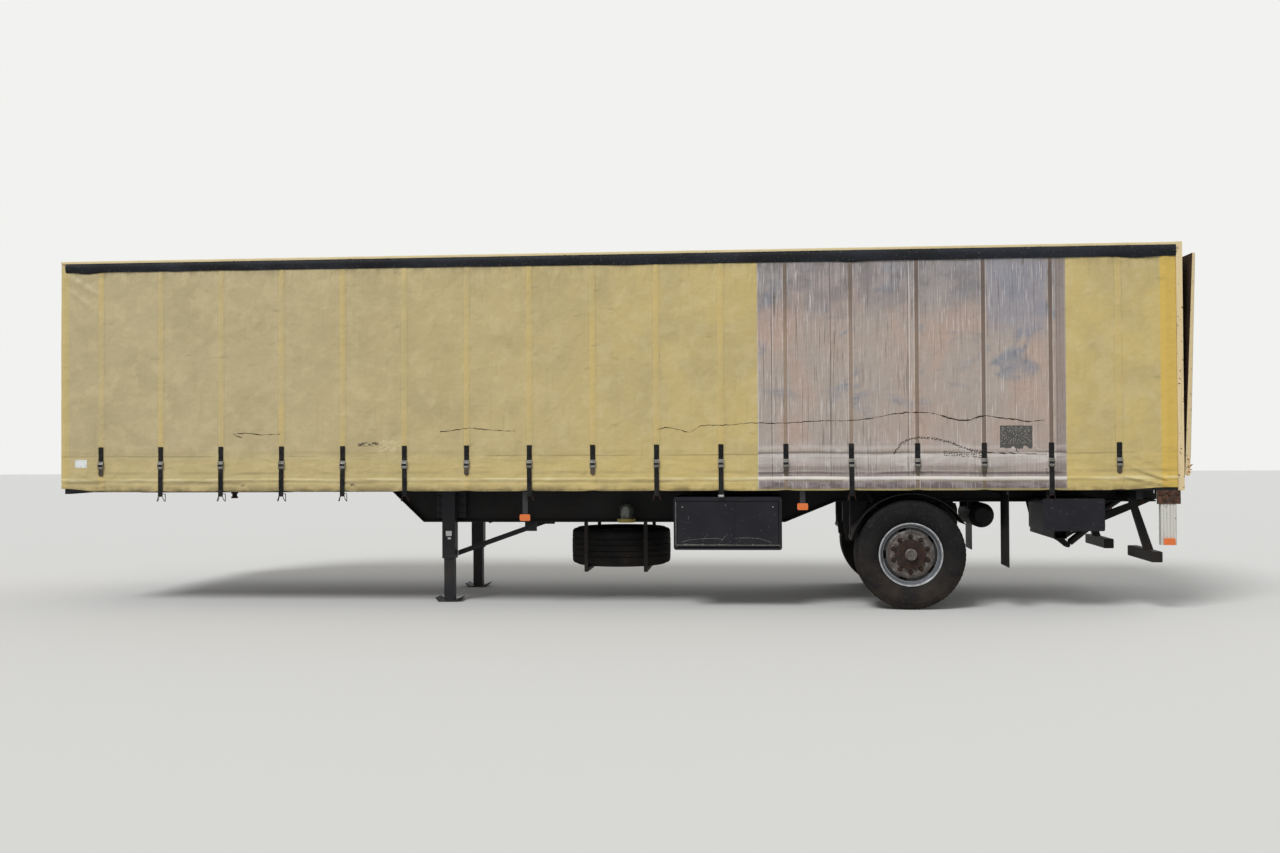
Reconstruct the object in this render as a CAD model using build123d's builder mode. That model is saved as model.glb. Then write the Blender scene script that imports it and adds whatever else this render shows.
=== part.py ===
"""Curtain-sided semi trailer with one axle and a tail lift, parked on its landing legs.

Millimetres. +X runs to the rear, -Y is the trailer's left side, Z = 0 is the ground, and the origin lies
under the middle of the whole trailer. Lengths along the trailer are stations, measured from the front face.
"""
import os
from math import asin, atan2, cos, hypot, radians, sin

from build123d import *

os.makedirs("parts", exist_ok=True)

# Running clearances
fit_gap = 0.3
swing_gap = 5.0
seat_gap = 1.0
curtain_gap = 0.5

# Tyres, and the floor above them
tyre_radius = 515.0
tyre_half_width = 192.5
tyre_wall = 24.0
tyre_crown = 27.0
tyre_shoulder = 10.0
tyre_shoulder_drop = 46.0
tread_inset = 48.0
bead_toe = 31.0
bead_gap = 4.0
floor_above_tyre = 220.0

# Body
body_length = 10750.0
body_half_width = 1275.0
side_reveal = 13.0
floor_thickness = 28.0
roof_above_floor = 2150.0
roof_crown = 15.0
front_wall_depth = 50.0
front_rib_count = 9
front_rib_pitch = 250.0
front_rib_width = 60.0
front_rib_depth = 16.0
rear_post_depth = 56.0
rear_post_width = 70.0
rear_header_height = 110.0
rear_sill_height = 100.0

# Side rails and roof rails
side_rail_height = 133.0
side_rail_wall = 6.0
side_rail_flange = 56.0
roof_rail_height = 103.0
roof_rail_width = 60.0
roof_bow_count = 11
roof_bow_height = 30.0
roof_bow_width = 45.0
tarp_thickness = 6.0
tarp_skirt = 25.0
flap_height = 92.0
flap_thickness = 6.0
flap_root_overlap = 4.0
curtain_thickness = 5.0
curtain_drop = 54.0
curtain_front_gap = 5.0
curtain_rear_gap = 2.0

# Curtain straps, one at each outrigger. Heights are above the side rail's bottom
strap_first = 414.0
strap_rear_margin = 576.0
strap_count = 17
strap_width = 50.0
strap_rise = 443.0
strap_hang = 83.0
strap_short_rise = 245.0
strap_thickness = 3.0
short_straps = {-1: (0, 6, 8, 11, 13, 14, 16), 1: (4, 12)}

# The buckle's outline: how far below its top, and how far out from the strap's inner face
buckle_rise = 329.0
buckle_depth = 25.0
buckle_outline = (
    (0.0, strap_thickness),
    (6.0, 19.0),
    (44.0, buckle_depth),
    (72.0, 17.0),
    (78.0, strap_thickness),
)

# Inner pillars
pillar_first = 2850.0
pillar_pitch = 2650.0
pillar_count = 3
pillar_depth = 80.0
pillar_width = 60.0

# Main beams. Depths are below the floor's underside
beam_offset = 530.0
beam_web = 8.0
beam_flange_width = 140.0
beam_flange = 14.0
beam_top_flange = 12.0
neck_depth = 122.0
neck_end = 3150.0
neck_slope = 330.0
deep_depth = 437.0
step_ahead = 1155.0
step_length = 490.0
rear_depth = 237.0

# Crossmembers and outriggers
cross_depth = 100.0
cross_flange = 50.0
cross_wall = 6.0
outrigger_taper = 156.0
outrigger_tip_depth = 72.0
front_sill_station = 40.0
front_sill_depth = 50.0

# Coupling
plate_front = 400.0
plate_rear = 2100.0
plate_corner = 120.0
plate_thickness = 10.0
kingpin_station = 1250.0
kingpin_flange_radius = 80.0
kingpin_flange_height = 16.0
kingpin_neck_radius = 36.5
kingpin_neck_height = 35.0
kingpin_groove_radius = 25.4
kingpin_groove_height = 30.0
kingpin_collar_radius = 35.75
kingpin_collar_height = 19.0

# Service panel on the front sill: two electric sockets and two air couplings
panel_half_width = 300.0
panel_edge = 8.0
panel_wall = 6.0
socket_offset = 200.0
socket_radius = 34.0
socket_length = 32.0
socket_bore = 24.0
socket_depth = 25.0
coupling_offset = 80.0
coupling_radius = 22.0
coupling_length = 30.0

# Landing gear
leg_station = 3770.0
leg_offset = 678.0
leg_tube = 130.0
leg_tube_bottom = 430.0
leg_tube_drop = 42.0
leg_inner_tube = 100.0
leg_foot_length = 260.0
leg_foot_width = 220.0
leg_foot_height = 12.0
leg_foot_rim = 40.0
leg_plate = 10.0
leg_plate_half = 150.0
leg_plate_rise = 45.0
leg_gusset = 12.0
leg_gusset_offset = 110.0
leg_gusset_drop = 20.0
leg_shaft_drop = 222.0
leg_shaft_radius = 14.0
gearbox_half = 45.0
gearbox_depth = 60.0
gearbox_half_height = 60.0
crank_rod_radius = 12.0
crank_rod_length = 70.0
crank_back = 90.0
crank_fall = 300.0
crank_top_radius = 18.0
crank_end_radius = 14.0
crank_wall = 12.0
crank_grip = 120.0
brace_low_height = 500.0
brace_reach = 870.0
brace_width = 50.0
brace_wall = 6.0
brace_plate_length = 120.0
brace_plate_height = 90.0

# Axle
axle_from_rear = 2465.0
axle_tube = 120.0
axle_corner = 15.0
axle_half_length = 800.0
spindle_radius = 50.0
spindle_root_radius = 75.0
spindle_shield_radius = 60.0
shield_offset = 166.0
shield_wall = 5.0
spindle_start = 185.0
spindle_length = 390.0

# Wheels
wheel_offset = 1040.0
rim_seat_radius = 286.0
rim_flange_radius = 298.5
rim_half_width = 149.0
rim_lip = 6.0
rim_seat_width = 44.0
rim_well_front = 72.0
rim_well_rear = 40.0
rim_well_radius = 252.0
rim_wall = 9.0
disc_face = 120.0
disc_wall = 10.0
disc_flat_radius = 216.0
disc_dish = 24.0
disc_edge_radius = 264.0
spigot_radius = 140.0
hand_hole_radius = 240.0
hand_hole_count = 5
hand_hole_length = 80.0
hand_hole_width = 26.0
hub_flange_radius = 193.0
hub_flange_wall = 20.0
hub_rise = 34.0
hub_face = 40.0
hub_cap_radius = 52.0
hub_cap_height = 38.0
hub_neck = 40.0
hub_neck_length = 115.0
drum_radius = 205.0
drum_wall = 15.0
drum_depth = 166.0

# Suspension. Heights are above the axle's middle
arm_pivot_ahead = 500.0
arm_pivot_rise = 145.0
arm_pivot_radius = 20.0
arm_width = 90.0
hanger_wall = 12.0
hanger_gap = 6.0
hanger_front = 90.0
hanger_rear = 150.0
hanger_toe = 60.0
hanger_web = 190.0
arm_eye = 45.0
arm_depth = 60.0
arm_seat = 75.0
arm_sag = 22.0
arm_tail = 25.0
arm_clamp = 90.0
arm_clamp_height = 93.0
bag_behind = 380.0
bag_seat_rise = 130.0
bag_radius = 150.0
bag_piston_radius = 110.0
bag_piston_height = 72.0
bag_taper = 15.0
bag_shoulder = 55.0
bag_plate = 16.0
chamber_radius = 85.0
chamber_length = 180.0
chamber_neck = 30.0
chamber_bevel = 18.0
chamber_offset = 700.0
damper_offset = 640.0
damper_radius = 35.0
damper_eye_radius = 28.0
damper_eye_width = 36.0
damper_pin_radius = 12.0
damper_rod_radius = 27.0
damper_body_length = 210.0
damper_foot_ahead = 60.0
damper_foot_rise = 50.0
damper_head_ahead = 330.0
damper_head_rise = 60.0

# Mudguards and mud flaps
mudguard_gap = 60.0
mudguard_wall = 5.0
mudguard_width = 400.0
mudguard_rear_angle = 30.0
mudguard_sweep = 136.0
mudguard_stay = 40.0
flap_behind = 890.0
mud_flap_bottom = 400.0
mud_flap_wall = 6.0
flap_rail_depth = 20.0
flap_rail_height = 40.0

# Spare wheel
spare_station = 5437.0
cradle_hang = 465.0
cradle_tube = 35.0
cradle_spread = 300.0
cradle_side_gap = 30.0

# Storage box under the crossmembers
box_front = 6062.0
box_length = 1022.0
box_drop = 61.0
box_height = 501.0
box_inset = 25.0
box_depth = 610.0
box_wall = 5.0
box_corner = 24.0
door_margin = 28.0
door_rise = 20.0
door_drop = 39.0
door_thickness = 20.0
door_pin_radius = 6.0
door_pin_length = 12.0
door_seam_behind = 578.0
door_seam_width = 6.0
door_seam_depth = 4.0
box_arm_front = 120.0
box_arm_rear = 130.0
box_arm_wall = 10.0

# Cabinet of the tail lift's pump
cabinet_from_rear = 1264.0
cabinet_length = 558.0
cabinet_drop = 82.0
cabinet_height = 300.0
cabinet_depth = 635.0
cabinet_corner = 15.0
cabinet_hanger = 40.0
cabinet_hanger_inset = 250.0
cabinet_arm_inset = 170.0

# Air tank and lubricator
tank_behind = 795.0
tank_drop = 282.0
tank_radius = 123.0
tank_half_length = 400.0
tank_corner = 50.0
tank_hanger = 40.0
tank_hanger_offset = 250.0
lubricator_station = 5559.0
lubricator_offset = 700.0
lubricator_rise = 5.0
lubricator_ring_radius = 94.0
lubricator_ring_height = 35.0
lubricator_radius = 75.0
lubricator_shoulder = 15.0
lubricator_arm = 60.0
lubricator_arm_wall = 16.0
lubricator_height = 188.0

# Lamps and rear corners, measured down from the side rail and forward from the rear
marker_length = 100.0
marker_height = 62.0
marker_depth = 20.0
marker_plate = 4.0
marker_inset = 47.0
marker_corner = 12.0
marker_front_station = 4632.0
marker_front_drop = 252.0
marker_middle_station = 7279.0
marker_middle_drop = 149.0
marker_rear_drop = 471.0
bracket_front_from_rear = 207.0
bracket_rear_from_rear = 66.0
bracket_drop = 503.0
bracket_inset = 27.0
bracket_depth = 58.0
bracket_wall = 5.0
bracket_rib = 8.0
bracket_ribs = 5
gusset_front_from_rear = 245.0
gusset_rear_from_rear = 32.0
gusset_drop = 126.0
gusset_wall = 10.0
rear_lamp_depth = 36.0
rear_lamp_length = 285.0
rear_lamp_height = 130.0
rear_lamp_drop = 167.0
rear_lamp_corner = 14.0

# Underrun guard
underrun_from_rear = 230.0
underrun_height = 500.0
underrun_tube = 100.0
underrun_inner = 430.0
underrun_corner = 12.0
underrun_inset = 75.0
bolster_from_rear = 380.0
bolster_depth = 60.0
bolster_rise = 45.0
strut_offset = 930.0
strut_width = 60.0
strut_foot = 80.0

# Tail lift. Its stations are measured forward from the body's rear
platform_length = 2045.0
platform_inset = 5.0
platform_heel = 45.0
platform_tip = 23.0
platform_lean = 2.4
platform_gap = 5.0
platform_step = 2.0
pivot_depth = 27.0
pivot_drop = 20.0
pivot_low_height = 160.0
pivot_eye = 25.0
pivot_shaft_radius = 14.0
lift_pivot_from_rear = 810.0
lift_pivot_drop = 285.0
lift_pin_radius = 20.0
lift_arm_offset = 370.0
lift_arm_width = 60.0
lift_arm_root_radius = 45.0
lift_knee_drop = 210.0
lift_tube_from_rear = 950.0
lift_tube_drop = 305.0
lift_tube = 120.0
lift_tube_wall = 8.0
lift_tube_overhang = 30.0
tie_tube_radius = 40.0
tie_along = 330.0
tie_above = 70.0
lift_lug_along = 420.0
lift_lug_below = 20.0
lift_cylinder_from_rear = 790.0
lift_cylinder_drop = 455.0
cylinder_offset = 120.0
tilt_offset = 130.0
tilt_skew = -1.5
lug_wall = 12.0
clevis_radius = 35.0
clevis_root = 25.0
clevis_root_radius = 40.0
ear_wall = 16.0
ear_gap = 8.0
ear_rise = 70.0
ear_root_radius = 18.0
lug_rise = 120.0
shaft_overhang = 6.0
cylinder_eye_radius = 22.0
cylinder_pin_radius = 13.0
rod_pin_radius = 10.0
rod_radius = 18.0
barrel_start = 36.0
bore_reserve = 12.0
lift_barrel_radius = 35.0
lift_barrel_length = 268.0
lift_rod_length = 250.0
tilt_barrel_radius = 32.0
tilt_barrel_length = 900.0
tilt_rod_length = 400.0

# Worked-out heights
axle_height = tyre_radius
floor_height = 2 * tyre_radius + floor_above_tyre
deck_underside = floor_height - floor_thickness
beam_top = deck_underside - beam_top_flange
neck_bottom = deck_underside - neck_depth
deep_bottom = deck_underside - deep_depth
rear_bottom = deck_underside - rear_depth
cross_bottom = deck_underside - cross_depth
outrigger_tip = deck_underside - outrigger_tip_depth
side_rail_bottom = floor_height - side_rail_height
roof_edge_height = floor_height + roof_above_floor
roof_rail_top = roof_edge_height - tarp_thickness - seat_gap
roof_rail_bottom = roof_rail_top - roof_rail_height
curtain_top = roof_edge_height - curtain_drop
plate_bottom = neck_bottom - plate_thickness
leg_tube_top = deck_underside - leg_tube_drop
leg_shaft_height = deck_underside - leg_shaft_drop
arm_pivot_height = axle_height + arm_pivot_rise
bag_seat_height = axle_height + bag_seat_rise
cradle_top = deep_bottom - cradle_hang
box_top = cross_bottom - box_drop
box_bottom = box_top - box_height
door_top = box_top - door_drop
door_bottom = box_bottom + door_rise
cabinet_top = cross_bottom - cabinet_drop
tank_height = cross_bottom - tank_drop
lubricator_bottom = deep_bottom + lubricator_rise
lubricator_top = lubricator_bottom + lubricator_height
gusset_bottom = side_rail_bottom - gusset_drop
bolster_bottom = rear_bottom + bolster_rise
lift_tube_height = rear_bottom - lift_tube_drop

# Worked-out widths
cloth_half_width = body_half_width - side_reveal
wall_inner = cloth_half_width - side_rail_wall
curtain_inner = cloth_half_width + curtain_gap
strap_face = curtain_inner + curtain_thickness + curtain_gap
arm_edge = beam_offset + beam_web / 2
inner_flange_edge = beam_offset - beam_flange_width / 2
outer_flange_edge = beam_offset + beam_flange_width / 2
box_outer = body_half_width - box_inset
box_inner = box_outer - box_depth
underrun_outer = body_half_width - underrun_inset
bracket_face = body_half_width - bracket_inset
bracket_back = bracket_face - bracket_depth
platform_half_width = body_half_width - platform_inset
mudguard_radius = tyre_radius + mudguard_gap

# Worked-out stations
strap_pitch = (body_length - strap_first - strap_rear_margin) / (strap_count - 1)
strap_stations = [strap_first + strap_pitch * step for step in range(strap_count)]
axle_station = body_length - axle_from_rear
step_start = axle_station - step_ahead
box_rear = box_front + box_length
cabinet_front = body_length - cabinet_from_rear
rear_frame_station = body_length - rear_post_depth
pivot_station = body_length + platform_gap + pivot_depth
overall_length = pivot_station + tilt_offset + cylinder_eye_radius
front_x = -overall_length / 2
rear_x = front_x + body_length


def at(station):
    """The X place of a station."""
    return front_x + station


def nearest_cross(station):
    """The station of the crossmember nearest to a station."""
    return min(strap_stations, key=lambda cross: abs(cross - station))


def turned(point, centre, angle):
    """A point of the side view turned about a centre, towards the ground at the rear for a positive angle."""
    x, z = point[0] - centre[0], point[1] - centre[1]
    return (
        centre[0] + x * cos(angle) + z * sin(angle),
        centre[1] - x * sin(angle) + z * cos(angle),
    )


# Tail lift at rest: the arms at floor height and the platform closed
platform_pivot = (rear_x + platform_gap + pivot_depth, floor_height - pivot_drop)
lift_pivot = (rear_x - lift_pivot_from_rear, rear_bottom - lift_pivot_drop)
arm_reach = hypot(platform_pivot[0] - lift_pivot[0], platform_pivot[1] - lift_pivot[1])
arm_angle = atan2(platform_pivot[1] - lift_pivot[1], platform_pivot[0] - lift_pivot[0])
lift_swing = arm_angle - asin((pivot_low_height - lift_pivot[1]) / arm_reach)
platform_swing = radians(90 - platform_lean)
skew = radians(tilt_skew)
tilt_base = (
    lift_pivot[0] - tilt_offset * sin(skew),
    lift_pivot[1] - tilt_offset * cos(skew),
)
tilt_lug = turned(
    (
        platform_pivot[0] - tilt_offset * sin(skew),
        platform_pivot[1] - tilt_offset * cos(skew),
    ),
    platform_pivot,
    -platform_swing,
)
tilt_length = hypot(tilt_lug[0] - tilt_base[0], tilt_lug[1] - tilt_base[1])
tilt_stroke = tilt_length - arm_reach
knee = (platform_pivot[0], floor_height - lift_knee_drop)
knee_angle = atan2(knee[1] - lift_pivot[1], knee[0] - lift_pivot[0])
tie_tube = (
    lift_pivot[0] + tie_along * cos(knee_angle) - tie_above * sin(knee_angle),
    lift_pivot[1] + tie_along * sin(knee_angle) + tie_above * cos(knee_angle),
)
lift_lug = (
    lift_pivot[0] + lift_lug_along * cos(knee_angle) + lift_lug_below * sin(knee_angle),
    lift_pivot[1] + lift_lug_along * sin(knee_angle) - lift_lug_below * cos(knee_angle),
)
lift_base = (rear_x - lift_cylinder_from_rear, rear_bottom - lift_cylinder_drop)
lift_length = hypot(lift_lug[0] - lift_base[0], lift_lug[1] - lift_base[1])
low_lug = turned(lift_lug, lift_pivot, lift_swing)
lift_stroke = lift_length - hypot(low_lug[0] - lift_base[0], low_lug[1] - lift_base[1])


def slab(x_span, y_span, z_span, mode=Mode.ADD):
    """A rectangular block between three pairs of limits, in the part being built."""
    middle = [(low + high) / 2 for low, high in (x_span, y_span, z_span)]
    with Locations(tuple(middle)):
        Box(x_span[1] - x_span[0], y_span[1] - y_span[0], z_span[1] - z_span[0], mode=mode)


def plate_xz(points, y_span, mode=Mode.ADD):
    """A plate whose outline is seen from the side, between two Y limits."""
    with BuildSketch(Plane.XZ.offset(-y_span[0])) as outline:
        with BuildLine():
            Polyline(*points, close=True)
        make_face()
    extrude(outline.sketch, amount=-(y_span[1] - y_span[0]), mode=mode)


def bar_yz(points, x_span, mode=Mode.ADD):
    """A bar whose section is seen from the rear, between two X limits."""
    with BuildSketch(Plane.YZ.offset(x_span[0])) as outline:
        with BuildLine():
            Polyline(*points, close=True)
        make_face()
    extrude(outline.sketch, amount=x_span[1] - x_span[0], mode=mode)


def link_xz(ends, y_span, mode=Mode.ADD):
    """A plate that wraps a row of circles, each given as x, z and radius, seen from the side."""
    with BuildSketch(Plane.XZ.offset(-y_span[0])) as outline:
        for x, z, radius in ends:
            with Locations((x, z)):
                Circle(radius)
        make_hull()
    extrude(outline.sketch, amount=-(y_span[1] - y_span[0]), mode=mode)


def round_y(x, z, radius, y_span, mode=Mode.ADD):
    """A round bar or hole along Y."""
    with BuildSketch(Plane.XZ.offset(-y_span[0])) as outline:
        with Locations((x, z)):
            Circle(radius)
    extrude(outline.sketch, amount=-(y_span[1] - y_span[0]), mode=mode)


def round_x(y, z, radius, x_span, mode=Mode.ADD):
    """A round bar or hole along X."""
    with BuildSketch(Plane.YZ.offset(x_span[0])) as outline:
        with Locations((y, z)):
            Circle(radius)
    extrude(outline.sketch, amount=x_span[1] - x_span[0], mode=mode)


def turned_y(points, x, z):
    """A turned piece about an axis along Y, from points of Y and radius."""
    with BuildSketch(Plane(origin=(x, 0, z), x_dir=(0, 1, 0), z_dir=(1, 0, 0))) as outline:
        with BuildLine():
            Polyline(*points, close=True)
        make_face()
    revolve(outline.sketch, axis=Axis((x, 0, z), (0, 1, 0)))


def turned_z(points, x, y):
    """A turned piece about an upright axis, from points of radius and Z."""
    with BuildSketch(Plane(origin=(x, y, 0), x_dir=(1, 0, 0), z_dir=(0, -1, 0))) as outline:
        with BuildLine():
            Polyline(*points, close=True)
        make_face()
    revolve(outline.sketch, axis=Axis((x, y, 0), (0, 0, 1)))


# Main beams: a shallow neck, a deep middle and a step up over the axle
beam_line = [
    (at(front_sill_station + front_sill_depth), neck_bottom),
    (at(neck_end), neck_bottom),
    (at(neck_end + neck_slope), deep_bottom),
    (at(step_start), deep_bottom),
    (at(step_start + step_length), rear_bottom),
    (at(rear_frame_station), rear_bottom),
]
with BuildPart() as main_beams:
    web_outline = beam_line + [(beam_line[-1][0], deck_underside), (beam_line[0][0], deck_underside)]
    plate_xz(web_outline, (beam_offset - beam_web / 2, beam_offset + beam_web / 2))
    flange_span = (beam_offset - beam_flange_width / 2, beam_offset + beam_flange_width / 2)
    plate_xz(beam_line + [(x, z + beam_flange) for x, z in reversed(beam_line)], flange_span)
    slab(
        (beam_line[0][0], beam_line[-1][0]),
        flange_span,
        (beam_top, deck_underside),
    )
    round_y(
        at(leg_station),
        leg_shaft_height,
        leg_shaft_radius + swing_gap,
        flange_span,
        Mode.SUBTRACT,
    )
    mirror(about=Plane.XZ)
main_beams.part.label = "main_beams"
export_step(main_beams.part, "parts/main_beams.step")

# One crossmember between the beams and an outrigger each side, at every strap
cross_half = beam_offset - beam_web / 2
rail_flange_edge = wall_inner - side_rail_flange + side_rail_wall
with BuildPart() as cross_set:
    web_section = [
        (-cross_half, cross_bottom),
        (cross_half, cross_bottom),
        (cross_half, beam_top),
        (inner_flange_edge, beam_top),
        (inner_flange_edge, deck_underside),
        (-inner_flange_edge, deck_underside),
        (-inner_flange_edge, beam_top),
        (-cross_half, beam_top),
    ]
    bar_yz(web_section, (0, cross_wall))
    slab((0, cross_flange), (-cross_half, cross_half), (cross_bottom, cross_bottom + cross_wall))
    slab(
        (0, cross_flange),
        (-inner_flange_edge, inner_flange_edge),
        (deck_underside - cross_wall, deck_underside),
    )
taper_start = wall_inner - outrigger_taper
with BuildPart() as outrigger:
    arm_section = [
        (arm_edge, cross_bottom),
        (taper_start, cross_bottom),
        (wall_inner, outrigger_tip),
        (wall_inner, deck_underside - side_rail_wall),
        (rail_flange_edge, deck_underside - side_rail_wall),
        (rail_flange_edge, deck_underside),
        (outer_flange_edge, deck_underside),
        (outer_flange_edge, beam_top),
        (arm_edge, beam_top),
    ]
    bar_yz(arm_section, (0, cross_wall))
    arm_flange = [
        (arm_edge, cross_bottom),
        (taper_start, cross_bottom),
        (wall_inner, outrigger_tip),
        (wall_inner, outrigger_tip + cross_wall),
        (taper_start, cross_bottom + cross_wall),
        (arm_edge, cross_bottom + cross_wall),
    ]
    bar_yz(arm_flange, (0, cross_flange))
    mirror(about=Plane.XZ)
with BuildPart() as crossmembers:
    with Locations(*[(at(station), 0, 0) for station in strap_stations]):
        add(cross_set.part)
        add(outrigger.part)
    slab(
        (at(front_sill_station), at(front_sill_station + front_sill_depth)),
        (-cloth_half_width, cloth_half_width),
        (neck_bottom, deck_underside),
    )
crossmembers.part.label = "crossmembers"
export_step(crossmembers.part, "parts/crossmembers.step")

# Side rails: a channel beside the floor, its flanges under it
rail_section = [
    (cloth_half_width, side_rail_bottom),
    (cloth_half_width, floor_height),
    (wall_inner, floor_height),
    (wall_inner, deck_underside),
    (rail_flange_edge, deck_underside),
    (rail_flange_edge, deck_underside - side_rail_wall),
    (wall_inner, deck_underside - side_rail_wall),
    (wall_inner, side_rail_bottom + side_rail_wall),
    (rail_flange_edge, side_rail_bottom + side_rail_wall),
    (rail_flange_edge, side_rail_bottom),
]
rail_span = (at(front_sill_station + front_sill_depth), at(rear_frame_station))
with BuildPart() as side_rails:
    bar_yz(rail_section, rail_span)
    mirror(about=Plane.XZ)
side_rails.part.label = "side_rails"
export_step(side_rails.part, "parts/side_rails.step")

with BuildPart() as floor:
    slab(
        (at(front_wall_depth), at(rear_frame_station)),
        (-wall_inner, wall_inner),
        (deck_underside, floor_height),
    )
floor.part.label = "floor"
export_step(floor.part, "parts/floor.step")

# Front wall: a ribbed panel between two corner posts
rib_height = roof_rail_top - deck_underside - 2 * rear_header_height
with BuildPart() as front_wall:
    slab(
        (at(front_rib_depth), at(front_wall_depth)),
        (-cloth_half_width, cloth_half_width),
        (deck_underside, roof_rail_top),
    )
    for side in (-1, 1):
        edges = sorted((side * cloth_half_width, side * (cloth_half_width - rear_post_width)))
        slab((at(0), at(front_rib_depth)), edges, (deck_underside, roof_rail_top))
    with Locations((at(front_rib_depth / 2), 0, (deck_underside + roof_rail_top) / 2)):
        with GridLocations(0, front_rib_pitch, 1, front_rib_count):
            Box(front_rib_depth, front_rib_width, rib_height)
front_wall.part.label = "front_wall"
export_step(front_wall.part, "parts/front_wall.step")

# Rear frame: posts, header and sill round the doorway, each a member of its own up to the welds
door_half = body_half_width - rear_post_width
header_bottom = roof_edge_height - rear_header_height
inside_posts = (fit_gap - door_half, door_half - fit_gap)
rear_members = (
    ((-body_half_width, -door_half), (side_rail_bottom, roof_edge_height)),
    ((door_half, body_half_width), (side_rail_bottom, roof_edge_height)),
    (inside_posts, (header_bottom, roof_edge_height)),
    (inside_posts, (floor_height - rear_sill_height, floor_height)),
)
with BuildPart() as rear_frame:
    for across, heights in rear_members:
        slab((at(rear_frame_station), rear_x), across, heights)
rear_frame.part.label = "rear_frame"
export_step(rear_frame.part, "parts/rear_frame.step")

# Roof rails, bows and tarpaulin
roof_span = (at(front_wall_depth), at(rear_frame_station))
rail_inner = cloth_half_width - roof_rail_width
with BuildPart() as roof_rails:
    roof_section = [
        (cloth_half_width, roof_rail_bottom),
        (cloth_half_width, roof_rail_top),
        (rail_inner, roof_rail_top),
        (rail_inner, roof_rail_top - roof_bow_height),
        (rail_inner + roof_rail_width / 2, roof_rail_bottom + roof_bow_height),
        (rail_inner + roof_rail_width / 2, roof_rail_bottom),
    ]
    bar_yz(roof_section, roof_span)
    mirror(about=Plane.XZ)
roof_rails.part.label = "roof_rails"
export_step(roof_rails.part, "parts/roof_rails.step")

bow_pitch = (roof_span[1] - roof_span[0]) / roof_bow_count
with BuildPart() as roof_bow:
    with BuildSketch(Plane.YZ):
        with BuildLine():
            ThreePointArc(
                (-rail_inner, roof_rail_top),
                (0, roof_rail_top + roof_crown),
                (rail_inner, roof_rail_top),
            )
            Line((rail_inner, roof_rail_top), (rail_inner, roof_rail_top - roof_bow_height))
            ThreePointArc(
                (rail_inner, roof_rail_top - roof_bow_height),
                (0, roof_rail_top - roof_bow_height + roof_crown),
                (-rail_inner, roof_rail_top - roof_bow_height),
            )
            Line((-rail_inner, roof_rail_top - roof_bow_height), (-rail_inner, roof_rail_top))
        make_face()
    extrude(amount=roof_bow_width)
with BuildPart() as roof_bows:
    with Locations(*[(roof_span[0] + bow_pitch * (step + 0.5), 0, 0) for step in range(roof_bow_count)]):
        add(roof_bow.part)
roof_bows.part.label = "roof_bows"
export_step(roof_bows.part, "parts/roof_bows.step")

with BuildPart() as roof_tarp:
    with BuildSketch(Plane.YZ.offset(at(0))):
        with BuildLine():
            skirt_inner = body_half_width - tarp_thickness
            skirt_bottom = roof_edge_height - tarp_skirt
            under_edge = roof_edge_height - tarp_thickness
            Line((-body_half_width, skirt_bottom), (-body_half_width, roof_edge_height))
            ThreePointArc(
                (-body_half_width, roof_edge_height),
                (0, roof_edge_height + roof_crown),
                (body_half_width, roof_edge_height),
            )
            Line((body_half_width, roof_edge_height), (body_half_width, skirt_bottom))
            Line((body_half_width, skirt_bottom), (skirt_inner, skirt_bottom))
            Line((skirt_inner, skirt_bottom), (skirt_inner, under_edge))
            ThreePointArc(
                (skirt_inner, under_edge),
                (0, under_edge + roof_crown),
                (-skirt_inner, under_edge),
            )
            Line((-skirt_inner, under_edge), (-skirt_inner, skirt_bottom))
            Line((-skirt_inner, skirt_bottom), (-body_half_width, skirt_bottom))
        make_face()
    extrude(amount=rear_frame_station - fit_gap)
roof_tarp.part.label = "roof_tarp"
export_step(roof_tarp.part, "parts/roof_tarp.step")

# Rain flaps: a rubber strip that hangs from the roof rail over the curtain's top
flap_top = roof_edge_height - tarp_skirt - fit_gap
with BuildPart() as rain_flaps:
    flap_section = [
        (cloth_half_width, curtain_top + flap_root_overlap),
        (cloth_half_width, flap_top),
        (body_half_width, flap_top),
        (body_half_width, flap_top - flap_height),
        (body_half_width - flap_thickness, flap_top - flap_height),
        (body_half_width - flap_thickness, curtain_top + flap_root_overlap),
    ]
    bar_yz(flap_section, roof_span)
    mirror(about=Plane.XZ)
rain_flaps.part.label = "rain_flaps"
export_step(rain_flaps.part, "parts/rain_flaps.step")

# Curtains and their straps
curtain_span = (at(curtain_front_gap), at(rear_frame_station - curtain_rear_gap))
for side, side_name in ((-1, "left"), (1, "right")):
    with BuildPart() as curtain:
        faces = sorted((side * curtain_inner, side * (curtain_inner + curtain_thickness)))
        slab(curtain_span, faces, (side_rail_bottom, curtain_top))
    curtain.part.label = f"curtain_{side_name}"
    export_step(curtain.part, f"parts/curtain_{side_name}.step")

strap_top = side_rail_bottom + strap_rise
strap_outer = strap_face + strap_thickness
buckle_top = side_rail_bottom + buckle_rise
strap_upper = [(strap_face, strap_top), (strap_outer, strap_top)]
strap_upper += [(strap_face + depth, buckle_top - drop) for drop, depth in buckle_outline]
with BuildPart() as straps:
    for side in (-1, 1):
        for index, station in enumerate(strap_stations):
            reach = strap_short_rise if index in short_straps[side] else -strap_hang
            end = side_rail_bottom + reach
            section = strap_upper + [(strap_outer, end), (strap_face, end)]
            span = (at(station - strap_width / 2), at(station + strap_width / 2))
            bar_yz([(side * y, z) for y, z in section], span)
straps.part.label = "straps"
export_step(straps.part, "parts/straps.step")

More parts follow.
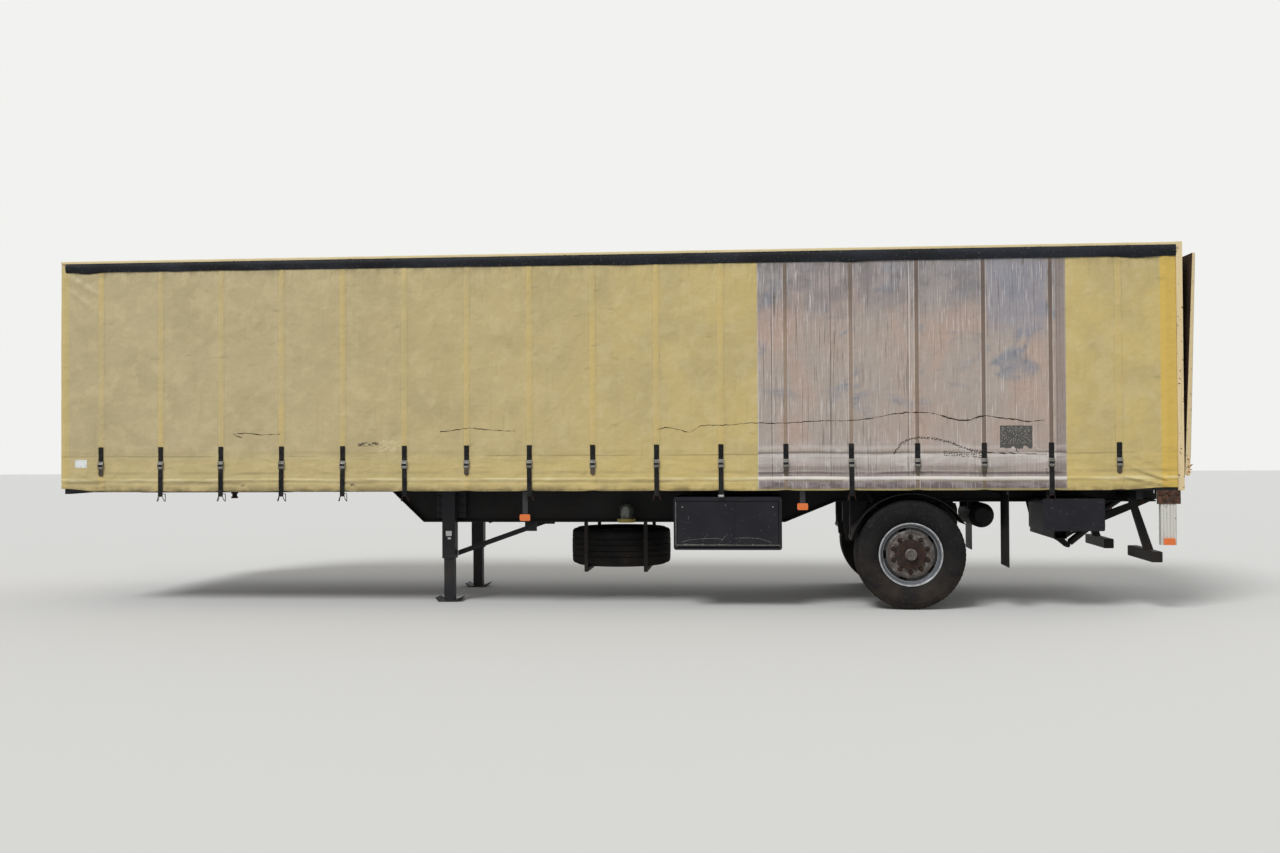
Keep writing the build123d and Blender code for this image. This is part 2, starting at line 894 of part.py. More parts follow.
with BuildPart() as pillars:
    for step in range(pillar_count):
        station = pillar_first + pillar_pitch * step
        slab(
            (at(station - pillar_depth / 2), at(station + pillar_depth / 2)),
            (wall_inner - seat_gap - pillar_width, wall_inner - seat_gap),
            (floor_height, roof_rail_bottom),
        )
    mirror(about=Plane.XZ)
pillars.part.label = "pillars"
export_step(pillars.part, "parts/pillars.step")

# Coupling plate under the neck, and the kingpin through it
with BuildPart() as coupling_plate:
    with BuildSketch(Plane.XY.offset(plate_bottom)):
        with BuildLine():
            Polyline(
                (at(plate_front + plate_corner), -outer_flange_edge),
                (at(plate_rear), -outer_flange_edge),
                (at(plate_rear), outer_flange_edge),
                (at(plate_front + plate_corner), outer_flange_edge),
                (at(plate_front), outer_flange_edge - plate_corner),
                (at(plate_front), -outer_flange_edge + plate_corner),
                close=True,
            )
        make_face()
        with Locations((at(kingpin_station), 0)):
            Circle(kingpin_neck_radius + fit_gap, mode=Mode.SUBTRACT)
    extrude(amount=plate_thickness)
coupling_plate.part.label = "coupling_plate"
export_step(coupling_plate.part, "parts/coupling_plate.step")

groove_top = plate_bottom - kingpin_neck_height
groove_bottom = groove_top - kingpin_groove_height
kingpin_tip = groove_bottom - kingpin_collar_height
with BuildPart() as kingpin:
    pin_profile = [
        (0, neck_bottom + kingpin_flange_height),
        (kingpin_flange_radius, neck_bottom + kingpin_flange_height),
        (kingpin_flange_radius, neck_bottom),
        (kingpin_neck_radius, neck_bottom),
        (kingpin_neck_radius, groove_top),
        (kingpin_groove_radius, groove_top),
        (kingpin_groove_radius, groove_bottom),
        (kingpin_collar_radius, groove_bottom),
        (kingpin_collar_radius, kingpin_tip),
        (0, kingpin_tip),
    ]
    turned_z(pin_profile, at(kingpin_station), 0)
kingpin.part.label = "kingpin"
export_step(kingpin.part, "parts/kingpin.step")

# Landing legs, their brace, the shaft between them and the crank on the right
leg_inner_face = leg_offset - leg_tube / 2
brace_run = brace_reach - leg_tube / 2
brace_level = brace_run / hypot(brace_run, deep_bottom - brace_low_height)
brace_high = at(leg_station + brace_reach)
leg_plate_bottom = deep_bottom + leg_plate_rise
for side, side_name in ((-1, "left"), (1, "right")):
    with BuildPart() as leg:
        middle = at(leg_station)
        tube_y = sorted((side * leg_inner_face, side * (leg_inner_face + leg_tube)))
        slab((middle - leg_tube / 2, middle + leg_tube / 2), tube_y, (leg_tube_bottom, leg_tube_top))
        inner_y = (side * leg_offset - leg_inner_tube / 2, side * leg_offset + leg_inner_tube / 2)
        inner_x = (middle - leg_inner_tube / 2, middle + leg_inner_tube / 2)
        slab(inner_x, inner_y, (leg_foot_height, leg_tube_bottom))
        foot_y = (side * leg_offset - leg_foot_width / 2, side * leg_offset + leg_foot_width / 2)
        foot_half = leg_foot_length / 2
        foot_outline = [
            (middle - foot_half + leg_foot_rim, 0),
            (middle + foot_half - leg_foot_rim, 0),
            (middle + foot_half, leg_foot_rim),
            (middle + foot_half - leg_foot_height, leg_foot_rim),
            (middle + foot_half - leg_foot_rim - leg_foot_height, leg_foot_height),
            (middle - foot_half + leg_foot_rim + leg_foot_height, leg_foot_height),
            (middle - foot_half + leg_foot_height, leg_foot_rim),
            (middle - foot_half, leg_foot_rim),
        ]
        plate_xz(foot_outline, foot_y)
        back_y = sorted((side * (leg_inner_face - leg_plate), side * leg_inner_face))
        slab((middle - leg_plate_half, middle + leg_plate_half), back_y, (leg_plate_bottom, leg_tube_top))
        gusset_y = sorted((side * arm_edge, side * (leg_inner_face - leg_plate)))
        for offset in (-leg_gusset_offset, leg_gusset_offset):
            slab(
                (middle + offset - leg_gusset / 2, middle + offset + leg_gusset / 2),
                gusset_y,
                (leg_plate_bottom, beam_top - leg_gusset_drop),
            )
        brace_y = sorted((side * outer_flange_edge, side * (outer_flange_edge + brace_width)))
        brace_x = (middle + leg_tube / 2, brace_high)
        brace_outline = [
            (brace_x[0], brace_low_height),
            (brace_x[1], deep_bottom),
            (brace_x[1], deep_bottom - brace_wall / brace_level),
            (brace_x[0], brace_low_height - brace_wall / brace_level),
        ]
        plate_xz(brace_outline, brace_y)
        brace_leg = sorted((side * outer_flange_edge, side * (outer_flange_edge + brace_wall)))
        brace_side = [
            (brace_x[0], brace_low_height),
            (brace_x[1], deep_bottom),
            (brace_x[1], deep_bottom - brace_width / brace_level),
            (brace_x[0], brace_low_height - brace_width / brace_level),
        ]
        plate_xz(brace_side, brace_leg)
        end_plate = sorted((side * (outer_flange_edge - beam_flange), side * outer_flange_edge))
        end_span = (brace_high - brace_plate_length, brace_high)
        slab(end_span, end_plate, (deep_bottom - brace_plate_height, deep_bottom))
    leg.part.label = f"landing_leg_{side_name}"
    export_step(leg.part, f"parts/landing_leg_{side_name}.step")

with BuildPart() as leg_shaft:
    shaft_half = leg_inner_face - leg_plate
    round_y(at(leg_station), leg_shaft_height, leg_shaft_radius, (-shaft_half, shaft_half))
    box_face = leg_offset + leg_tube / 2
    rod_start = box_face + gearbox_depth
    crank_face = rod_start + crank_rod_length
    crank_end = (at(leg_station) + crank_back, leg_shaft_height - crank_fall)
    slab(
        (at(leg_station) - gearbox_half, at(leg_station) + gearbox_half),
        (box_face, rod_start),
        (leg_shaft_height - gearbox_half_height, leg_shaft_height + gearbox_half_height),
    )
    round_y(at(leg_station), leg_shaft_height, crank_rod_radius, (rod_start, crank_face))
    link_xz(
        [(at(leg_station), leg_shaft_height, crank_top_radius), (*crank_end, crank_end_radius)],
        (crank_face - crank_wall, crank_face),
    )
    round_y(*crank_end, crank_rod_radius, (crank_face, crank_face + crank_grip))
leg_shaft.part.label = "leg_shaft"
export_step(leg_shaft.part, "parts/leg_shaft.step")

# Axle tube with spindles and brake shields
with BuildPart() as axle:
    half = axle_tube / 2
    axle_x = at(axle_station)
    slab(
        (axle_x - half, axle_x + half),
        (-axle_half_length, axle_half_length),
        (axle_height - half, axle_height + half),
    )
    fillet(axle.edges().filter_by(Axis.Y), axle_corner)
    shield = axle_half_length + shield_offset
    spindle_end = axle_half_length + spindle_length
    spindle_profile = [
        (axle_half_length, 0),
        (axle_half_length, spindle_root_radius),
        (shield, spindle_shield_radius),
        (shield, drum_radius - drum_wall - shield_wall),
        (shield + shield_wall, drum_radius - drum_wall - shield_wall),
        (shield + shield_wall, spindle_shield_radius),
        (axle_half_length + spindle_start, spindle_radius),
        (spindle_end, spindle_radius),
        (spindle_end, 0),
    ]
    turned_y(spindle_profile, axle_x, axle_height)
    turned_y([(-y, r) for y, r in spindle_profile], axle_x, axle_height)
axle.part.label = "axle"
export_step(axle.part, "parts/axle.step")

# Hangers and trailing arms
pivot_x = at(axle_station - arm_pivot_ahead)
bag_x = at(axle_station + bag_behind)
arm_y = (beam_offset - arm_width / 2, beam_offset + arm_width / 2)
hanger_y = (arm_y[0] - hanger_gap, arm_y[1] + hanger_gap)
axle_top = axle_height + axle_tube / 2
with BuildPart() as suspension_arms:
    hanger = [
        (pivot_x - hanger_front, rear_bottom),
        (pivot_x - hanger_toe, arm_pivot_height - hanger_toe),
        (pivot_x + hanger_toe, arm_pivot_height - hanger_toe),
        (pivot_x + hanger_rear, rear_bottom),
    ]
    plate_xz(hanger, (hanger_y[0] - hanger_wall, hanger_y[0]))
    plate_xz(hanger, (hanger_y[1], hanger_y[1] + hanger_wall))
    web_x = pivot_x - hanger_front
    slab((web_x, web_x + hanger_wall), hanger_y, (rear_bottom - hanger_web, rear_bottom))
    pin_y = (hanger_y[0] - hanger_wall, hanger_y[1] + hanger_wall)
    round_y(pivot_x, arm_pivot_height, arm_pivot_radius, pin_y)
    arm_outline = [
        (pivot_x - arm_eye, arm_pivot_height + arm_depth / 2),
        (pivot_x - arm_eye, arm_pivot_height - arm_depth / 2),
        (axle_x - 2 * arm_seat, axle_top + arm_sag),
        (axle_x - arm_seat, axle_top),
        (axle_x + arm_seat, axle_top),
        (axle_x + 2 * arm_seat, axle_top + arm_sag / 2),
        (bag_x + bag_piston_radius, bag_seat_height - arm_tail),
        (bag_x + bag_piston_radius, bag_seat_height),
        (bag_x - bag_piston_radius, bag_seat_height),
        (axle_x + arm_clamp, axle_top + arm_clamp_height),
        (axle_x - arm_clamp, axle_top + arm_clamp_height),
    ]
    plate_xz(arm_outline, arm_y)
    mirror(about=Plane.XZ)
suspension_arms.part.label = "suspension_arms"
export_step(suspension_arms.part, "parts/suspension_arms.step")

with BuildPart() as air_springs:
    bag_profile = [
        (0, bag_seat_height),
        (bag_piston_radius - bag_taper, bag_seat_height),
        (bag_piston_radius, bag_seat_height + bag_piston_height),
        (bag_radius - bag_taper, bag_seat_height + bag_piston_height),
        (bag_radius, bag_seat_height + bag_piston_height + bag_shoulder),
        (bag_radius, rear_bottom - bag_plate - bag_shoulder),
        (bag_radius - bag_taper, rear_bottom - bag_plate),
        (bag_piston_radius, rear_bottom - bag_plate),
        (bag_piston_radius, rear_bottom),
        (0, rear_bottom),
    ]
    turned_z(bag_profile, bag_x, beam_offset)
    mirror(about=Plane.XZ)
air_springs.part.label = "air_springs"
export_step(air_springs.part, "parts/air_springs.step")

# Dampers from the trailing arm up to the beam's web
with BuildPart() as dampers:
    low = (axle_x - damper_foot_ahead, axle_top + damper_foot_rise)
    high = (axle_x - damper_head_ahead, rear_bottom + damper_head_rise)
    reach = hypot(high[0] - low[0], high[1] - low[1])
    run = ((high[0] - low[0]) / reach, (high[1] - low[1]) / reach)
    eye_y = (damper_offset - damper_eye_width / 2, damper_offset + damper_eye_width / 2)
    for x, z, seat in ((*low, arm_y[1]), (*high, arm_edge)):
        round_y(x, z, damper_eye_radius, eye_y)
        round_y(x, z, damper_pin_radius, (seat, eye_y[1] + damper_pin_radius))
    damper_plane = Plane(origin=(low[0], damper_offset, low[1]), z_dir=(run[0], 0, run[1]))
    with BuildSketch(damper_plane):
        Circle(damper_rod_radius)
    extrude(amount=reach)
    with BuildSketch(damper_plane.offset(reach - damper_eye_radius - damper_body_length)):
        Circle(damper_radius)
    extrude(amount=damper_body_length)
    mirror(about=Plane.XZ)
dampers.part.label = "dampers"
export_step(dampers.part, "parts/dampers.step")

with BuildPart() as brake_chambers:
    start = axle_x + axle_tube / 2
    with BuildSketch(Plane.YZ.offset(start)):
        with Locations((chamber_offset, axle_height)):
            Circle(chamber_radius - chamber_neck)
    extrude(amount=chamber_neck)
    with BuildSketch(Plane.YZ.offset(start + chamber_neck)):
        with Locations((chamber_offset, axle_height)):
            Circle(chamber_radius)
    extrude(amount=chamber_length)
    chamfer(brake_chambers.edges().filter_by(GeomType.CIRCLE).sort_by(Axis.X)[-1], chamber_bevel)
    mirror(about=Plane.XZ)
brake_chambers.part.label = "brake_chambers"
export_step(brake_chambers.part, "parts/brake_chambers.step")

# A tyre, a rim and a hub about a Y axis, the outer side towards +Y
tread_half = tyre_half_width - tread_inset
bead_radius = rim_seat_radius + fit_gap
bulge_radius = (rim_flange_radius + tyre_radius) / 2
with BuildPart() as tyre_form:
    half_outline = [
        (rim_half_width - bead_toe, bead_radius),
        (rim_half_width - bead_gap, bead_radius),
        (rim_half_width - bead_gap, rim_flange_radius + bead_gap),
        (tyre_half_width, bulge_radius),
        (tyre_half_width - tyre_shoulder, tyre_radius - tyre_shoulder_drop),
        (tread_half, tyre_radius),
    ]
    inner_outline = [
        (tread_half - tyre_wall, tyre_radius - tyre_crown),
        (tyre_half_width - tyre_wall, bulge_radius),
        (rim_half_width - bead_toe, rim_seat_radius + tyre_crown),
    ]
    outer = half_outline + [(-y, r) for y, r in reversed(half_outline)]
    inner = [(-y, r) for y, r in reversed(inner_outline)] + inner_outline
    turned_y(outer + inner, 0, 0)

with BuildPart() as rim_form:
    seat_edge = rim_half_width - rim_seat_width
    rim_edge = rim_half_width + rim_lip
    barrel_outer = [
        (rim_edge, rim_flange_radius),
        (rim_half_width, rim_flange_radius),
        (rim_half_width, rim_seat_radius),
        (seat_edge, rim_seat_radius),
        (rim_well_front, rim_well_radius),
        (-rim_well_rear, rim_well_radius),
        (-seat_edge, rim_seat_radius),
        (-rim_half_width, rim_seat_radius),
        (-rim_half_width, rim_flange_radius),
        (-rim_edge, rim_flange_radius),
    ]
    barrel_inner = [
        (-rim_edge, rim_flange_radius - rim_wall),
        (-rim_half_width, rim_seat_radius - rim_wall),
        (-seat_edge, rim_seat_radius - rim_wall),
        (-rim_well_rear, rim_well_radius - rim_wall),
        (rim_well_front, rim_well_radius - rim_wall),
        (seat_edge, rim_seat_radius - rim_wall),
        (rim_half_width, rim_seat_radius - rim_wall),
        (rim_edge, rim_flange_radius - rim_wall),
    ]
    turned_y(barrel_outer + barrel_inner, 0, 0)
    disc_back = disc_face - disc_wall
    disc_sunk = disc_face - disc_dish
    disc_profile = [
        (disc_face, spigot_radius + fit_gap),
        (disc_face, disc_flat_radius),
        (disc_sunk, disc_edge_radius),
        (disc_sunk - disc_wall, disc_edge_radius),
        (disc_back, disc_flat_radius - disc_wall),
        (disc_back, spigot_radius + fit_gap),
    ]
    turned_y(disc_profile, 0, 0)
    with BuildSketch(Plane.XZ.offset(-(disc_sunk - disc_wall))):
        with PolarLocations(hand_hole_radius, hand_hole_count):
            SlotOverall(hand_hole_length, hand_hole_width, rotation=90)
    extrude(amount=-2 * disc_dish, mode=Mode.SUBTRACT)

with BuildPart() as hub_form:
    mount_face = wheel_offset + disc_back
    hub_profile = [
        (mount_face + hub_face, 0),
        (mount_face + hub_face + hub_cap_height, 0),
        (mount_face + hub_face + hub_cap_height, hub_cap_radius),
        (mount_face + hub_face, hub_cap_radius),
        (mount_face + hub_rise, spigot_radius),
        (mount_face, spigot_radius),
        (mount_face, hub_flange_radius),
        (mount_face - hub_flange_wall, drum_radius),
        (mount_face - hub_flange_wall - drum_depth, drum_radius),
        (mount_face - hub_flange_wall - drum_depth, drum_radius - drum_wall),
        (mount_face - hub_flange_wall - drum_wall, drum_radius - drum_wall),
        (mount_face - hub_flange_wall - drum_wall, spindle_radius + hub_neck),
        (mount_face - hub_flange_wall - drum_wall - hub_neck_length, spindle_radius + hub_neck),
        (mount_face - hub_flange_wall - drum_wall - hub_neck_length, spindle_radius + fit_gap),
        (mount_face + hub_face, spindle_radius + fit_gap),
    ]
    turned_y([(y - wheel_offset, r) for y, r in hub_profile], 0, 0)

# Each wheel's tyre, rim and hub, and the spare that lies flat with its outer side down
wheel_forms = (("tyre", tyre_form), ("rim", rim_form), ("hub", hub_form))
for side_name, turn, offset in (("left", 180, -wheel_offset), ("right", 0, wheel_offset)):
    for form_name, form in wheel_forms:
        with BuildPart() as wheel_piece:
            with Locations(Location((axle_x, offset, axle_height), (0, 0, turn))):
                add(form.part)
        wheel_piece.part.label = f"{side_name}_{form_name}"
        export_step(wheel_piece.part, f"parts/{side_name}_{form_name}.step")
spare_height = cradle_top + fit_gap + tyre_half_width
for form_name, form in wheel_forms[:2]:
    with BuildPart() as spare_piece:
        with Locations(Location((at(spare_station), 0, spare_height), (-90, 0, 0))):
            add(form.part)
    spare_piece.part.label = f"spare_{form_name}"
    export_step(spare_piece.part, f"parts/spare_{form_name}.step")

with BuildPart() as spare_cradle:
    leg_in = tyre_radius + cradle_side_gap
    cradle_section = [
        (-leg_in - cradle_tube, deep_bottom),
        (-leg_in - cradle_tube, cradle_top - cradle_tube),
        (leg_in + cradle_tube, cradle_top - cradle_tube),
        (leg_in + cradle_tube, deep_bottom),
        (leg_in, deep_bottom),
        (leg_in, cradle_top),
        (-leg_in, cradle_top),
        (-leg_in, deep_bottom),
    ]
    for offset in (-cradle_spread, cradle_spread):
        middle = at(spare_station + offset)
        bar_yz(cradle_section, (middle - cradle_tube / 2, middle + cradle_tube / 2))
spare_cradle.part.label = "spare_cradle"
export_step(spare_cradle.part, "parts/spare_cradle.step")

# Mudguards over the wheels, on stays from the outriggers
guard_y = (wheel_offset - mudguard_width / 2, wheel_offset + mudguard_width / 2)
front_stay = at(nearest_cross(axle_station - tyre_radius))
top_stay = at(nearest_cross(axle_station))
with BuildPart() as mudguards:
    with BuildSketch(Plane(origin=(axle_x, guard_y[0], axle_height), x_dir=(1, 0, 0), z_dir=(0, -1, 0))):
        with BuildLine():
            angles = (mudguard_rear_angle, mudguard_sweep)
            arc_outer = CenterArc((0, 0), mudguard_radius, *angles)
            arc_inner = CenterArc((0, 0), mudguard_radius - mudguard_wall, *angles)
            Line(arc_outer @ 0, arc_inner @ 0)
            Line(arc_outer @ 1, arc_inner @ 1)
        make_face()
    extrude(amount=-mudguard_width)
    stay_y = (wheel_offset - mudguard_stay / 2, wheel_offset + mudguard_stay / 2)
    front_angle = radians(mudguard_rear_angle + mudguard_sweep)
    guard_front = axle_x + mudguard_radius * cos(front_angle)
    guard_low = axle_height + mudguard_radius * sin(front_angle)
    guard_crown = axle_height + mudguard_radius - mudguard_wall
    slab((guard_front, front_stay + cross_wall), stay_y, (guard_low + mudguard_wall, cross_bottom))
    slab((top_stay, top_stay + cross_flange), stay_y, (guard_crown, cross_bottom))
    mirror(about=Plane.XZ)
mudguards.part.label = "mudguards"
export_step(mudguards.part, "parts/mudguards.step")

with BuildPart() as mud_flaps:
    flap_x = at(axle_station + flap_behind)
    slab(
        (flap_x - flap_rail_depth, flap_x),
        (arm_edge, guard_y[1] + flap_rail_depth),
        (side_rail_bottom - flap_rail_height, side_rail_bottom),
    )
    slab((flap_x, flap_x + mud_flap_wall), guard_y, (mud_flap_bottom, side_rail_bottom - swing_gap))
    mirror(about=Plane.XZ)
mud_flaps.part.label = "mud_flaps"
export_step(mud_flaps.part, "parts/mud_flaps.step")

# Chassis lubricator on the left beam
arm_bottom = deep_bottom + beam_flange + seat_gap
with BuildPart() as lubricator:
    neck = lubricator_bottom + lubricator_ring_height
    reservoir = [
        (0, lubricator_bottom),
        (lubricator_ring_radius, lubricator_bottom),
        (lubricator_ring_radius, neck),
        (lubricator_radius, neck + lubricator_shoulder),
        (lubricator_radius, lubricator_top - lubricator_shoulder),
        (lubricator_radius - lubricator_shoulder, lubricator_top),
        (0, lubricator_top),
    ]
    turned_z(reservoir, at(lubricator_station), -lubricator_offset)
    slab(
        (at(lubricator_station) - lubricator_arm / 2, at(lubricator_station) + lubricator_arm / 2),
        (lubricator_radius - lubricator_offset, -arm_edge),
        (arm_bottom, arm_bottom + lubricator_arm_wall),
    )
lubricator.part.label = "lubricator"
export_step(lubricator.part, "parts/lubricator.step")

# Storage box, open at the front, and its drop-down door on two pins
door_pin_y = -box_outer + door_thickness / 2
door_foot = door_bottom + 2 * swing_gap
door_pin_z = door_foot + door_thickness / 2
door_span = (at(box_front + door_margin) + swing_gap, at(box_rear - door_margin) - swing_gap)
with BuildPart() as storage_box:
    slab((at(box_front), at(box_rear)), (-box_outer, -box_inner), (box_bottom, box_top))
    fillet(storage_box.edges().filter_by(Axis.Y), box_corner)
    slab(
        (at(box_front) + box_wall, at(box_rear) - box_wall),
        (-box_outer + door_thickness, -box_inner - box_wall),
        (box_bottom + box_wall, box_top - box_wall),
        Mode.SUBTRACT,
    )
    slab(
        (at(box_front + door_margin), at(box_rear - door_margin)),
        (-box_outer, -box_outer + door_thickness),
        (door_bottom, door_top),
        Mode.SUBTRACT,
    )
    pin_bore = door_pin_length + 2 * seat_gap
    for end in (at(box_front + door_margin) - pin_bore, at(box_rear - door_margin)):
        round_x(door_pin_y, door_pin_z, door_pin_radius + fit_gap, (end, end + pin_bore), Mode.SUBTRACT)
    for station in (box_front + box_arm_front, box_rear - box_arm_rear):
        slab(
            (at(station), at(station) + box_arm_wall),
            (-box_inner, -arm_edge),
            (arm_bottom, box_top - box_corner),
        )
storage_box.part.label = "storage_box"
export_step(storage_box.part, "parts/storage_box.step")

door_seam = at(box_front + door_seam_behind)
with BuildPart() as storage_box_door:
    slab(
        door_span,
        (-box_outer, -box_outer + door_thickness),
        (door_foot, door_top - swing_gap),
    )
    slab(
        (door_seam - door_seam_width / 2, door_seam + door_seam_width / 2),
        (-box_outer, -box_outer + door_seam_depth),
        (door_foot, door_top - swing_gap),
        Mode.SUBTRACT,
    )
    pin_reach = swing_gap + door_pin_length
    for end in (door_span[0] - pin_reach, door_span[1]):
        round_x(door_pin_y, door_pin_z, door_pin_radius, (end, end + pin_reach))
storage_box_door.part.label = "storage_box_door"
export_step(storage_box_door.part, "parts/storage_box_door.step")

with BuildPart() as air_tank:
    round_y(at(axle_station + tank_behind), tank_height, tank_radius, (-tank_half_length, tank_half_length))
    chamfer(air_tank.edges().filter_by(GeomType.CIRCLE), tank_corner)
    start = at(nearest_cross(axle_station + tank_behind - tank_radius)) + cross_wall
    for y in (-tank_hanger_offset, tank_hanger_offset):
        hanger_span = (y - tank_hanger / 2, y + tank_hanger / 2)
        slab((start, start + tank_hanger), hanger_span, (tank_height + tank_radius / 2, cross_bottom))
air_tank.part.label = "air_tank"
export_step(air_tank.part, "parts/air_tank.step")

# Service panel on the front sill's face, with two air couplings, and an electric socket each side of them
panel_middle = (neck_bottom + deck_underside) / 2
panel_face = at(front_sill_station) - panel_wall
with BuildPart() as service_panel:
    slab(
        (panel_face, at(front_sill_station)),
        (-panel_half_width, panel_half_width),
        (neck_bottom + panel_edge, deck_underside - panel_edge),
    )
    for y in (-coupling_offset, coupling_offset):
        round_x(y, panel_middle, coupling_radius, (panel_face - coupling_length, panel_face))
service_panel.part.label = "service_panel"
export_step(service_panel.part, "parts/service_panel.step")

socket_start = panel_face - socket_length
for side, side_name in ((-1, "left"), (1, "right")):
    with BuildPart() as electric_socket:
        round_x(side * socket_offset, panel_middle, socket_radius, (socket_start, panel_face))
        socket_span = (socket_start, socket_start + socket_depth)
        round_x(side * socket_offset, panel_middle, socket_bore, socket_span, Mode.SUBTRACT)
    electric_socket.part.label = f"{side_name}_electric_socket"
    export_step(electric_socket.part, f"parts/{side_name}_electric_socket.step")

# Side markers: station, drop below the side rail, and the face that each sits on
marker_face = cloth_half_width - marker_inset
bracket_middle = body_length - (bracket_front_from_rear + bracket_rear_from_rear) / 2
marker_table = (
    (marker_front_station, marker_front_drop, marker_face),
    (marker_middle_station, marker_middle_drop, marker_face),
    (bracket_middle, marker_rear_drop, bracket_face + bracket_rib),
)
with BuildPart() as marker_lamps:
    for station, drop, face in marker_table:
        height = side_rail_bottom - drop
        slab(
            (at(station) - marker_length / 2, at(station) + marker_length / 2),
            (face, face + marker_depth),
            (height - marker_height / 2, height + marker_height / 2),
        )
    fillet(marker_lamps.edges().filter_by(Axis.Y), marker_corner)
    mirror(about=Plane.XZ)
marker_lamps.part.label = "marker_lamps"
export_step(marker_lamps.part, "parts/marker_lamps.step")

cabinet_inner = box_outer - cabinet_depth
with BuildPart() as rear_cabinet:
    slab(
        (at(cabinet_front), at(cabinet_front + cabinet_length)),
        (-box_outer, -cabinet_inner),
        (cabinet_top - cabinet_height, cabinet_top),
    )
    fillet(rear_cabinet.edges().filter_by(Axis.Y), cabinet_corner)
    for station in (cabinet_front + cabinet_arm_inset, cabinet_front + cabinet_length - cabinet_arm_inset):
        slab(
            (at(station), at(station) + box_arm_wall),
            (-cabinet_inner, -arm_edge),
            (rear_bottom + beam_flange + seat_gap, cabinet_top - seat_gap),
        )
    hanger_x = at(nearest_cross(cabinet_front))
    hanger_y = (-box_outer + cabinet_hanger_inset, -box_outer + cabinet_hanger_inset + cabinet_hanger)
    slab((hanger_x, hanger_x + cabinet_hanger), hanger_y, (cabinet_top, cross_bottom))
rear_cabinet.part.label = "rear_cabinet"
export_step(rear_cabinet.part, "parts/rear_cabinet.step")

# Underrun guard: an outer bar each side, open between for the lift arms
with BuildPart() as underrun:
    half = underrun_tube / 2
    underrun_x = rear_x - underrun_from_rear
    slab(
        (underrun_x - half, underrun_x + half),
        (underrun_inner, underrun_outer),
        (underrun_height - half, underrun_height + half),
    )
    fillet(underrun.edges().filter_by(Axis.Y), underrun_corner)
    bolster_x = rear_x - bolster_from_rear
    bolster = (bolster_x - bolster_depth / 2, bolster_x + bolster_depth / 2)
    strut_outline = [
        (bolster[0], bolster_bottom),
        (bolster[1], bolster_bottom),
        (underrun_x + strut_foot / 2, underrun_height + half),
        (underrun_x - strut_foot / 2, underrun_height + half),
    ]
    plate_xz(strut_outline, (strut_offset - strut_width / 2, strut_offset + strut_width / 2))
    slab(bolster, (arm_edge, underrun_outer), (bolster_bottom, side_rail_bottom))
    mirror(about=Plane.XZ)
underrun.part.label = "underrun"
export_step(underrun.part, "parts/underrun.step")

# Rear corners: gusset, ribbed lamp bracket, and the plates of the forward markers
bracket_front = rear_x - bracket_front_from_rear
bracket_rear = rear_x - bracket_rear_from_rear
with BuildPart() as lamp_brackets:
    slab(
        (rear_x - gusset_front_from_rear, rear_x - gusset_rear_from_rear),
        (cloth_half_width - gusset_wall, cloth_half_width),
        (gusset_bottom, side_rail_bottom),
    )
    rib_step = (bracket_rear - bracket_front) / bracket_ribs
    ribbed = []
    for step in range(bracket_ribs):
        start = bracket_front + rib_step * step
        ribbed += [
            (start, bracket_face),
            (start + rib_step * 0.3, bracket_face + bracket_rib),
            (start + rib_step * 0.7, bracket_face + bracket_rib),
        ]
    ribbed += [
        (bracket_rear, bracket_face),
        (bracket_rear, bracket_back),
        (bracket_rear - bracket_wall, bracket_back),
        (bracket_rear - bracket_wall, bracket_face - bracket_wall),
        (bracket_front + bracket_wall, bracket_face - bracket_wall),
        (bracket_front + bracket_wall, bracket_back),
        (bracket_front, bracket_back),
    ]
    with BuildSketch(Plane.XY.offset(side_rail_bottom - bracket_drop)):
        with BuildLine():
            Polyline(*ribbed, close=True)
        make_face()
    extrude(amount=bracket_drop - gusset_drop + 2 * gusset_wall)
    for station, drop, face in marker_table[:2]:
        slab(
            (at(station) - marker_length / 4, at(station) + marker_length / 4),
            (face - marker_plate, face),
            (side_rail_bottom - drop - marker_height / 2, side_rail_bottom),
        )
    mirror(about=Plane.XZ)
lamp_brackets.part.label = "lamp_brackets"
export_step(lamp_brackets.part, "parts/lamp_brackets.step")

rear_lamp_top = side_rail_bottom - rear_lamp_drop
with BuildPart() as rear_lamps:
    slab(
        (bracket_rear - rear_lamp_depth, bracket_rear),
        (bracket_back - rear_lamp_length, bracket_back),
        (rear_lamp_top - rear_lamp_height, rear_lamp_top),
    )
    fillet(rear_lamps.edges().filter_by(Axis.X), rear_lamp_corner)
    mirror(about=Plane.XZ)
rear_lamps.part.label = "rear_lamps"
export_step(rear_lamps.part, "parts/rear_lamps.step")

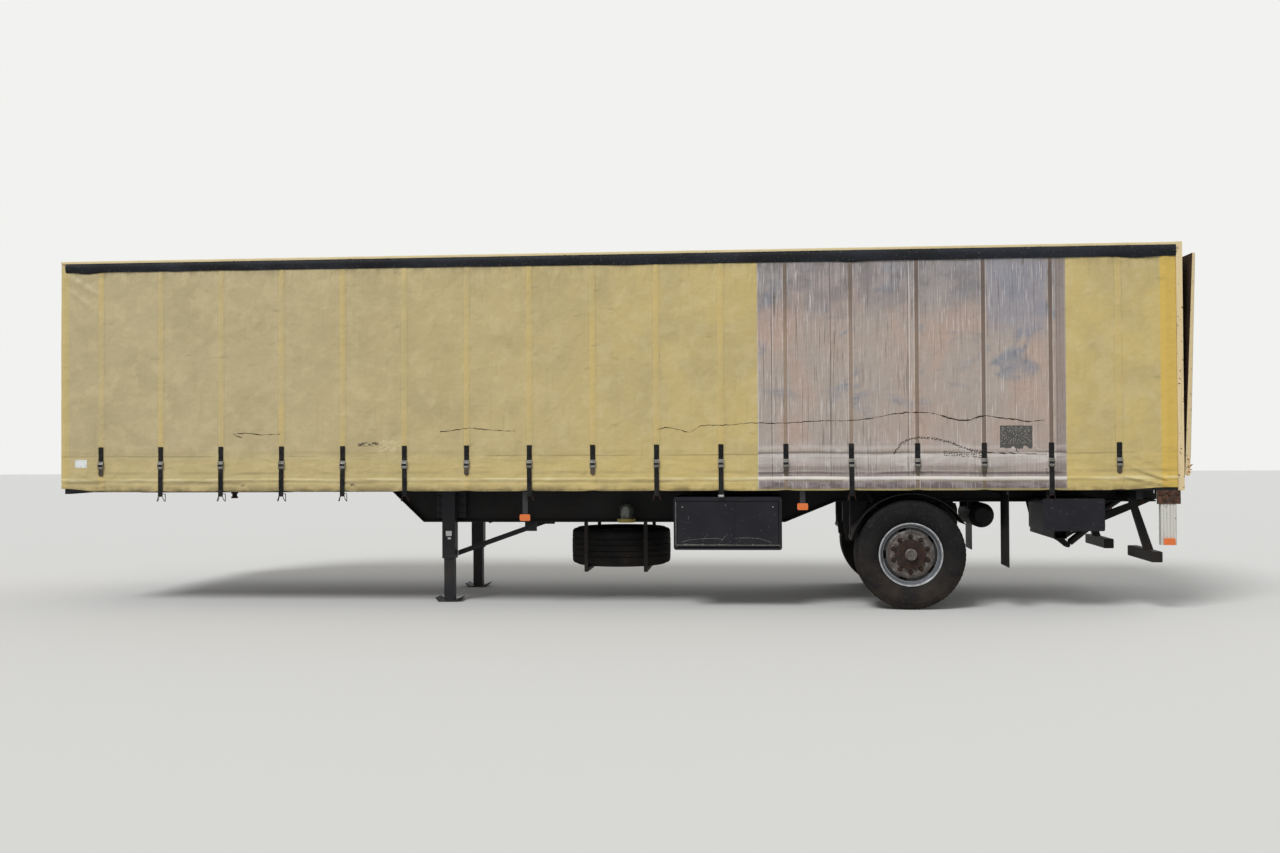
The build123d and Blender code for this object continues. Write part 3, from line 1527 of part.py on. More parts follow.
# Tail lift: the tube that hangs from the beams, with the clevises of the arms and cylinders
tube_x = rear_x - lift_tube_from_rear
tube_half = lift_tube / 2
tube_end = beam_offset + lift_tube_overhang
tube_bore = tube_half - lift_tube_wall
lift_lug_inner = lift_barrel_radius + swing_gap
tilt_lug_inner = tilt_barrel_radius + swing_gap
arm_lug_inner = lift_arm_width / 2 + swing_gap
with BuildPart() as lift_frame:
    slab(
        (tube_x - tube_half, tube_x + tube_half),
        (-tube_end, tube_end),
        (lift_tube_height - tube_half, lift_tube_height + tube_half),
    )
    slab(
        (tube_x - tube_bore, tube_x + tube_bore),
        (-tube_end, tube_end),
        (lift_tube_height - tube_bore, lift_tube_height + tube_bore),
        Mode.SUBTRACT,
    )
    hanger = [
        (tube_x - tube_half, lift_tube_height + tube_half),
        (tube_x + tube_half, lift_tube_height + tube_half),
        (tube_x + lift_tube, rear_bottom),
        (tube_x - lift_tube, rear_bottom),
    ]
    for side in (-1, 1):
        plate_xz(hanger, (side * beam_offset - lug_wall / 2, side * beam_offset + lug_wall / 2))
        middle_y = side * lift_arm_offset
        for inner in (middle_y - arm_lug_inner - lug_wall, middle_y + arm_lug_inner):
            link_xz(
                [(*lift_pivot, clevis_radius), (tube_x + clevis_root, lift_tube_height, clevis_root_radius)],
                (inner, inner + lug_wall),
            )
        pin_reach = arm_lug_inner + lug_wall
        round_y(*lift_pivot, lift_pin_radius, (middle_y - pin_reach, middle_y + pin_reach))
    for middle_y, base, lug_inner in (
        (cylinder_offset, tilt_base, tilt_lug_inner),
        (-cylinder_offset, lift_base, lift_lug_inner),
    ):
        root = (tube_x + clevis_root, lift_tube_height - tube_half + pivot_eye, pivot_eye)
        for inner in (middle_y - lug_inner - lug_wall, middle_y + lug_inner):
            link_xz([(*base, pivot_eye), root], (inner, inner + lug_wall))
        pin_reach = lug_inner + lug_wall
        round_y(*base, cylinder_pin_radius, (middle_y - pin_reach, middle_y + pin_reach))
lift_frame.part.label = "lift_frame"
export_step(lift_frame.part, "parts/lift_frame.step")

with BuildPart() as lift_arms:
    for side in (-1, 1):
        span = (
            side * lift_arm_offset - lift_arm_width / 2,
            side * lift_arm_offset + lift_arm_width / 2,
        )
        link_xz([(*lift_pivot, lift_arm_root_radius), (*knee, pivot_eye)], span)
        link_xz([(*knee, pivot_eye), (*platform_pivot, pivot_eye)], span)
    tie_half = lift_arm_offset + lift_arm_width / 2
    round_y(*tie_tube, tie_tube_radius, (-tie_half, tie_half))
    for inner in (-cylinder_offset - lift_lug_inner - lug_wall, -cylinder_offset + lift_lug_inner):
        link_xz([(*tie_tube, tie_tube_radius), (*lift_lug, pivot_eye)], (inner, inner + lug_wall))
    round_y(*lift_pivot, lift_pin_radius + fit_gap, (-tie_half, tie_half), Mode.SUBTRACT)
    round_y(*platform_pivot, pivot_shaft_radius + fit_gap, (-tie_half, tie_half), Mode.SUBTRACT)
lift_arms.part.label = "lift_arms"
export_step(lift_arms.part, "parts/lift_arms.step")

shaft_end = lift_arm_offset + lift_arm_width / 2 + ear_gap + ear_wall + shaft_overhang
with BuildPart() as pivot_shaft:
    round_y(*platform_pivot, pivot_shaft_radius, (-shaft_end, shaft_end))
pivot_shaft.part.label = "pivot_shaft"
export_step(pivot_shaft.part, "parts/pivot_shaft.step")

# Platform, closed: a wedge that leans back from the doorway, with ears on the pivot shaft
lean = radians(platform_lean)
along = (sin(lean), cos(lean))
across = (cos(lean), -sin(lean))
heel = (rear_x + platform_gap, floor_height + platform_step)


def on_platform(height, depth):
    """The X and Z of a place on the closed platform, up from its heel and back from its deck."""
    return (
        heel[0] + height * along[0] + depth * across[0],
        heel[1] + height * along[1] + depth * across[1],
    )


with BuildPart() as platform:
    wedge = [
        on_platform(0, 0),
        on_platform(0, platform_heel),
        on_platform(platform_length, platform_tip),
        on_platform(platform_length, 0),
    ]
    plate_xz(wedge, (-platform_half_width, platform_half_width))
    for side in (-1, 1):
        arm_middle = side * lift_arm_offset
        notch = lift_arm_width / 2 + swing_gap
        round_y(
            *platform_pivot,
            pivot_eye + 2 * swing_gap,
            (arm_middle - notch, arm_middle + notch),
            Mode.SUBTRACT,
        )
        for inner in (
            arm_middle - lift_arm_width / 2 - ear_gap - ear_wall,
            arm_middle + lift_arm_width / 2 + ear_gap,
        ):
            ear = [(*platform_pivot, pivot_eye), (*on_platform(ear_rise, platform_heel / 2), ear_root_radius)]
            link_xz(ear, (inner, inner + ear_wall))
    for inner in (cylinder_offset - tilt_lug_inner - lug_wall, cylinder_offset + tilt_lug_inner):
        lug = [
            (*platform_pivot, pivot_eye),
            (*tilt_lug, cylinder_eye_radius),
            (*on_platform(lug_rise, platform_heel / 2), ear_root_radius),
        ]
        link_xz(lug, (inner, inner + lug_wall))
    round_y(*platform_pivot, pivot_shaft_radius + fit_gap, (-shaft_end, shaft_end), Mode.SUBTRACT)
    round_y(*tilt_lug, rod_pin_radius, (0, cylinder_offset + tilt_lug_inner + lug_wall), Mode.SUBTRACT)
platform.part.label = "platform"
export_step(platform.part, "parts/platform.step")

# Cylinders: name, base, rod eye, side place, barrel radius and length, rod length, stroke
cylinder_table = (
    ("lift", lift_base, lift_lug, -cylinder_offset, lift_barrel_radius, lift_barrel_length,
     lift_rod_length, lift_stroke),
    ("tilt", tilt_base, tilt_lug, cylinder_offset, tilt_barrel_radius, tilt_barrel_length,
     tilt_rod_length, tilt_stroke),
)
for name, base, eye, middle_y, radius, barrel_length, rod_length, stroke in cylinder_table:
    length = hypot(eye[0] - base[0], eye[1] - base[1])
    run = ((eye[0] - base[0]) / length, (eye[1] - base[1]) / length)
    axis_plane = Plane(origin=(base[0], middle_y, base[1]), x_dir=(0, 1, 0), z_dir=(run[0], 0, run[1]))
    eye_span = (middle_y - radius, middle_y + radius)
    bore_start = length - rod_length - stroke - bore_reserve
    with BuildPart() as barrel:
        round_y(*base, cylinder_eye_radius, eye_span)
        with BuildSketch(axis_plane):
            Circle(rod_radius)
        extrude(amount=barrel_start)
        with BuildSketch(axis_plane.offset(barrel_start)):
            Circle(radius)
        extrude(amount=barrel_length - barrel_start)
        with BuildSketch(axis_plane.offset(bore_start)):
            Circle(rod_radius + fit_gap)
        extrude(amount=barrel_length - bore_start, mode=Mode.SUBTRACT)
        round_y(*base, cylinder_pin_radius + fit_gap, eye_span, Mode.SUBTRACT)
    barrel.part.label = f"{name}_barrel"
    export_step(barrel.part, f"parts/{name}_barrel.step")
    with BuildPart() as rod:
        with BuildSketch(axis_plane.offset(length - rod_length)):
            Circle(rod_radius)
        extrude(amount=rod_length - rod_pin_radius)
        round_y(*eye, cylinder_eye_radius, eye_span)
        round_y(*eye, rod_pin_radius, eye_span, Mode.SUBTRACT)
    rod.part.label = f"{name}_rod"
    export_step(rod.part, f"parts/{name}_rod.step")
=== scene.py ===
"""The looks of a parked curtain-sided semi trailer with a tail lift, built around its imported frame.

Metres. +X runs to the rear, -Y is the trailer's left side and Z = 0 is the ground. A station is a distance
behind the front face.
"""
import logging
import math
from dataclasses import dataclass, field
from enum import Enum
from functools import reduce

import bmesh
import bpy
import numpy as np
from bpy.types import Material, Node, NodeSocket, NodeTree, Object
from mathutils import Matrix, Vector, noise


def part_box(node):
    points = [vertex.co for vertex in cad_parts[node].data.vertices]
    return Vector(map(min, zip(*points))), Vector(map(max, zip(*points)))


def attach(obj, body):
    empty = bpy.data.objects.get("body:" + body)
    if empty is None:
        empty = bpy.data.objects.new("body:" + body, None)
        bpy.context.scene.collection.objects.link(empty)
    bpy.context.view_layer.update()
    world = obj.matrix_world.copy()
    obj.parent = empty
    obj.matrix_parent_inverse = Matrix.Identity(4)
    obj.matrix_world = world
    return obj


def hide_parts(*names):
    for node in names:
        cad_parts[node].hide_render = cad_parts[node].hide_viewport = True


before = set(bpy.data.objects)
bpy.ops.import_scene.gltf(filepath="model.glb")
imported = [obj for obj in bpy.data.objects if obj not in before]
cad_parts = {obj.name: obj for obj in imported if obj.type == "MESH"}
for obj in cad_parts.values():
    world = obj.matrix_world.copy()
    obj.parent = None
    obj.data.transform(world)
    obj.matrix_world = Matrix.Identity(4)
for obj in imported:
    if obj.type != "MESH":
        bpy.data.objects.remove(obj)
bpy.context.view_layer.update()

LOG = logging.getLogger("trailer")
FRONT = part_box("roof_tarp")[0].x
STRAP_FIRST = 0.414
STRAP_PITCH = 0.61
STRAP_COUNT = 17
STATIONS = [STRAP_FIRST + STRAP_PITCH * step for step in range(STRAP_COUNT)]
PICTURE_START = 6.86
PICTURE_END = 9.703
REAR_POCKET = 10.545
Point = tuple[float, float, float]
Value = float | int | str | bool | tuple | NodeSocket
Pair = tuple[Point, Point]
Mask = NodeSocket | tuple | float
EVEN: Point = (1, 1, 1)
UP: Point = (0, 0, 1)
ROOF_BAYS = 11
# The closed platform leans back from its heel
LEAN = math.radians(2.4)
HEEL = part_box("rear_frame")[1].x + 0.005
HEEL_HEIGHT = 1.252


class Side(Enum):
    """A side of the trailer, as the sign of its Y."""

    LEFT = -1
    RIGHT = 1


class Axis(Enum):
    """An axis of the frame, by its place in a point."""

    X = 0
    Y = 1
    Z = 2


def linear(colour: str) -> tuple[float, float, float, float]:
    """Turns an sRGB hex colour into linear red, green and blue with a full alpha."""
    channels = [int(colour[place:place + 2], 16) / 255 for place in (1, 3, 5)]
    return (*[c / 12.92 if c <= 0.04045 else ((c + 0.055) / 1.055) ** 2.4 for c in channels], 1.0)


def add_node(tree: NodeTree, kind: str, inputs: dict[str | int, Value] | None = None, **settings: Value) -> Node:
    """Adds one node with its settings and links.

    Args:
        tree: the tree that takes it.
        kind: its type's name.
        inputs: what each socket takes, by its name or number: a value, or another node's output.
        settings: its own properties.

    Returns:
        The new node.
    """
    node = tree.nodes.new(kind)
    for name, value in settings.items():
        setattr(node, name, value)
    for key, value in (inputs or {}).items():
        if isinstance(value, NodeSocket):
            tree.links.new(value, node.inputs[key])
        else:
            node.inputs[key].default_value = value
    return node


class Coat:
    """One material, built up layer by layer on Object coordinates.

    A layer covers what its mask does: an output between 0 and 1, a number, or a row of numbers for patches().
    """

    def __init__(self, name: str, colour: str, roughness: float, metallic: float = 0.0) -> None:
        """Starts a plain material.

        Args:
            name: the material's name.
            colour: its sRGB hex colour.
            roughness: from 0, a mirror, to 1, chalk.
            metallic: 1 for bare metal, else 0.
        """
        self.material = bpy.data.materials.new(name)
        self.material.use_nodes = True
        self.tree = self.material.node_tree
        self.shader = self.tree.nodes["Principled BSDF"]
        for socket, value in (("Metallic", metallic), ("Roughness", roughness), ("Base Color", linear(colour))):
            self.shader.inputs[socket].default_value = value
        self.roughness: Value = roughness
        self.colour: Value = linear(colour)
        self.height: NodeSocket | None = None
        self.coords = add_node(self.tree, "ShaderNodeTexCoord").outputs["Object"]
        self.place = add_node(self.tree, "ShaderNodeSeparateXYZ", {"Vector": self.coords}).outputs
        self.x, self.y, self.z = self.place

    def calc(self, operation: str, *values: Value) -> NodeSocket:
        """A Math node's result on numbers or outputs."""
        return add_node(self.tree, "ShaderNodeMath", dict(enumerate(values)), operation=operation).outputs[0]

    def step(self, value: Value, low: float, high: float) -> NodeSocket:
        """A smooth step of a value.

        Args:
            value: what is tested.
            low: where the mask is 0.
            high: where it is 1, above or below low.

        Returns:
            The mask.
        """
        ramp = {"Value": value, "From Min": min(low, high), "From Max": max(low, high)}
        if high < low:
            ramp |= {"To Min": 1.0, "To Max": 0.0}
        return add_node(self.tree, "ShaderNodeMapRange", ramp, interpolation_type="SMOOTHSTEP").outputs[0]

    def patches(self, size: float, low: float, high: float, seed: int = 0, stretch: Point = EVEN,
                detail: float = 4.0, warp: float = 0.0) -> NodeSocket:
        """Cloudy patches, which a stretch turns into streaks.

        Args:
            size: a patch's width in metres.
            low: the share of the noise where the mask starts.
            high: the share where it is full.
            seed: which patches they are.
            stretch: how many times longer a patch is along each axis.
            detail: how many finer octaves they have.
            warp: how far their edges wander.

        Returns:
            The mask.
        """
        scale = tuple(1 / (size * along) for along in stretch)
        place = {"Vector": self.coords, "Location": (seed * 7.3, seed * 3.1, seed * 5.7), "Scale": scale}
        mapped = add_node(self.tree, "ShaderNodeMapping", place).outputs[0]
        cloud = {"Vector": mapped, "Scale": 1.0, "Detail": detail, "Distortion": warp}
        return self.step(add_node(self.tree, "ShaderNodeTexNoise", cloud).outputs[0], low, high)

    def mask(self, given: Mask) -> Value:
        """A mask as an output or a number."""
        return self.patches(*given) if isinstance(given, tuple) else given

    def both(self, *masks: Mask) -> Value:
        """Where all masks hold."""
        return reduce(lambda one, other: self.calc("MULTIPLY", one, self.mask(other)), masks[1:], self.mask(masks[0]))

    def span(self, axis: Axis, low: float, high: float, soft: float) -> NodeSocket:
        """Where a place along an axis is between two others, with soft edges of a given width."""
        value = self.place[axis.value]
        return self.both(self.step(value, low, low + soft), self.step(value, high, high - soft))

    def near(self, value: NodeSocket, level: float, half: float, core: float) -> NodeSocket:
        """Where a value is within half of a level, and fully where it is within core."""
        return self.step(self.calc("ABSOLUTE", self.calc("SUBTRACT", value, level)), half, core)

    def webs(self, half: float, soft: float, shift: float = 0.0) -> NodeSocket:
        """Upright lines at the straps, or a shift behind each: their half width and the width of their edges."""
        behind = self.calc("SUBTRACT", self.x, FRONT + STRAP_FIRST + shift)
        return self.step(self.calc("PINGPONG", behind, STRAP_PITCH / 2), half + soft, half)

    def ribs(self, axis: Axis, pitch: float) -> NodeSocket:
        """Waves along an axis, from -1 to 1."""
        return self.calc("SINE", self.calc("MULTIPLY", self.place[axis.value], math.tau / pitch))

    def tint(self, mask: Mask, colour: str, share: float = 1.0) -> None:
        """Gives what a mask covers a share of an sRGB hex colour."""
        mix = {0: self.calc("MULTIPLY", self.mask(mask), share), 6: self.colour, 7: linear(colour)}
        self.colour = add_node(self.tree, "ShaderNodeMix", mix, data_type="RGBA").outputs[2]

    def tints(self, *layers: tuple) -> None:
        """Tints layer by layer, each a mask, a colour and a share."""
        for layer in layers:
            self.tint(*layer)

    def roughen(self, mask: Mask, roughness: float) -> None:
        """Gives what a mask covers another roughness."""
        mix = {0: self.mask(mask), 2: self.roughness, 3: roughness}
        self.roughness = add_node(self.tree, "ShaderNodeMix", mix, data_type="FLOAT").outputs[0]

    def emboss(self, mask: Mask, height: float) -> None:
        """Raises what a mask covers, in metres, or sinks it."""
        raised = self.calc("MULTIPLY", self.mask(mask), height)
        self.height = raised if self.height is None else self.calc("ADD", self.height, raised)

    def grime(self, colour: str, top: float, share: float) -> None:
        """Road dirt that thins out upwards and lies in patches.

        Args:
            colour: the dirt's colour.
            top: the height above the ground where it ends.
            share: how strongly it covers.
        """
        mask = self.both(self.step(self.z, top, 0.0), (0.22, 0.3, 0.72, 3))
        self.tint(mask, colour, share)
        self.roughen(self.calc("MULTIPLY", mask, share), 0.92)

    def rust(self, share: float, size: float, seed: int = 5) -> None:
        """Rust that breaks through in spots: a brown rim with an orange middle.

        Args:
            share: how much of the surface rusts, from 0 to 1.
            size: a spot's width in metres.
            seed: which spots.
        """
        edge = 0.72 - 0.42 * share
        rim = self.patches(size, edge, edge + 0.05, seed, EVEN, 6.0, 0.4)
        self.tints((rim, "#4A2C1C", 0.9), ((size, edge + 0.05, edge + 0.14, seed, EVEN, 6.0, 0.4), "#8A4A22", 0.8))
        self.roughen(rim, 0.9)
        self.emboss(rim, 0.0006)

    def finish(self, strength: float, sockets: dict[str, Value]) -> Material:
        """Links the layers to the shader.

        Args:
            strength: how strongly the relief shows.
            sockets: the shader's own plain values.

        Returns:
            The material.
        """
        for name, value in sockets.items():
            self.shader.inputs[name].default_value = value
        for name, value in (("Base Color", self.colour), ("Roughness", self.roughness)):
            if isinstance(value, NodeSocket):
                self.tree.links.new(value, self.shader.inputs[name])
        if self.height is not None:
            bump = {"Strength": strength, "Distance": 1.0, "Height": self.height}
            self.tree.links.new(add_node(self.tree, "ShaderNodeBump", bump).outputs[0], self.shader.inputs["Normal"])
        return self.material


@dataclass(frozen=True)
class Finish:
    """What every finish shares: its name, its ground colour and the rows of its layers.

    A tint is a mask, a colour and a share, rust and dirt take what Coat.rust and Coat.grime do, a dull spot is a mask
    and a roughness, and a relief is a mask and a height. A field's name in a row stands for its value.
    """

    name: str
    colour: str

    roughness = 0.5
    metallic = 0.0
    strength = 0.6
    tints = ()
    rusted = ()
    dirty = ()
    dull = ()
    relief = ()
    sockets = {}

    def own(self, row: tuple) -> list:
        """A row with the finish's own values in place of their names."""
        return [getattr(self, value, value) if isinstance(value, str) else value for value in row]

    def extra(self, coat: Coat) -> None:
        """Lays what rows can't describe: by default, nothing."""

    def material(self) -> Material:
        """Makes the finish's material.

        Returns:
            The material.
        """
        coat = Coat(self.name, self.colour, self.roughness, self.metallic)
        layers = ((coat.tint, self.tints), (coat.rust, self.rusted), (coat.grime, self.dirty),
                  (coat.roughen, self.dull), (coat.emboss, self.relief))
        for lay, rows in layers:
            for row in rows:
                lay(*self.own(row))
        self.extra(coat)
        return coat.finish(self.strength, dict(zip(self.sockets, self.own(tuple(self.sockets.values())))))


@dataclass(frozen=True)
class ChassisEnamel(Finish):
    """Enamel brushed over rolled steel: a dull film with brush marks, chips down to rust, and road dirt."""

    roughness: float = 0.55
    rust: float = 0.1
    dirt: float = 0.4
    dirt_top: float = 1.25

    # Enamel fades unevenly, in clouds about 0.3 m wide
    tints = (((0.3, 0.35, 0.75, 1), "#2C2C2D", 0.35),)
    rusted = (("rust", 0.05),)
    dirty = (("#4A4037", "dirt_top", "dirt"),)
    # Orange peel of about 6 mm, drawn at twice its size so that it shows
    relief = (((0.012, 0.3, 0.7, 2, EVEN, 2.0), 0.0003),)
    sockets = {"Specular IOR Level": 0.18}


@dataclass(frozen=True)
class BodyEnamel(Finish):
    """Pale coach enamel on the body's frame: chalked by the sun, with rust runs below its joints."""

    roughness = 0.42
    # Rain leaves grey runs about 15 mm wide and half a metre long
    tints = (((0.5, 0.35, 0.75, 1), "#DCC9A0", 0.4), ((0.015, 0.52, 0.72, 2, (1, 1, 30)), "#8B8268", 0.45))
    rusted = ((0.22, 0.035),)
    dirty = (("#6B5B46", 1.6, 0.5),)
    relief = (((0.01, 0.3, 0.7, 4, EVEN, 2.0), 0.0002),)


@dataclass(frozen=True)
class CoatedCloth(Finish):
    """PVC-coated polyester curtain: a satin film, faded and dirty, with webbing welded inside at each strap, and
    light and shade painted into its folds and under the rain flap.

    The fields are sRGB colours: the front and rear cloth, its webbing, and the printed panel's washed-out inks.
    """

    name: str = "coated_curtain_cloth"
    colour: str = "#B2A47E"
    rear: str = "#BFAB70"
    webbing: str = "#C3AC6C"
    pocket: str = "#C9A94E"
    panel: str = "#A3978E"
    panel_warm: str = "#AC9487"
    panel_cold: str = "#7F828B"
    panel_web: str = "#8A7663"

    strength = 0.8
    sockets = {"Sheen Weight": 0.05, "Specular IOR Level": 0.35}
    # Crumples run every way, sharp on one side, down to about 40 mm
    relief = (((0.05, 0.3, 0.7, 23, EVEN, 2.0, 0.15), 0.0014), ((0.19, 0.42, 0.58, 26, EVEN, 2.0, 0.15), 0.002),
              ((0.11, 0.46, 0.6, 27, EVEN, 2.0, 0.15), 0.001), ((0.34, 0.38, 0.62, 28, EVEN, 2.0, 0.15), 0.0034))
    # Scuffs: first and last station, foot and head, colour and share
    scuffs = ((3.2, 3.45, 1.5, 1.62, "#CBBF94", 0.55), (2.99, 3.22, 1.552, 1.602, "#3A332A", 0.9),
              (2.92, 2.99, 1.168, 1.202, "#3A332A", 0.9), (1.82, 1.88, 1.166, 1.192, "#3A332A", 0.9))
    # The panel's upright seams and splits: station, half width and colour
    panel_seams = ((6.868, 0.003, "#C9C4BF"), (6.996, 0.003, "#4E4642"), (7.006, 0.002, "#C4BEB9"),
                   (7.545, 0.003, "#514946"), (7.572, 0.002, "#6B625E"), (8.262, 0.003, "#544B48"),
                   (8.276, 0.003, "#D0CBC7"), (9.62, 0.004, "#5E5350"), (9.648, 0.003, "#4A4140"),
                   (9.692, 0.003, "#CFCAC6"))
    # Painted shade in the folds along the foot: height, half width, colour and share
    fold_shades = ((1.464, 0.005, "#5F553B", 0.38), (1.5, 0.014, "#8A7E5E", 0.2), (1.206, 0.011, "#6B6043", 0.5),
             (1.3, 0.01, "#7B6F50", 0.28), (1.128, 0.009, "#75653A", 0.55))
    # Painted highlights and painted shades of the panel's own folds below its lap, from the highest down
    panel_fold_highlights_and_shades = ((1.522, 0.014, "#C0B9B4", 0.4), (1.476, 0.007, "#4F4644", 0.6), (1.45, 0.013, "#C8C1BD", 0.5),
                   (1.398, 0.02, "#BDB6B2", 0.35), (1.326, 0.016, "#6C6260", 0.45), (1.284, 0.008, "#463D3D", 0.7))

    def cloth(self, coat: Coat) -> None:
        """The plain yellow cloth: fading, stains, webbing and the stronger colour at both ends.

        Args:
            coat: the cloth's coat.
        """
        coat.tints(
            (coat.step(coat.x, FRONT + 1.0, FRONT + 8.0), self.rear),
            ((0.5, 0.38, 0.72, 1, EVEN, 4.0, 0.8), "#A2956F", 0.45),
            ((0.13, 0.44, 0.7, 2, EVEN, 4.0, 0.3), "#CBBD92", 0.28),
            # Rain and dust leave upright streaks about 30 mm wide
            ((0.03, 0.55, 0.78, 3, (1, 1, 14)), "#93875F", 0.22),
            (coat.step(coat.z, 1.56, 1.36), "#C9B266", 0.28),
            (coat.both(coat.webs(0.024, 0.008), (0.3, 0.25, 0.65, 5, (1, 1, 2))), self.webbing, 0.65),
            (coat.both(coat.webs(0.001, 0.004, 0.033), (0.2, 0.4, 0.6, 7)), "#8E7F55", 0.35),
            (coat.both(coat.webs(0.001, 0.004, -0.033), (0.2, 0.4, 0.6, 7)), "#8E7F55", 0.35),
            (coat.span(Axis.X, FRONT, FRONT + 0.085, 0.006), "#C2AE6B", 0.6),
            (coat.span(Axis.X, FRONT + REAR_POCKET, FRONT + 10.7, 0.008), self.pocket, 0.85),
            ((0.07, 0.64, 0.8, 4, (2.5, 1, 1)), "#6E6448", 0.35),
        )
        for first, last, foot, head, colour, share in self.scuffs:
            across = coat.span(Axis.X, FRONT + first, FRONT + last, 0.02)
            mask = coat.both(across, coat.span(Axis.Z, foot, head, 0.012), (0.016, 0.46, 0.52, 8, (2.2, 1, 1)))
            coat.tint(mask, colour, share)

    def picture(self, coat: Coat, where: NodeSocket) -> None:
        """The printed panel, weathered until only clouds of its inks are left, with painted highlights and shadows on
        the folds near its foot.

        Args:
            coat: the cloth's coat.
            where: the panel's mask.
        """
        cold = coat.patches(0.42, 0.54, 0.7, 12, (1.2, 1, 0.8), 4.0, 1.2)
        webs = coat.webs(0.015, 0.005)
        rims = coat.calc("SUBTRACT", 1.0, coat.webs(0.019, 0.003))
        # The lacquer has crazed into upright hairs about 4 mm wide, drawn at twice that, most of them in fields
        crazed = coat.patches(0.34, 0.4, 0.58, 31, (0.7, 1, 1.6), 4.0, 0.5)
        pale, dark = (0.0085, 0.55, 0.68, 13, (1, 1, 30), 3.0), (0.01, 0.57, 0.7, 14, (1, 1, 44), 3.0)
        layers = (
            ((), self.panel, 1.0),
            (((0.55, 0.42, 0.66, 11, (1, 1, 1.7), 4.0, 0.6),), self.panel_warm, 0.8),
            ((cold, coat.step(coat.z, 1.6, 2.3)), self.panel_cold, 0.8),
            (((0.1, 0.52, 0.66, 17, EVEN, 4.0, 1.4), cold), "#6F727B", 0.55),
            ((coat.step(coat.z, 2.55, 3.3),), "#83838A", 0.65),
            ((coat.step(coat.z, 1.75, 1.4),), "#A39A96", 0.6),
            ((coat.step(coat.z, 1.62, 1.46), (0.16, 0.5, 0.62, 15, (1.4, 1, 1), 4.0, 1.0)), "#C2BCB6", 0.6),
            # Painted highlight on a fold between 1.385 and 1.475 m
            ((coat.span(Axis.Z, 1.385, 1.475, 0.035), (0.25, 0.35, 0.6, 18, (2, 1, 1))), "#C6C0BC", 0.55),
            # Painted shade above the pale ridge, and below it down to the hem
            ((coat.span(Axis.Z, 1.244, 1.29, 0.015),), "#7C7072", 0.55),
            ((coat.step(coat.z, 1.218, 1.196),), "#7A6E75", 0.75),
            ((coat.step(coat.z, 1.215, 1.19), (0.06, 0.46, 0.6, 33, (2.5, 1, 1))), "#4D4346", 0.55),
            ((coat.step(coat.z, 2.6, 3.1), (0.24, 0.42, 0.6, 32, (1, 1, 0.8))), "#6C6A6D", 0.5),
            ((coat.span(Axis.X, FRONT + 8.98, FRONT + 9.53, 0.02), coat.step(coat.z, 2.45, 2.75)), "#8B8A94", 0.65),
            ((pale,), "#CFC9C5", 0.32), ((pale, crazed), "#CFC9C5", 0.46),
            ((dark,), "#574E4B", 0.32), ((dark, crazed), "#574E4B", 0.46),
            ((webs,), self.panel_web, 0.75),
            ((webs, coat.step(coat.x, FRONT + 7.4, FRONT + 9.1)), "#554640", 0.6),
            ((webs, coat.step(coat.z, 2.5, 3.1)), "#544B47", 0.55),
            ((coat.webs(0.025, 0.003), rims, (0.09, 0.44, 0.56, 19, (1, 1, 4))), "#CDC7C3", 0.5),
        )
        for masks, colour, share in layers:
            coat.tint(coat.both(where, *masks), colour, share)
        for station, half, colour in self.panel_seams:
            line = coat.span(Axis.X, FRONT + station - half - 0.002, FRONT + station + half + 0.002, 0.003)
            coat.tint(coat.both(line, (0.12, 0.34, 0.54, int(station * 30), (1, 1, 5))), colour, 0.8)
        rubs = (coat.webs(0.03, 0.05), coat.span(Axis.Z, 1.22, 1.34, 0.04), (0.012, 0.5, 0.58, 16, (3, 1, 1)))
        coat.tint(coat.both(where, *rubs), "#3F3936", 0.7)
        coat.tint(coat.span(Axis.X, FRONT + PICTURE_END - 0.1, FRONT + PICTURE_END, 0.01), "#857872", 0.7)

    def foot(self, coat: Coat, where: NodeSocket) -> None:
        """Painted shadows in the folds along the curtain's foot, a painted highlight along their pale ridge, the dirt
        on its hem, and a painted shadow under the rain flap along its head.

        Args:
            coat: the cloth's coat.
            where: the printed panel's mask.
        """
        drift = coat.calc("MULTIPLY", coat.patches(0.4, 0.2, 0.8, 24, (2, 1, 1)), 0.014)
        height = coat.calc("ADD", coat.calc("SUBTRACT", coat.z, drift), 0.007)
        # Painted shade along each fold, and on the panel painted highlights too
        for area, low, lines in ((1.0, 0.42, self.fold_shades), (where, 0.3, self.panel_fold_highlights_and_shades)):
            for level, half, colour, share in lines:
                broken = (0.2, low, low + 0.18, int(level * 50), (3, 1, 1))
                crease = coat.near(height, level, half * 2, half * 0.6)
                coat.tint(coat.both(crease, broken, area), colour, share)
        # Painted highlight along the pale ridge at 1.233 m, whiter on the panel
        bright = coat.near(height, 1.233, 0.024, 0.006)
        coat.tints(
            (coat.both(bright, (0.12, 0.34, 0.62, 25, (3, 1, 1))), "#D8CDA2", 0.55),
            (coat.both(bright, where), "#DDD8D5", 0.8),
            (coat.both(coat.step(coat.z, 1.2, 1.118), (0.12, 0.3, 0.65, 21)), "#54472F", 0.7),
            (coat.both(where, coat.step(coat.z, 1.142, 1.132)), "#A2975F", 0.7),
            # Painted shadow under the rain flap, darker towards the curtain's head
            (coat.both(coat.step(coat.z, 3.18, 3.32), (0.12, 0.4, 0.65, 22, (1, 1, 2))), "#665D45", 0.55),
        )

    def extra(self, coat: Coat) -> None:
        """Lays the cloth, its panel and its foot.

        Args:
            coat: the cloth's coat.
        """
        where = coat.span(Axis.X, FRONT + PICTURE_START, FRONT + PICTURE_END, 0.006)
        self.cloth(coat)
        self.picture(coat, where)
        self.foot(coat, where)
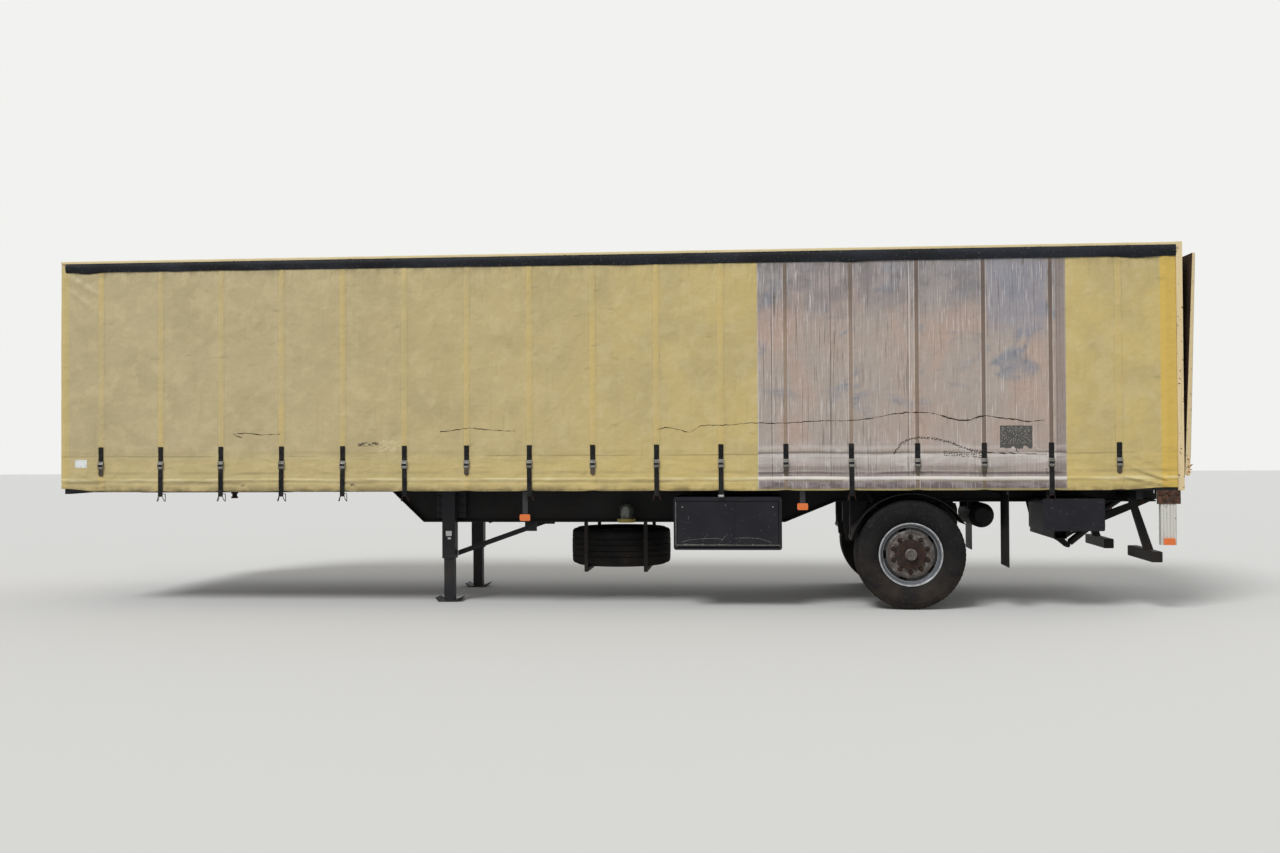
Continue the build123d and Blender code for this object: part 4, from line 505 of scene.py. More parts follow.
        # The scrim's 2 mm threads are too fine to show, so the grid is drawn at 12 mm
        for axis in (Axis.X, Axis.Z):
            coat.emboss(coat.ribs(axis, 0.012), 0.00014)
        low = coat.both(coat.step(coat.z, 1.62, 1.42), (0.085, 0.36, 0.64, 29, (4, 1, 1), 1.0, 0.4))
        coat.emboss(low, 0.0034)
        coat.emboss(coat.both(coat.step(coat.z, 2.95, 3.26), (0.05, 0.4, 0.62, 30, (1, 1, 4), 2.0)), 0.004)
        coat.emboss(coat.both(where, (0.01, 0.5, 0.7, 13, (1, 1, 40), 3.0)), 0.0008)


@dataclass(frozen=True)
class RoofCloth(Finish):
    """Translucent roof tarpaulin of coated polyester: off-white, with algae and ponding marks between its bows."""

    name: str = "roof_tarpaulin"
    colour: str = "#C6C1AC"

    roughness = 0.55
    relief = (((0.02, 0.3, 0.7, 4), 0.0006),)

    def extra(self, coat: Coat) -> None:
        """Lays the marks between the bows, the lines over them, and both edges.

        Args:
            coat: the tarpaulin's coat.
        """
        bows_front, bows_rear = (corner.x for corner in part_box("roof_rails"))
        half_pitch = (bows_rear - bows_front) / ROOF_BAYS / 2
        behind = coat.calc("SUBTRACT", coat.x, bows_front)
        over_bow = coat.calc("PINGPONG", coat.calc("ADD", behind, half_pitch), half_pitch)
        across = coat.calc("ABSOLUTE", coat.y)
        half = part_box("roof_tarp")[1].y
        coat.tints(
            (coat.both(coat.step(over_bow, 0.1, 0.34), (0.3, 0.36, 0.6, 1, EVEN, 4.0, 0.6)), "#A3A089", 0.65),
            ((0.05, 0.56, 0.72, 2, (1, 2.5, 1)), "#8D8B72", 0.45),
            (coat.step(over_bow, 0.03, 0.018), "#DAD4BE", 0.6),
            (coat.step(over_bow, 0.004, 0.001), "#8F8B76", 0.5),
            (coat.both(coat.step(across, 1.14, 1.27), (0.06, 0.42, 0.62, 3, (3, 1, 1))), "#6A6A4C", 0.6),
            (coat.step(across, half - 0.01, half - 0.003), "#CDBB8C", 0.85),
        )
        coat.emboss(coat.step(over_bow, 0.03, 0.026), 0.0008)


@dataclass(frozen=True)
class BlackRubber(Finish):
    """Weathered EPDM or natural rubber: black turned blue-grey where the sun reaches it, and dusty."""

    bloom: str
    bloom_share: float = 0.5
    dirt: float = 0.3

    roughness = 0.58
    tints = (((0.2, 0.4, 0.7, 1, (3, 1, 1)), "bloom", "bloom_share"), ((0.02, 0.6, 0.72, 2), "#6C6A5C", 0.4))
    # Cracks by age, a few millimetres apart, drawn at 12 mm
    relief = (((0.012, 0.48, 0.6, 3, (1, 1, 0.3)), 0.0004),)
    dirty = (("#554B40", 1.2, "dirt"),)
    sockets = {"Specular IOR Level": 0.15}


@dataclass(frozen=True)
class TyreRubber(Finish):
    """Carbon-black tyre rubber: a dusty matt grey with moulded rings, browner towards the ground."""

    name: str = "carbon_black_rubber"
    colour: str = "#18181A"

    roughness = 0.78
    tints = (((0.13, 0.35, 0.75, 1), "#232221", 0.7), ((0.03, 0.55, 0.75, 2), "#3A3531", 0.5))
    dirty = (("#4E4339", 0.75, 0.5),)
    relief = (((0.006, 0.35, 0.65, 4), 0.0004),)
    sockets = {"Specular IOR Level": 0.12}


@dataclass(frozen=True)
class RimPaint(Finish):
    """Silver lacquer on a steel rim: metallic flakes, a grey gutter and painted shade in the well, and rust streaks
    from the nuts.
    """

    name: str = "silver_rim_lacquer"
    colour: str = "#B4B6B9"

    roughness = 0.4
    metallic = 0.3
    tints = (((0.05, 0.36, 0.66, 1), "#8B8986", 0.75),)
    dull = (((0.05, 0.36, 0.66, 1), 0.62),)
    relief = (((0.01, 0.4, 0.6, 5), 0.0003),)

    def extra(self, coat: Coat) -> None:
        """Lays the rings round the axle: the flange's grey gutter, the painted shade of the well and the brown disc.

        Args:
            coat: the rim's coat.
        """
        low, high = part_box("left_tyre")
        centre = (low + high) / 2
        sides = [coat.calc("SUBTRACT", place, level) for place, level in ((coat.x, centre.x), (coat.z, centre.z))]
        radius = coat.calc("SQRT", coat.calc("ADD", *[coat.calc("POWER", side, 2.0) for side in sides]))
        outer = (coat.step(radius, 0.226, 0.222), coat.step(radius, 0.184, 0.198))
        coat.tints(
            (coat.both(coat.step(radius, 0.289, 0.284), coat.step(radius, 0.262, 0.267)), "#4E545D", 0.85),
            # Painted shade: the well behind the flange is drawn near black, since the inset disc keeps light out of
            # it
            (coat.both(coat.step(radius, 0.256, 0.25), coat.step(radius, 0.218, 0.226)), "#1E1D1D", 0.95),
            (coat.step(radius, 0.226, 0.218), "#6F6964", 0.88),
            (coat.both(*outer, (0.07, 0.3, 0.56, 6)), "#3A302B", 0.82),
            (coat.both(coat.step(radius, 0.226, 0.15), (0.035, 0.32, 0.56, 2)), "#30261F", 0.88),
            ((0.014, 0.6, 0.7, 3), "#4A3326", 0.6),
        )


@dataclass(frozen=True)
class RustyIron(Finish):
    """Cast iron or bare steel left outdoors: brown-orange scale, matt and pitted."""

    bright: str
    grey: str

    roughness = 0.82
    metallic = 0.1
    tints = (((0.035, 0.42, 0.62, 1), "bright", 0.6), ((0.05, 0.52, 0.68, 2), "grey", 0.65),
             ((0.012, 0.55, 0.7, 3), "#2E211A", 0.7))
    # Scale pits are 1 to 3 mm, drawn at 6 mm
    relief = (((0.006, 0.35, 0.65, 4), 0.0008),)
    sockets = {"Specular IOR Level": 0.2}


@dataclass(frozen=True)
class BareMetal(Finish):
    """Zinc-plated steel or mill aluminium: a soft grey shine with water marks."""

    stain: str
    roughness: float = 0.38
    dulled: float = 0.63

    metallic = 1.0
    tints = (((0.06, 0.4, 0.7, 1), "stain", 0.6),)
    dull = (((0.04, 0.4, 0.7, 2), "dulled"),)
    relief = (((0.004, 0.35, 0.65, 3), 0.0002),)


@dataclass(frozen=True)
class BoxEnamel(Finish):
    """Charcoal powder coat on sheet steel: satin, scuffed, with pale scratches and a dusty foot."""

    name: str = "charcoal_powder_coat"
    colour: str = "#18181E"

    roughness = 0.46
    # Scratches are 1 to 2 mm wide, drawn at 3 mm
    tints = (((0.25, 0.35, 0.72, 1), "#212127", 0.7), ((0.0045, 0.735, 0.765, 2, (26, 1, 1), 2.0), "#77767A", 0.45),
             ((0.0045, 0.735, 0.765, 3, (14, 1, 6), 2.0), "#77767A", 0.45),
             ((0.0045, 0.735, 0.765, 4, (2, 1, 18), 2.0), "#77767A", 0.45))
    dirty = (("#4F4840", 0.8, 0.4),)
    relief = (((0.008, 0.3, 0.7, 5, EVEN, 2.0), 0.0002),)
    sockets = {"Specular IOR Level": 0.2}


@dataclass(frozen=True)
class DeckBoard(Finish):
    """Phenolic-faced plywood: dark brown film over veneers, worn pale in the load's tracks."""

    worn: str

    roughness = 0.62
    # Veneer grain is 3 to 8 mm wide and runs half a metre
    tints = (((0.008, 0.45, 0.7, 1, (60, 1, 1)), "#3A2A20", 0.6), ((0.35, 0.42, 0.7, 2, (2, 1, 1)), "worn", 0.7),
             ((0.02, 0.62, 0.72, 3), "#241A14", 0.6))
    relief = (((0.006, 0.35, 0.65, 4, (8, 1, 1)), 0.0003),)


@dataclass(frozen=True)
class PlatformSkin(Finish):
    """The tail lift's platform: a brown anti-slip deck inside, cream edges, and mill aluminium behind."""

    name: str = "platform_skin"
    colour: str = "#A9A79F"

    roughness = 0.45
    metallic = 0.3
    tints = (((0.1, 0.4, 0.7, 1, (1, 1, 5)), "#8C877A", 0.6),)
    sockets = {"Specular IOR Level": 0.35}

    def extra(self, coat: Coat) -> None:
        """Lays the cream sides and the brown deck, which leans back from its heel.

        Args:
            coat: the platform's coat.
        """
        above = coat.calc("SUBTRACT", coat.z, HEEL_HEIGHT)
        behind = coat.calc("MULTIPLY", coat.calc("SUBTRACT", coat.x, HEEL), math.cos(LEAN))
        depth = coat.calc("SUBTRACT", behind, coat.calc("MULTIPLY", above, math.sin(LEAN)))
        deck = coat.both(coat.step(depth, 0.0015, 0.0008), coat.step(above, 0.0, 0.004))
        coat.tints(
            (coat.step(coat.calc("ABSOLUTE", coat.y), 1.2685, 1.2695), "#CDBA90"),
            (deck, "#3A2A22"),
            (coat.both(deck, (0.3, 0.42, 0.7, 2)), "#5B4636", 0.6),
            ((0.018, 0.6, 0.7, 8, (1, 1, 2)), "#5E5346", 0.55),
        )
        coat.roughen(deck, 0.8)
        coat.rust(0.06, 0.03, 9)


@dataclass(frozen=True)
class Webbing(Finish):
    """Woven polyester strap: ribbed black yarn, greyed by the sun, rough."""

    name: str = "woven_polyester_webbing"
    colour: str = "#18181A"

    roughness = 0.85
    tints = (((0.05, 0.38, 0.7, 1), "#2C2B29", 0.7), ((0.02, 0.58, 0.72, 2), "#4A453D", 0.45))
    sockets = {"Specular IOR Level": 0.15}

    def extra(self, coat: Coat) -> None:
        """Raises the weft ribs, which stand 1.5 mm apart and are drawn at 5 mm."""
        coat.emboss(coat.ribs(Axis.Z, 0.005), 0.0003)


@dataclass(frozen=True)
class MouldedPlastic(Finish):
    """Injection-moulded plastic, such as a lens or a cap: glossy under a film of dust."""

    roughness: float = 0.25
    dust: float = 0.3
    glow: float = 0.0

    tints = (((0.03, 0.4, 0.7, 1), "#8A7B66", "dust"),)
    dull = (((0.03, 0.4, 0.7, 1), 0.6),)
    relief = (((0.006, 0.4, 0.6, 2), 0.0002),)
    sockets = {"Coat Weight": "glow", "Coat Roughness": 0.2}


@dataclass(frozen=True)
class ClearReservoir(Finish):
    """Clear acrylic, yellowed by age, with grease smeared inside."""

    name: str = "clear_reservoir"
    colour: str = "#B4BAB2"

    roughness = 0.1
    tints = (((0.03, 0.5, 0.66, 1, (1, 1, 3)), "#6E6F4C", 0.6),)
    sockets = {"Transmission Weight": 0.92, "IOR": 1.49}


@dataclass(frozen=True)
class CornerPaint(Finish):
    """The rear corners' one node: a rusted gusset above a white ribbed bracket, and black plates further forward."""

    name: str = "corner_enamel"
    colour: str = "#C6C5BE"

    roughness = 0.42
    tints = (((0.03, 0.5, 0.7, 1, (1, 1, 12)), "#A8A498", 0.5),)
    rusted = ((0.16, 0.02),)
    dirty = (("#6A5D4E", 1.0, 0.45),)

    def extra(self, coat: Coat) -> None:
        """Lays the gusset's rust and the plates' black.

        Args:
            coat: the corners' coat.
        """
        outer = coat.step(coat.calc("ABSOLUTE", coat.y), 1.2575, 1.259)
        gusset = coat.both(coat.step(coat.z, 0.985, 0.991), outer)
        coat.tints(
            (gusset, "#3A2A22"),
            (coat.both(gusset, (0.03, 0.45, 0.65, 2)), "#6B4228", 0.7),
            (coat.both(gusset, (0.02, 0.5, 0.62, 3)), "#221A16", 0.8),
            (coat.step(coat.x, FRONT + 10.4, FRONT + 10.3), "#242428"),
        )
        coat.roughen(gusset, 0.9)


def laid(finish: Finish) -> Material:
    """A field that holds a finish's material, made with the object."""
    return field(default_factory=finish.material)


@dataclass
class Finishes:
    """Every material of the trailer, made once."""

    cloth: Material = laid(CoatedCloth())
    roof: Material = laid(RoofCloth())
    flap: Material = laid(BlackRubber("epdm_flap_rubber", "#17181B", "#2B2F38", 0.6, 0.1))
    guard: Material = laid(BlackRubber("guard_plastic", "#151516", "#212122", 0.5, 0.4))
    bellows: Material = laid(BlackRubber("neoprene_bellows", "#141415", "#212123"))
    tyre: Material = laid(TyreRubber())
    rim: Material = laid(RimPaint())
    iron: Material = laid(RustyIron("rusty_cast_iron", "#2C2420", "#462F24", "#38342F"))
    scale: Material = laid(RustyIron("rust_scale", "#452E20", "#70452A", "#2C211B"))
    chassis: Material = laid(ChassisEnamel("black_chassis_enamel", "#161516"))
    leg: Material = laid(ChassisEnamel("leg_enamel", "#25262A", 0.5, 0.15, 0.45, 1.0))
    body: Material = laid(BodyEnamel("cream_coach_enamel", "#D3BD91"))
    box: Material = laid(BoxEnamel())
    deck: Material = laid(DeckBoard("phenolic_plywood", "#4B382B", "#77604A"))
    splinter: Material = laid(DeckBoard("broken_veneer", "#A8703C", "#C99556"))
    platform: Material = laid(PlatformSkin())
    webbing: Material = laid(Webbing())
    zinc: Material = laid(BareMetal("zinc_plate", "#94928C", "#5F584E"))
    alloy: Material = laid(BareMetal("mill_aluminium", "#B7B8B8", "#8E8F8C"))
    polished: Material = laid(BareMetal("hard_chrome_plate", "#CFD1D3", "#8F8A80", 0.16, 0.41))
    orange: Material = laid(MouldedPlastic("orange_lens", "#E2701A", glow=0.4))
    red: Material = laid(MouldedPlastic("red_lens", "#8E1B17", glow=0.4))
    black: Material = laid(MouldedPlastic("black_moulding", "#1B1B1C", 0.5))
    white: Material = laid(MouldedPlastic("blank_label", "#D9DDDC", 0.45, 0.35))
    ring: Material = laid(MouldedPlastic("reservoir_ring", "#9B8C3C", 0.45, 0.6))
    clear: Material = laid(ClearReservoir())
    corner: Material = laid(CornerPaint())
    dark_line: Material = laid(BlackRubber("crack_dirt", "#2A2319", "#3D3526"))
    moss: Material = laid(BlackRubber("black_moss", "#26281C", "#3F4327"))
    darning: Material = laid(BlackRubber("darned_cloth", "#4E4D4D", "#5F5E5B", 0.6, 0.1))
    thread: Material = laid(MouldedPlastic("pale_thread", "#8C887E", 0.8, 0.5))
    faded: Material = laid(Webbing("faded_polyester_webbing", "#544C43"))
    cap: Material = laid(BareMetal("hub_cap_steel", "#7B7876", "#4A3E36", 0.5, 0.75))
    # Pale metal that paints the highlight on the box door's folded edges, and draws the door's real scuffs
    worn: Material = laid(BareMetal("worn_box_edge", "#8E8C87", "#5F5A54", 0.55, 0.8))


class Shape:
    """A mesh in the making: parts are added one after the other, then built as one object."""

    def __init__(self) -> None:
        """Starts an empty mesh."""
        self.points: list[Point] = []
        self.faces: list[tuple[int, ...]] = []

    def add(self, points: list[Point], faces: list[tuple[int, ...]]) -> None:
        """Adds points, and faces that count from the first of them."""
        self.faces += [tuple(len(self.points) + index for index in face) for face in faces]
        self.points += [tuple(point) for point in points]

    def prism(self, outline: list[tuple[float, float]], low: float, high: float, axis: Axis = Axis.Y) -> None:
        """Adds a prism.

        Args:
            outline: its corners in the two other axes, in X, Y, Z order.
            low: where it starts along the axis.
            high: where it ends.
            axis: the axis that it runs along.
        """
        count = len(outline)
        points = [
            tuple(np.insert(np.array(corner, float), axis.value, level))
            for level in (low, high)
            for corner in outline
        ]
        sides = [(i, (i + 1) % count, count + (i + 1) % count, count + i) for i in range(count)]
        self.add(points, [tuple(range(count))[::-1], tuple(range(count, 2 * count)), *sides])

    def block(self, low: Point, high: Point) -> None:
        """Adds a block between two corners."""
        outline = [(low[0], low[2]), (high[0], low[2]), (high[0], high[2]), (low[0], high[2])]
        self.prism(outline, low[1], high[1])

    def lathe(self, profile: list[tuple[float, float]], turns: int, centre: Point = (0, 0, 0), axis: Axis = Axis.Z,
              closed: bool = False) -> None:
        """Adds a turned form.

        Args:
            profile: places along the axis, each with its radius.
            turns: how many steps go round.
            centre: a point on the axis.
            axis: the axis.
            closed: whether the last profile point joins the first.
        """
        others = [other for other in (0, 1, 2) if other != axis.value]
        rows = len(profile)
        points = []
        for turn in range(turns):
            angle = math.tau * turn / turns
            for along_axis, radius in profile:
                point = list(centre)
                point[axis.value] += along_axis
                point[others[0]] += radius * math.cos(angle)
                point[others[1]] += radius * math.sin(angle)
                points.append(point)
        faces = []
        for turn in range(turns):
            here, after = turn * rows, (turn + 1) % turns * rows
            for row in range(rows if closed else rows - 1):
                below = (row + 1) % rows
                faces.append((here + row, here + below, after + below, after + row))
        self.add(points, faces)

    def ribbon(self, places: list[Vector], across: list[Vector], widths: list[float], depth: Vector) -> None:
        """Adds a strip with a wall.

        Args:
            places: its middle line.
            across: the direction of its width at each place.
            widths: its width at each place.
            depth: from its back to its face.
        """
        points = []
        for place, direction, width in zip(places, across, widths):
            half = direction.normalized() * width / 2
            points += [place - half, place + half, place + half + depth, place - half + depth]
        faces = [(3, 2, 1, 0)]
        for step in range(len(places) - 1):
            a = 4 * step
            faces += [(a + i, a + (i + 1) % 4, a + 4 + (i + 1) % 4, a + 4 + i) for i in range(4)]
        last = 4 * (len(places) - 1)
        self.add(points, [*faces, (last, last + 1, last + 2, last + 3)])

    def quilt(self, grid: list[list[Pair]]) -> None:
        """Adds a sheet.

        Args:
            grid: its rows of points, each a place on its face and the place behind it.
        """
        rows, columns = len(grid), len(grid[0])
        count = rows * columns
        cells = [row * columns + column for row in range(rows - 1) for column in range(columns - 1)]
        faces = [(a, a + 1, a + columns + 1, a + columns) for a in cells]
        faces += [tuple(index + count for index in quad[::-1]) for quad in faces]
        border = list(range(columns)) + [row * columns + columns - 1 for row in range(1, rows)]
        border += list(range(count - 2, count - columns - 1, -1)) + [row * columns for row in range(rows - 2, 0, -1)]
        faces += [(b, a, a + count, b + count) for a, b in zip(border, border[1:] + border[:1])]
        self.add([pair[layer] for layer in (0, 1) for row in grid for pair in row], faces)

    def tube(self, path: list[Vector], radius: float, sides: int) -> None:
        """Adds a round bar along a path.

        Args:
            path: its middle line.
            radius: its radius.
            sides: how many sides it has.
        """
        points = []
        guide = Vector((0.31, 0.12, 0.94))
        for index, place in enumerate(path):
            run = (path[min(index + 1, len(path) - 1)] - path[max(index - 1, 0)]).normalized()
            across = run.cross(guide).normalized()
            above = across.cross(run)
            for side in range(sides):
                angle = math.tau * side / sides
                points.append(tuple(place + (across * math.cos(angle) + above * math.sin(angle)) * radius))
        faces = [tuple(range(sides))[::-1], tuple(range(len(points) - sides, len(points)))]
        for index in range(len(path) - 1):
            a = index * sides
            faces += [(a + i, a + (i + 1) % sides, a + sides + (i + 1) % sides, a + sides + i) for i in range(sides)]
        self.add(points, faces)

    def build(self, name: str, material: Material, sharp: float = 35.0, bevel: float = 0.0) -> Object:
        """Makes the object, its faces outwards and its soft edges smooth.

        Args:
            name: the object's name.
            material: its finish.
            sharp: the angle in degrees above which an edge stays sharp.
            bevel: how far its sharp edges are rounded, in metres.

        Returns:
            The object, in the scene.
        """
        mesh = bpy.data.meshes.new(name)
        mesh.from_pydata(self.points, [], self.faces)
        work = bmesh.new()
        work.from_mesh(mesh)
        bmesh.ops.remove_doubles(work, verts=work.verts, dist=1e-6)
        bmesh.ops.recalc_face_normals(work, faces=work.faces)
        limit = math.radians(sharp)
        if bevel:
            edges = [e for e in work.edges if e.is_manifold and e.calc_face_angle(0.0) > limit]
            bmesh.ops.bevel(work, geom=edges, offset=bevel, segments=2, profile=0.6, affect="EDGES")
        for face in work.faces:
            face.smooth = True
        for edge in work.edges:
            edge.smooth = not (edge.is_manifold and edge.calc_face_angle(0.0) > limit)
        work.to_mesh(mesh)
        work.free()
        mesh.materials.append(material)
        made = bpy.data.objects.new(name, mesh)
        bpy.context.scene.collection.objects.link(made)
        return made


def baked(piece: Object) -> Object:
    """Turns a piece's modifiers into its plain mesh.

    Args:
        piece: the object.

    Returns:
        The same object.
    """
    bpy.context.view_layer.update()
    mesh = bpy.data.meshes.new_from_object(piece.evaluated_get(bpy.context.evaluated_depsgraph_get()))
    piece.modifiers.clear()
    piece.data = mesh
    return piece


def placing_tree() -> NodeTree:
    """The Geometry Nodes tree that sets a copy of a shape at every point of a mesh.

    Returns:
        The tree. Its inputs are the points, the shape, its size, how far each copy may turn about its own Z,
        the seed of those turns, and the finish.
    """
    tree = bpy.data.node_groups.new("place_copies", "GeometryNodeTree")
    wanted = (("Points", "Geometry"), ("Shape", "Object"), ("Size", "Float"), ("Spin", "Float"), ("Seed", "Int"),
              ("Finish", "Material"))
    for name, kind in wanted:
        tree.interface.new_socket(name=name, in_out="INPUT", socket_type=f"NodeSocket{kind}")
    tree.interface.new_socket(name="Geometry", in_out="OUTPUT", socket_type="NodeSocketGeometry")
    given = add_node(tree, "NodeGroupInput").outputs
    shape = add_node(tree, "GeometryNodeObjectInfo", {"Object": given["Shape"]}).outputs["Geometry"]
    turn = add_node(tree, "GeometryNodeInputNamedAttribute", {"Name": "turn"}, data_type="FLOAT_VECTOR").outputs[0]
    facing = add_node(tree, "FunctionNodeEulerToRotation", {"Euler": turn}).outputs[0]
    least = add_node(tree, "ShaderNodeMath", {0: given["Spin"], 1: -1.0}, operation="MULTIPLY").outputs[0]
    random = {2: least, 3: given["Spin"], 8: given["Seed"]}
    angle = add_node(tree, "FunctionNodeRandomValue", random, data_type="FLOAT").outputs[1]
    about = add_node(tree, "FunctionNodeAxisAngleToRotation", {"Axis": (0, 0, 1), "Angle": angle}).outputs[0]
    rotated = {"Rotation": facing, "Rotate By": about}
    rotation = add_node(tree, "FunctionNodeRotateRotation", rotated, rotation_space="LOCAL").outputs[0]
    stretch = add_node(tree, "GeometryNodeInputNamedAttribute", {"Name": "stretch"}, data_type="FLOAT_VECTOR")
    size = add_node(tree, "ShaderNodeVectorMath", {0: stretch.outputs[0], "Scale": given["Size"]}, operation="SCALE")
    copies = {"Points": given["Points"], "Instance": shape, "Rotation": rotation, "Scale": size.outputs[0]}
    placed = add_node(tree, "GeometryNodeInstanceOnPoints", copies).outputs[0]
    real = add_node(tree, "GeometryNodeRealizeInstances", {"Geometry": placed}).outputs[0]
    dressed = add_node(tree, "GeometryNodeSetMaterial", {"Geometry": real, "Material": given["Finish"]}).outputs[0]
    add_node(tree, "NodeGroupOutput", {"Geometry": dressed})
    return tree


@dataclass
class Copies:
    """Many copies of one shape, set out by Geometry Nodes and turned into one plain mesh."""

    name: str
    shape: Object
    material: Material
    size: float = 1.0
    spin: float = 0.0
    seed: int = 1
    places: list[Point] = field(default_factory=list)
    turns: list[Point] = field(default_factory=list)
    stretches: list[Point] = field(default_factory=list)

    def at(self, place: Point, turn: Point = (0, 0, 0), stretch: Point = EVEN) -> None:
        """Sets one copy: where its origin lies, its Euler angles, and its size along its own axes."""
        for values, value in ((self.places, place), (self.turns, turn), (self.stretches, stretch)):
            values.append(tuple(value))

    def build(self) -> Object:
        """Makes the copies' one object.

        Returns:
            The object, with a plain mesh.
        """
        mesh = bpy.data.meshes.new(self.name)
        mesh.from_pydata(self.places, [], [])
        for name, values in (("turn", self.turns), ("stretch", self.stretches)):
            layer = mesh.attributes.new(name, "FLOAT_VECTOR", "POINT")
            layer.data.foreach_set("vector", np.array(values, np.float32).ravel())
        made = bpy.data.objects.new(self.name, mesh)
        bpy.context.scene.collection.objects.link(made)
        tree = bpy.data.node_groups.get("place_copies") or placing_tree()
        modifier = made.modifiers.new("place_copies", "NODES")
        modifier.node_group = tree
        given = {"Shape": self.shape, "Size": self.size, "Spin": self.spin, "Seed": self.seed,
                 "Finish": self.material}
        for socket in tree.interface.items_tree:
            if socket.in_out == "INPUT" and socket.name in given:
                modifier[socket.identifier] = given[socket.name]
        baked(made)
        for name in ("turn", "stretch"):
            if name in made.data.attributes:
                made.data.attributes.remove(made.data.attributes[name])
        bpy.data.objects.remove(self.shape)
        return made


def hexagon_head(across: float, height: float) -> Object:
    """A bolt's or nut's head on its washer, standing on the XY plane.

    Args:
        across: its width across flats.
        height: its height.

    Returns:
        The shape.
    """
    washer, corner, seat = across * 0.68, across / math.sqrt(3), height * 0.16
    shape = Shape()
    shape.lathe([(0, 0), (0, washer), (seat, washer), (seat, 0)], 12)
    shape.lathe([(seat, 0), (seat, corner), (height * 0.9, corner), (height, corner * 0.86), (height, 0)], 6)
    return shape.build("hexagon_head", bpy.data.materials.get("zinc_plate"), 20)


def dome_head(radius: float, height: float) -> Object:
    """A rivet's or screw's domed head, standing on the XY plane.

    Args:
        radius: its radius.
        height: its height.

    Returns:
        The shape.
    """
    shape = Shape()
    shape.lathe([(0, 0), (0, radius), (height * 0.5, radius * 0.86), (height * 0.9, radius * 0.5), (height, 0)], 8)
    return shape.build("dome_head", bpy.data.materials.get("zinc_plate"))


def dress(material: Material, *nodes: str) -> None:
    """Gives CAD nodes their finish.

    Args:
        material: the finish.
        nodes: the nodes' names.
    """
    for name in nodes:
        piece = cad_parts[name]
        if not piece.data.materials:
            piece.data.materials.append(material)
        for slot in piece.material_slots:
            slot.material = material
        LOG.info("%s is finished in %s", name, material.name)


def settle(piece: Object, body: str = "root", replaces: tuple[str, ...] = ()) -> Object:
    """Hands a piece to the frame.

    Args:
        piece: the finished piece.
        body: the body that it rides on.
        replaces: the CAD nodes that it stands for.

    Returns:
        The piece.
    """
    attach(piece, body)
    if replaces:
        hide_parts(*replaces)
    LOG.info("%s rides on %s with %d faces", piece.name, body, len(piece.data.polygons))
    return piece


def along(station: float) -> float:
    """The X place of a station."""
    return FRONT + station


def wobble(x: float, z: float, size: float, seed: int) -> float:
    """Smooth noise from about -1 to 1, in patches of a given size."""
    return noise.noise(Vector((x / size, z / size, seed * 9.73)))


def ramp(value: float, low: float, high: float) -> float:
    """A smooth step from 0 at low to 1 at high, which may lie either way round."""
    share = min(1.0, max(0.0, (value - low) / (high - low)))
    return share * share * (3 - 2 * share)


def hump(distance: float, half: float) -> float:
    """A bell that is 1 in its middle and nearly 0 at twice its half width."""
    return math.exp(-((distance / half) ** 2))


def facing(out: Point, up: Point = UP) -> Point:
    """Turns a shape whose Z points out and whose Y points up.

    Args:
        out: where its Z points.
        up: where its Y points, as near as that allows.

    Returns:
        Its Euler angles.
    """
    normal = Vector(out).normalized()
    level = Vector(up).cross(normal).normalized()
    return tuple(Matrix((level, normal.cross(level), normal)).transposed().to_euler())


@dataclass(frozen=True)
class Crease:
    """A straight fold in the cloth between two places, each a station and a height. A negative depth is a groove."""

    start: tuple[float, float]
    end: tuple[float, float]
    half: float
    depth: float

    def relief(self, station: float, height: float) -> float:
        """How far it lifts the cloth.

        Args:
            station: the place along the trailer.
            height: the place above the ground.

        Returns:
            The lift in metres.
        """
        run = Vector(self.end) - Vector(self.start)
        offset = Vector((station, height)) - Vector(self.start)
        share = offset.dot(run) / run.length_squared
        reach = abs(offset.x * run.y - offset.y * run.x) / run.length
        if not -0.2 < share < 1.2 or reach > 3 * self.half:
            return 0.0
        return self.depth * ramp(share, -0.2, 0.3) * ramp(share, 1.2, 0.7) * hump(reach, self.half)


# Folds where the cloth is slack: below both upper corners, and fanning out of the rear foot
CREASES = [Crease(*row) for row in (
    ((0.05, 3.19), (0.36, 2.96), 0.022, -0.012), ((0.08, 3.25), (0.4, 3.05), 0.026, 0.0125),
    ((0.12, 3.1), (0.3, 2.93), 0.018, 0.0075), ((0.2, 3.15), (0.42, 3.23), 0.018, -0.007),
    ((0.1, 2.01), (0.42, 1.9), 0.03, -0.003), ((0.12, 1.63), (0.52, 1.56), 0.028, 0.003),
    ((0.1, 1.32), (0.5, 1.21), 0.024, 0.0045), ((0.06, 1.26), (0.34, 1.15), 0.022, -0.005),
    ((10.2, 1.25), (10.6, 1.165), 0.016, 0.013), ((10.16, 1.215), (10.58, 1.14), 0.014, -0.0095),
    ((10.36, 1.275), (10.6, 1.19), 0.013, -0.01), ((10.28, 1.33), (10.6, 1.215), 0.018, 0.011),
    ((10.33, 1.395), (10.6, 1.26), 0.02, -0.007), ((9.75, 1.18), (10.17, 1.163), 0.018, -0.005),
    ((9.93, 1.41), (10.1, 1.35), 0.024, 0.0035), ((10.14, 1.51), (10.5, 1.5), 0.022, -0.003),
    ((10.44, 3.26), (10.6, 3.18), 0.02, -0.005), ((9.8, 3.25), (10.3, 3.235), 0.026, 0.004),
)]


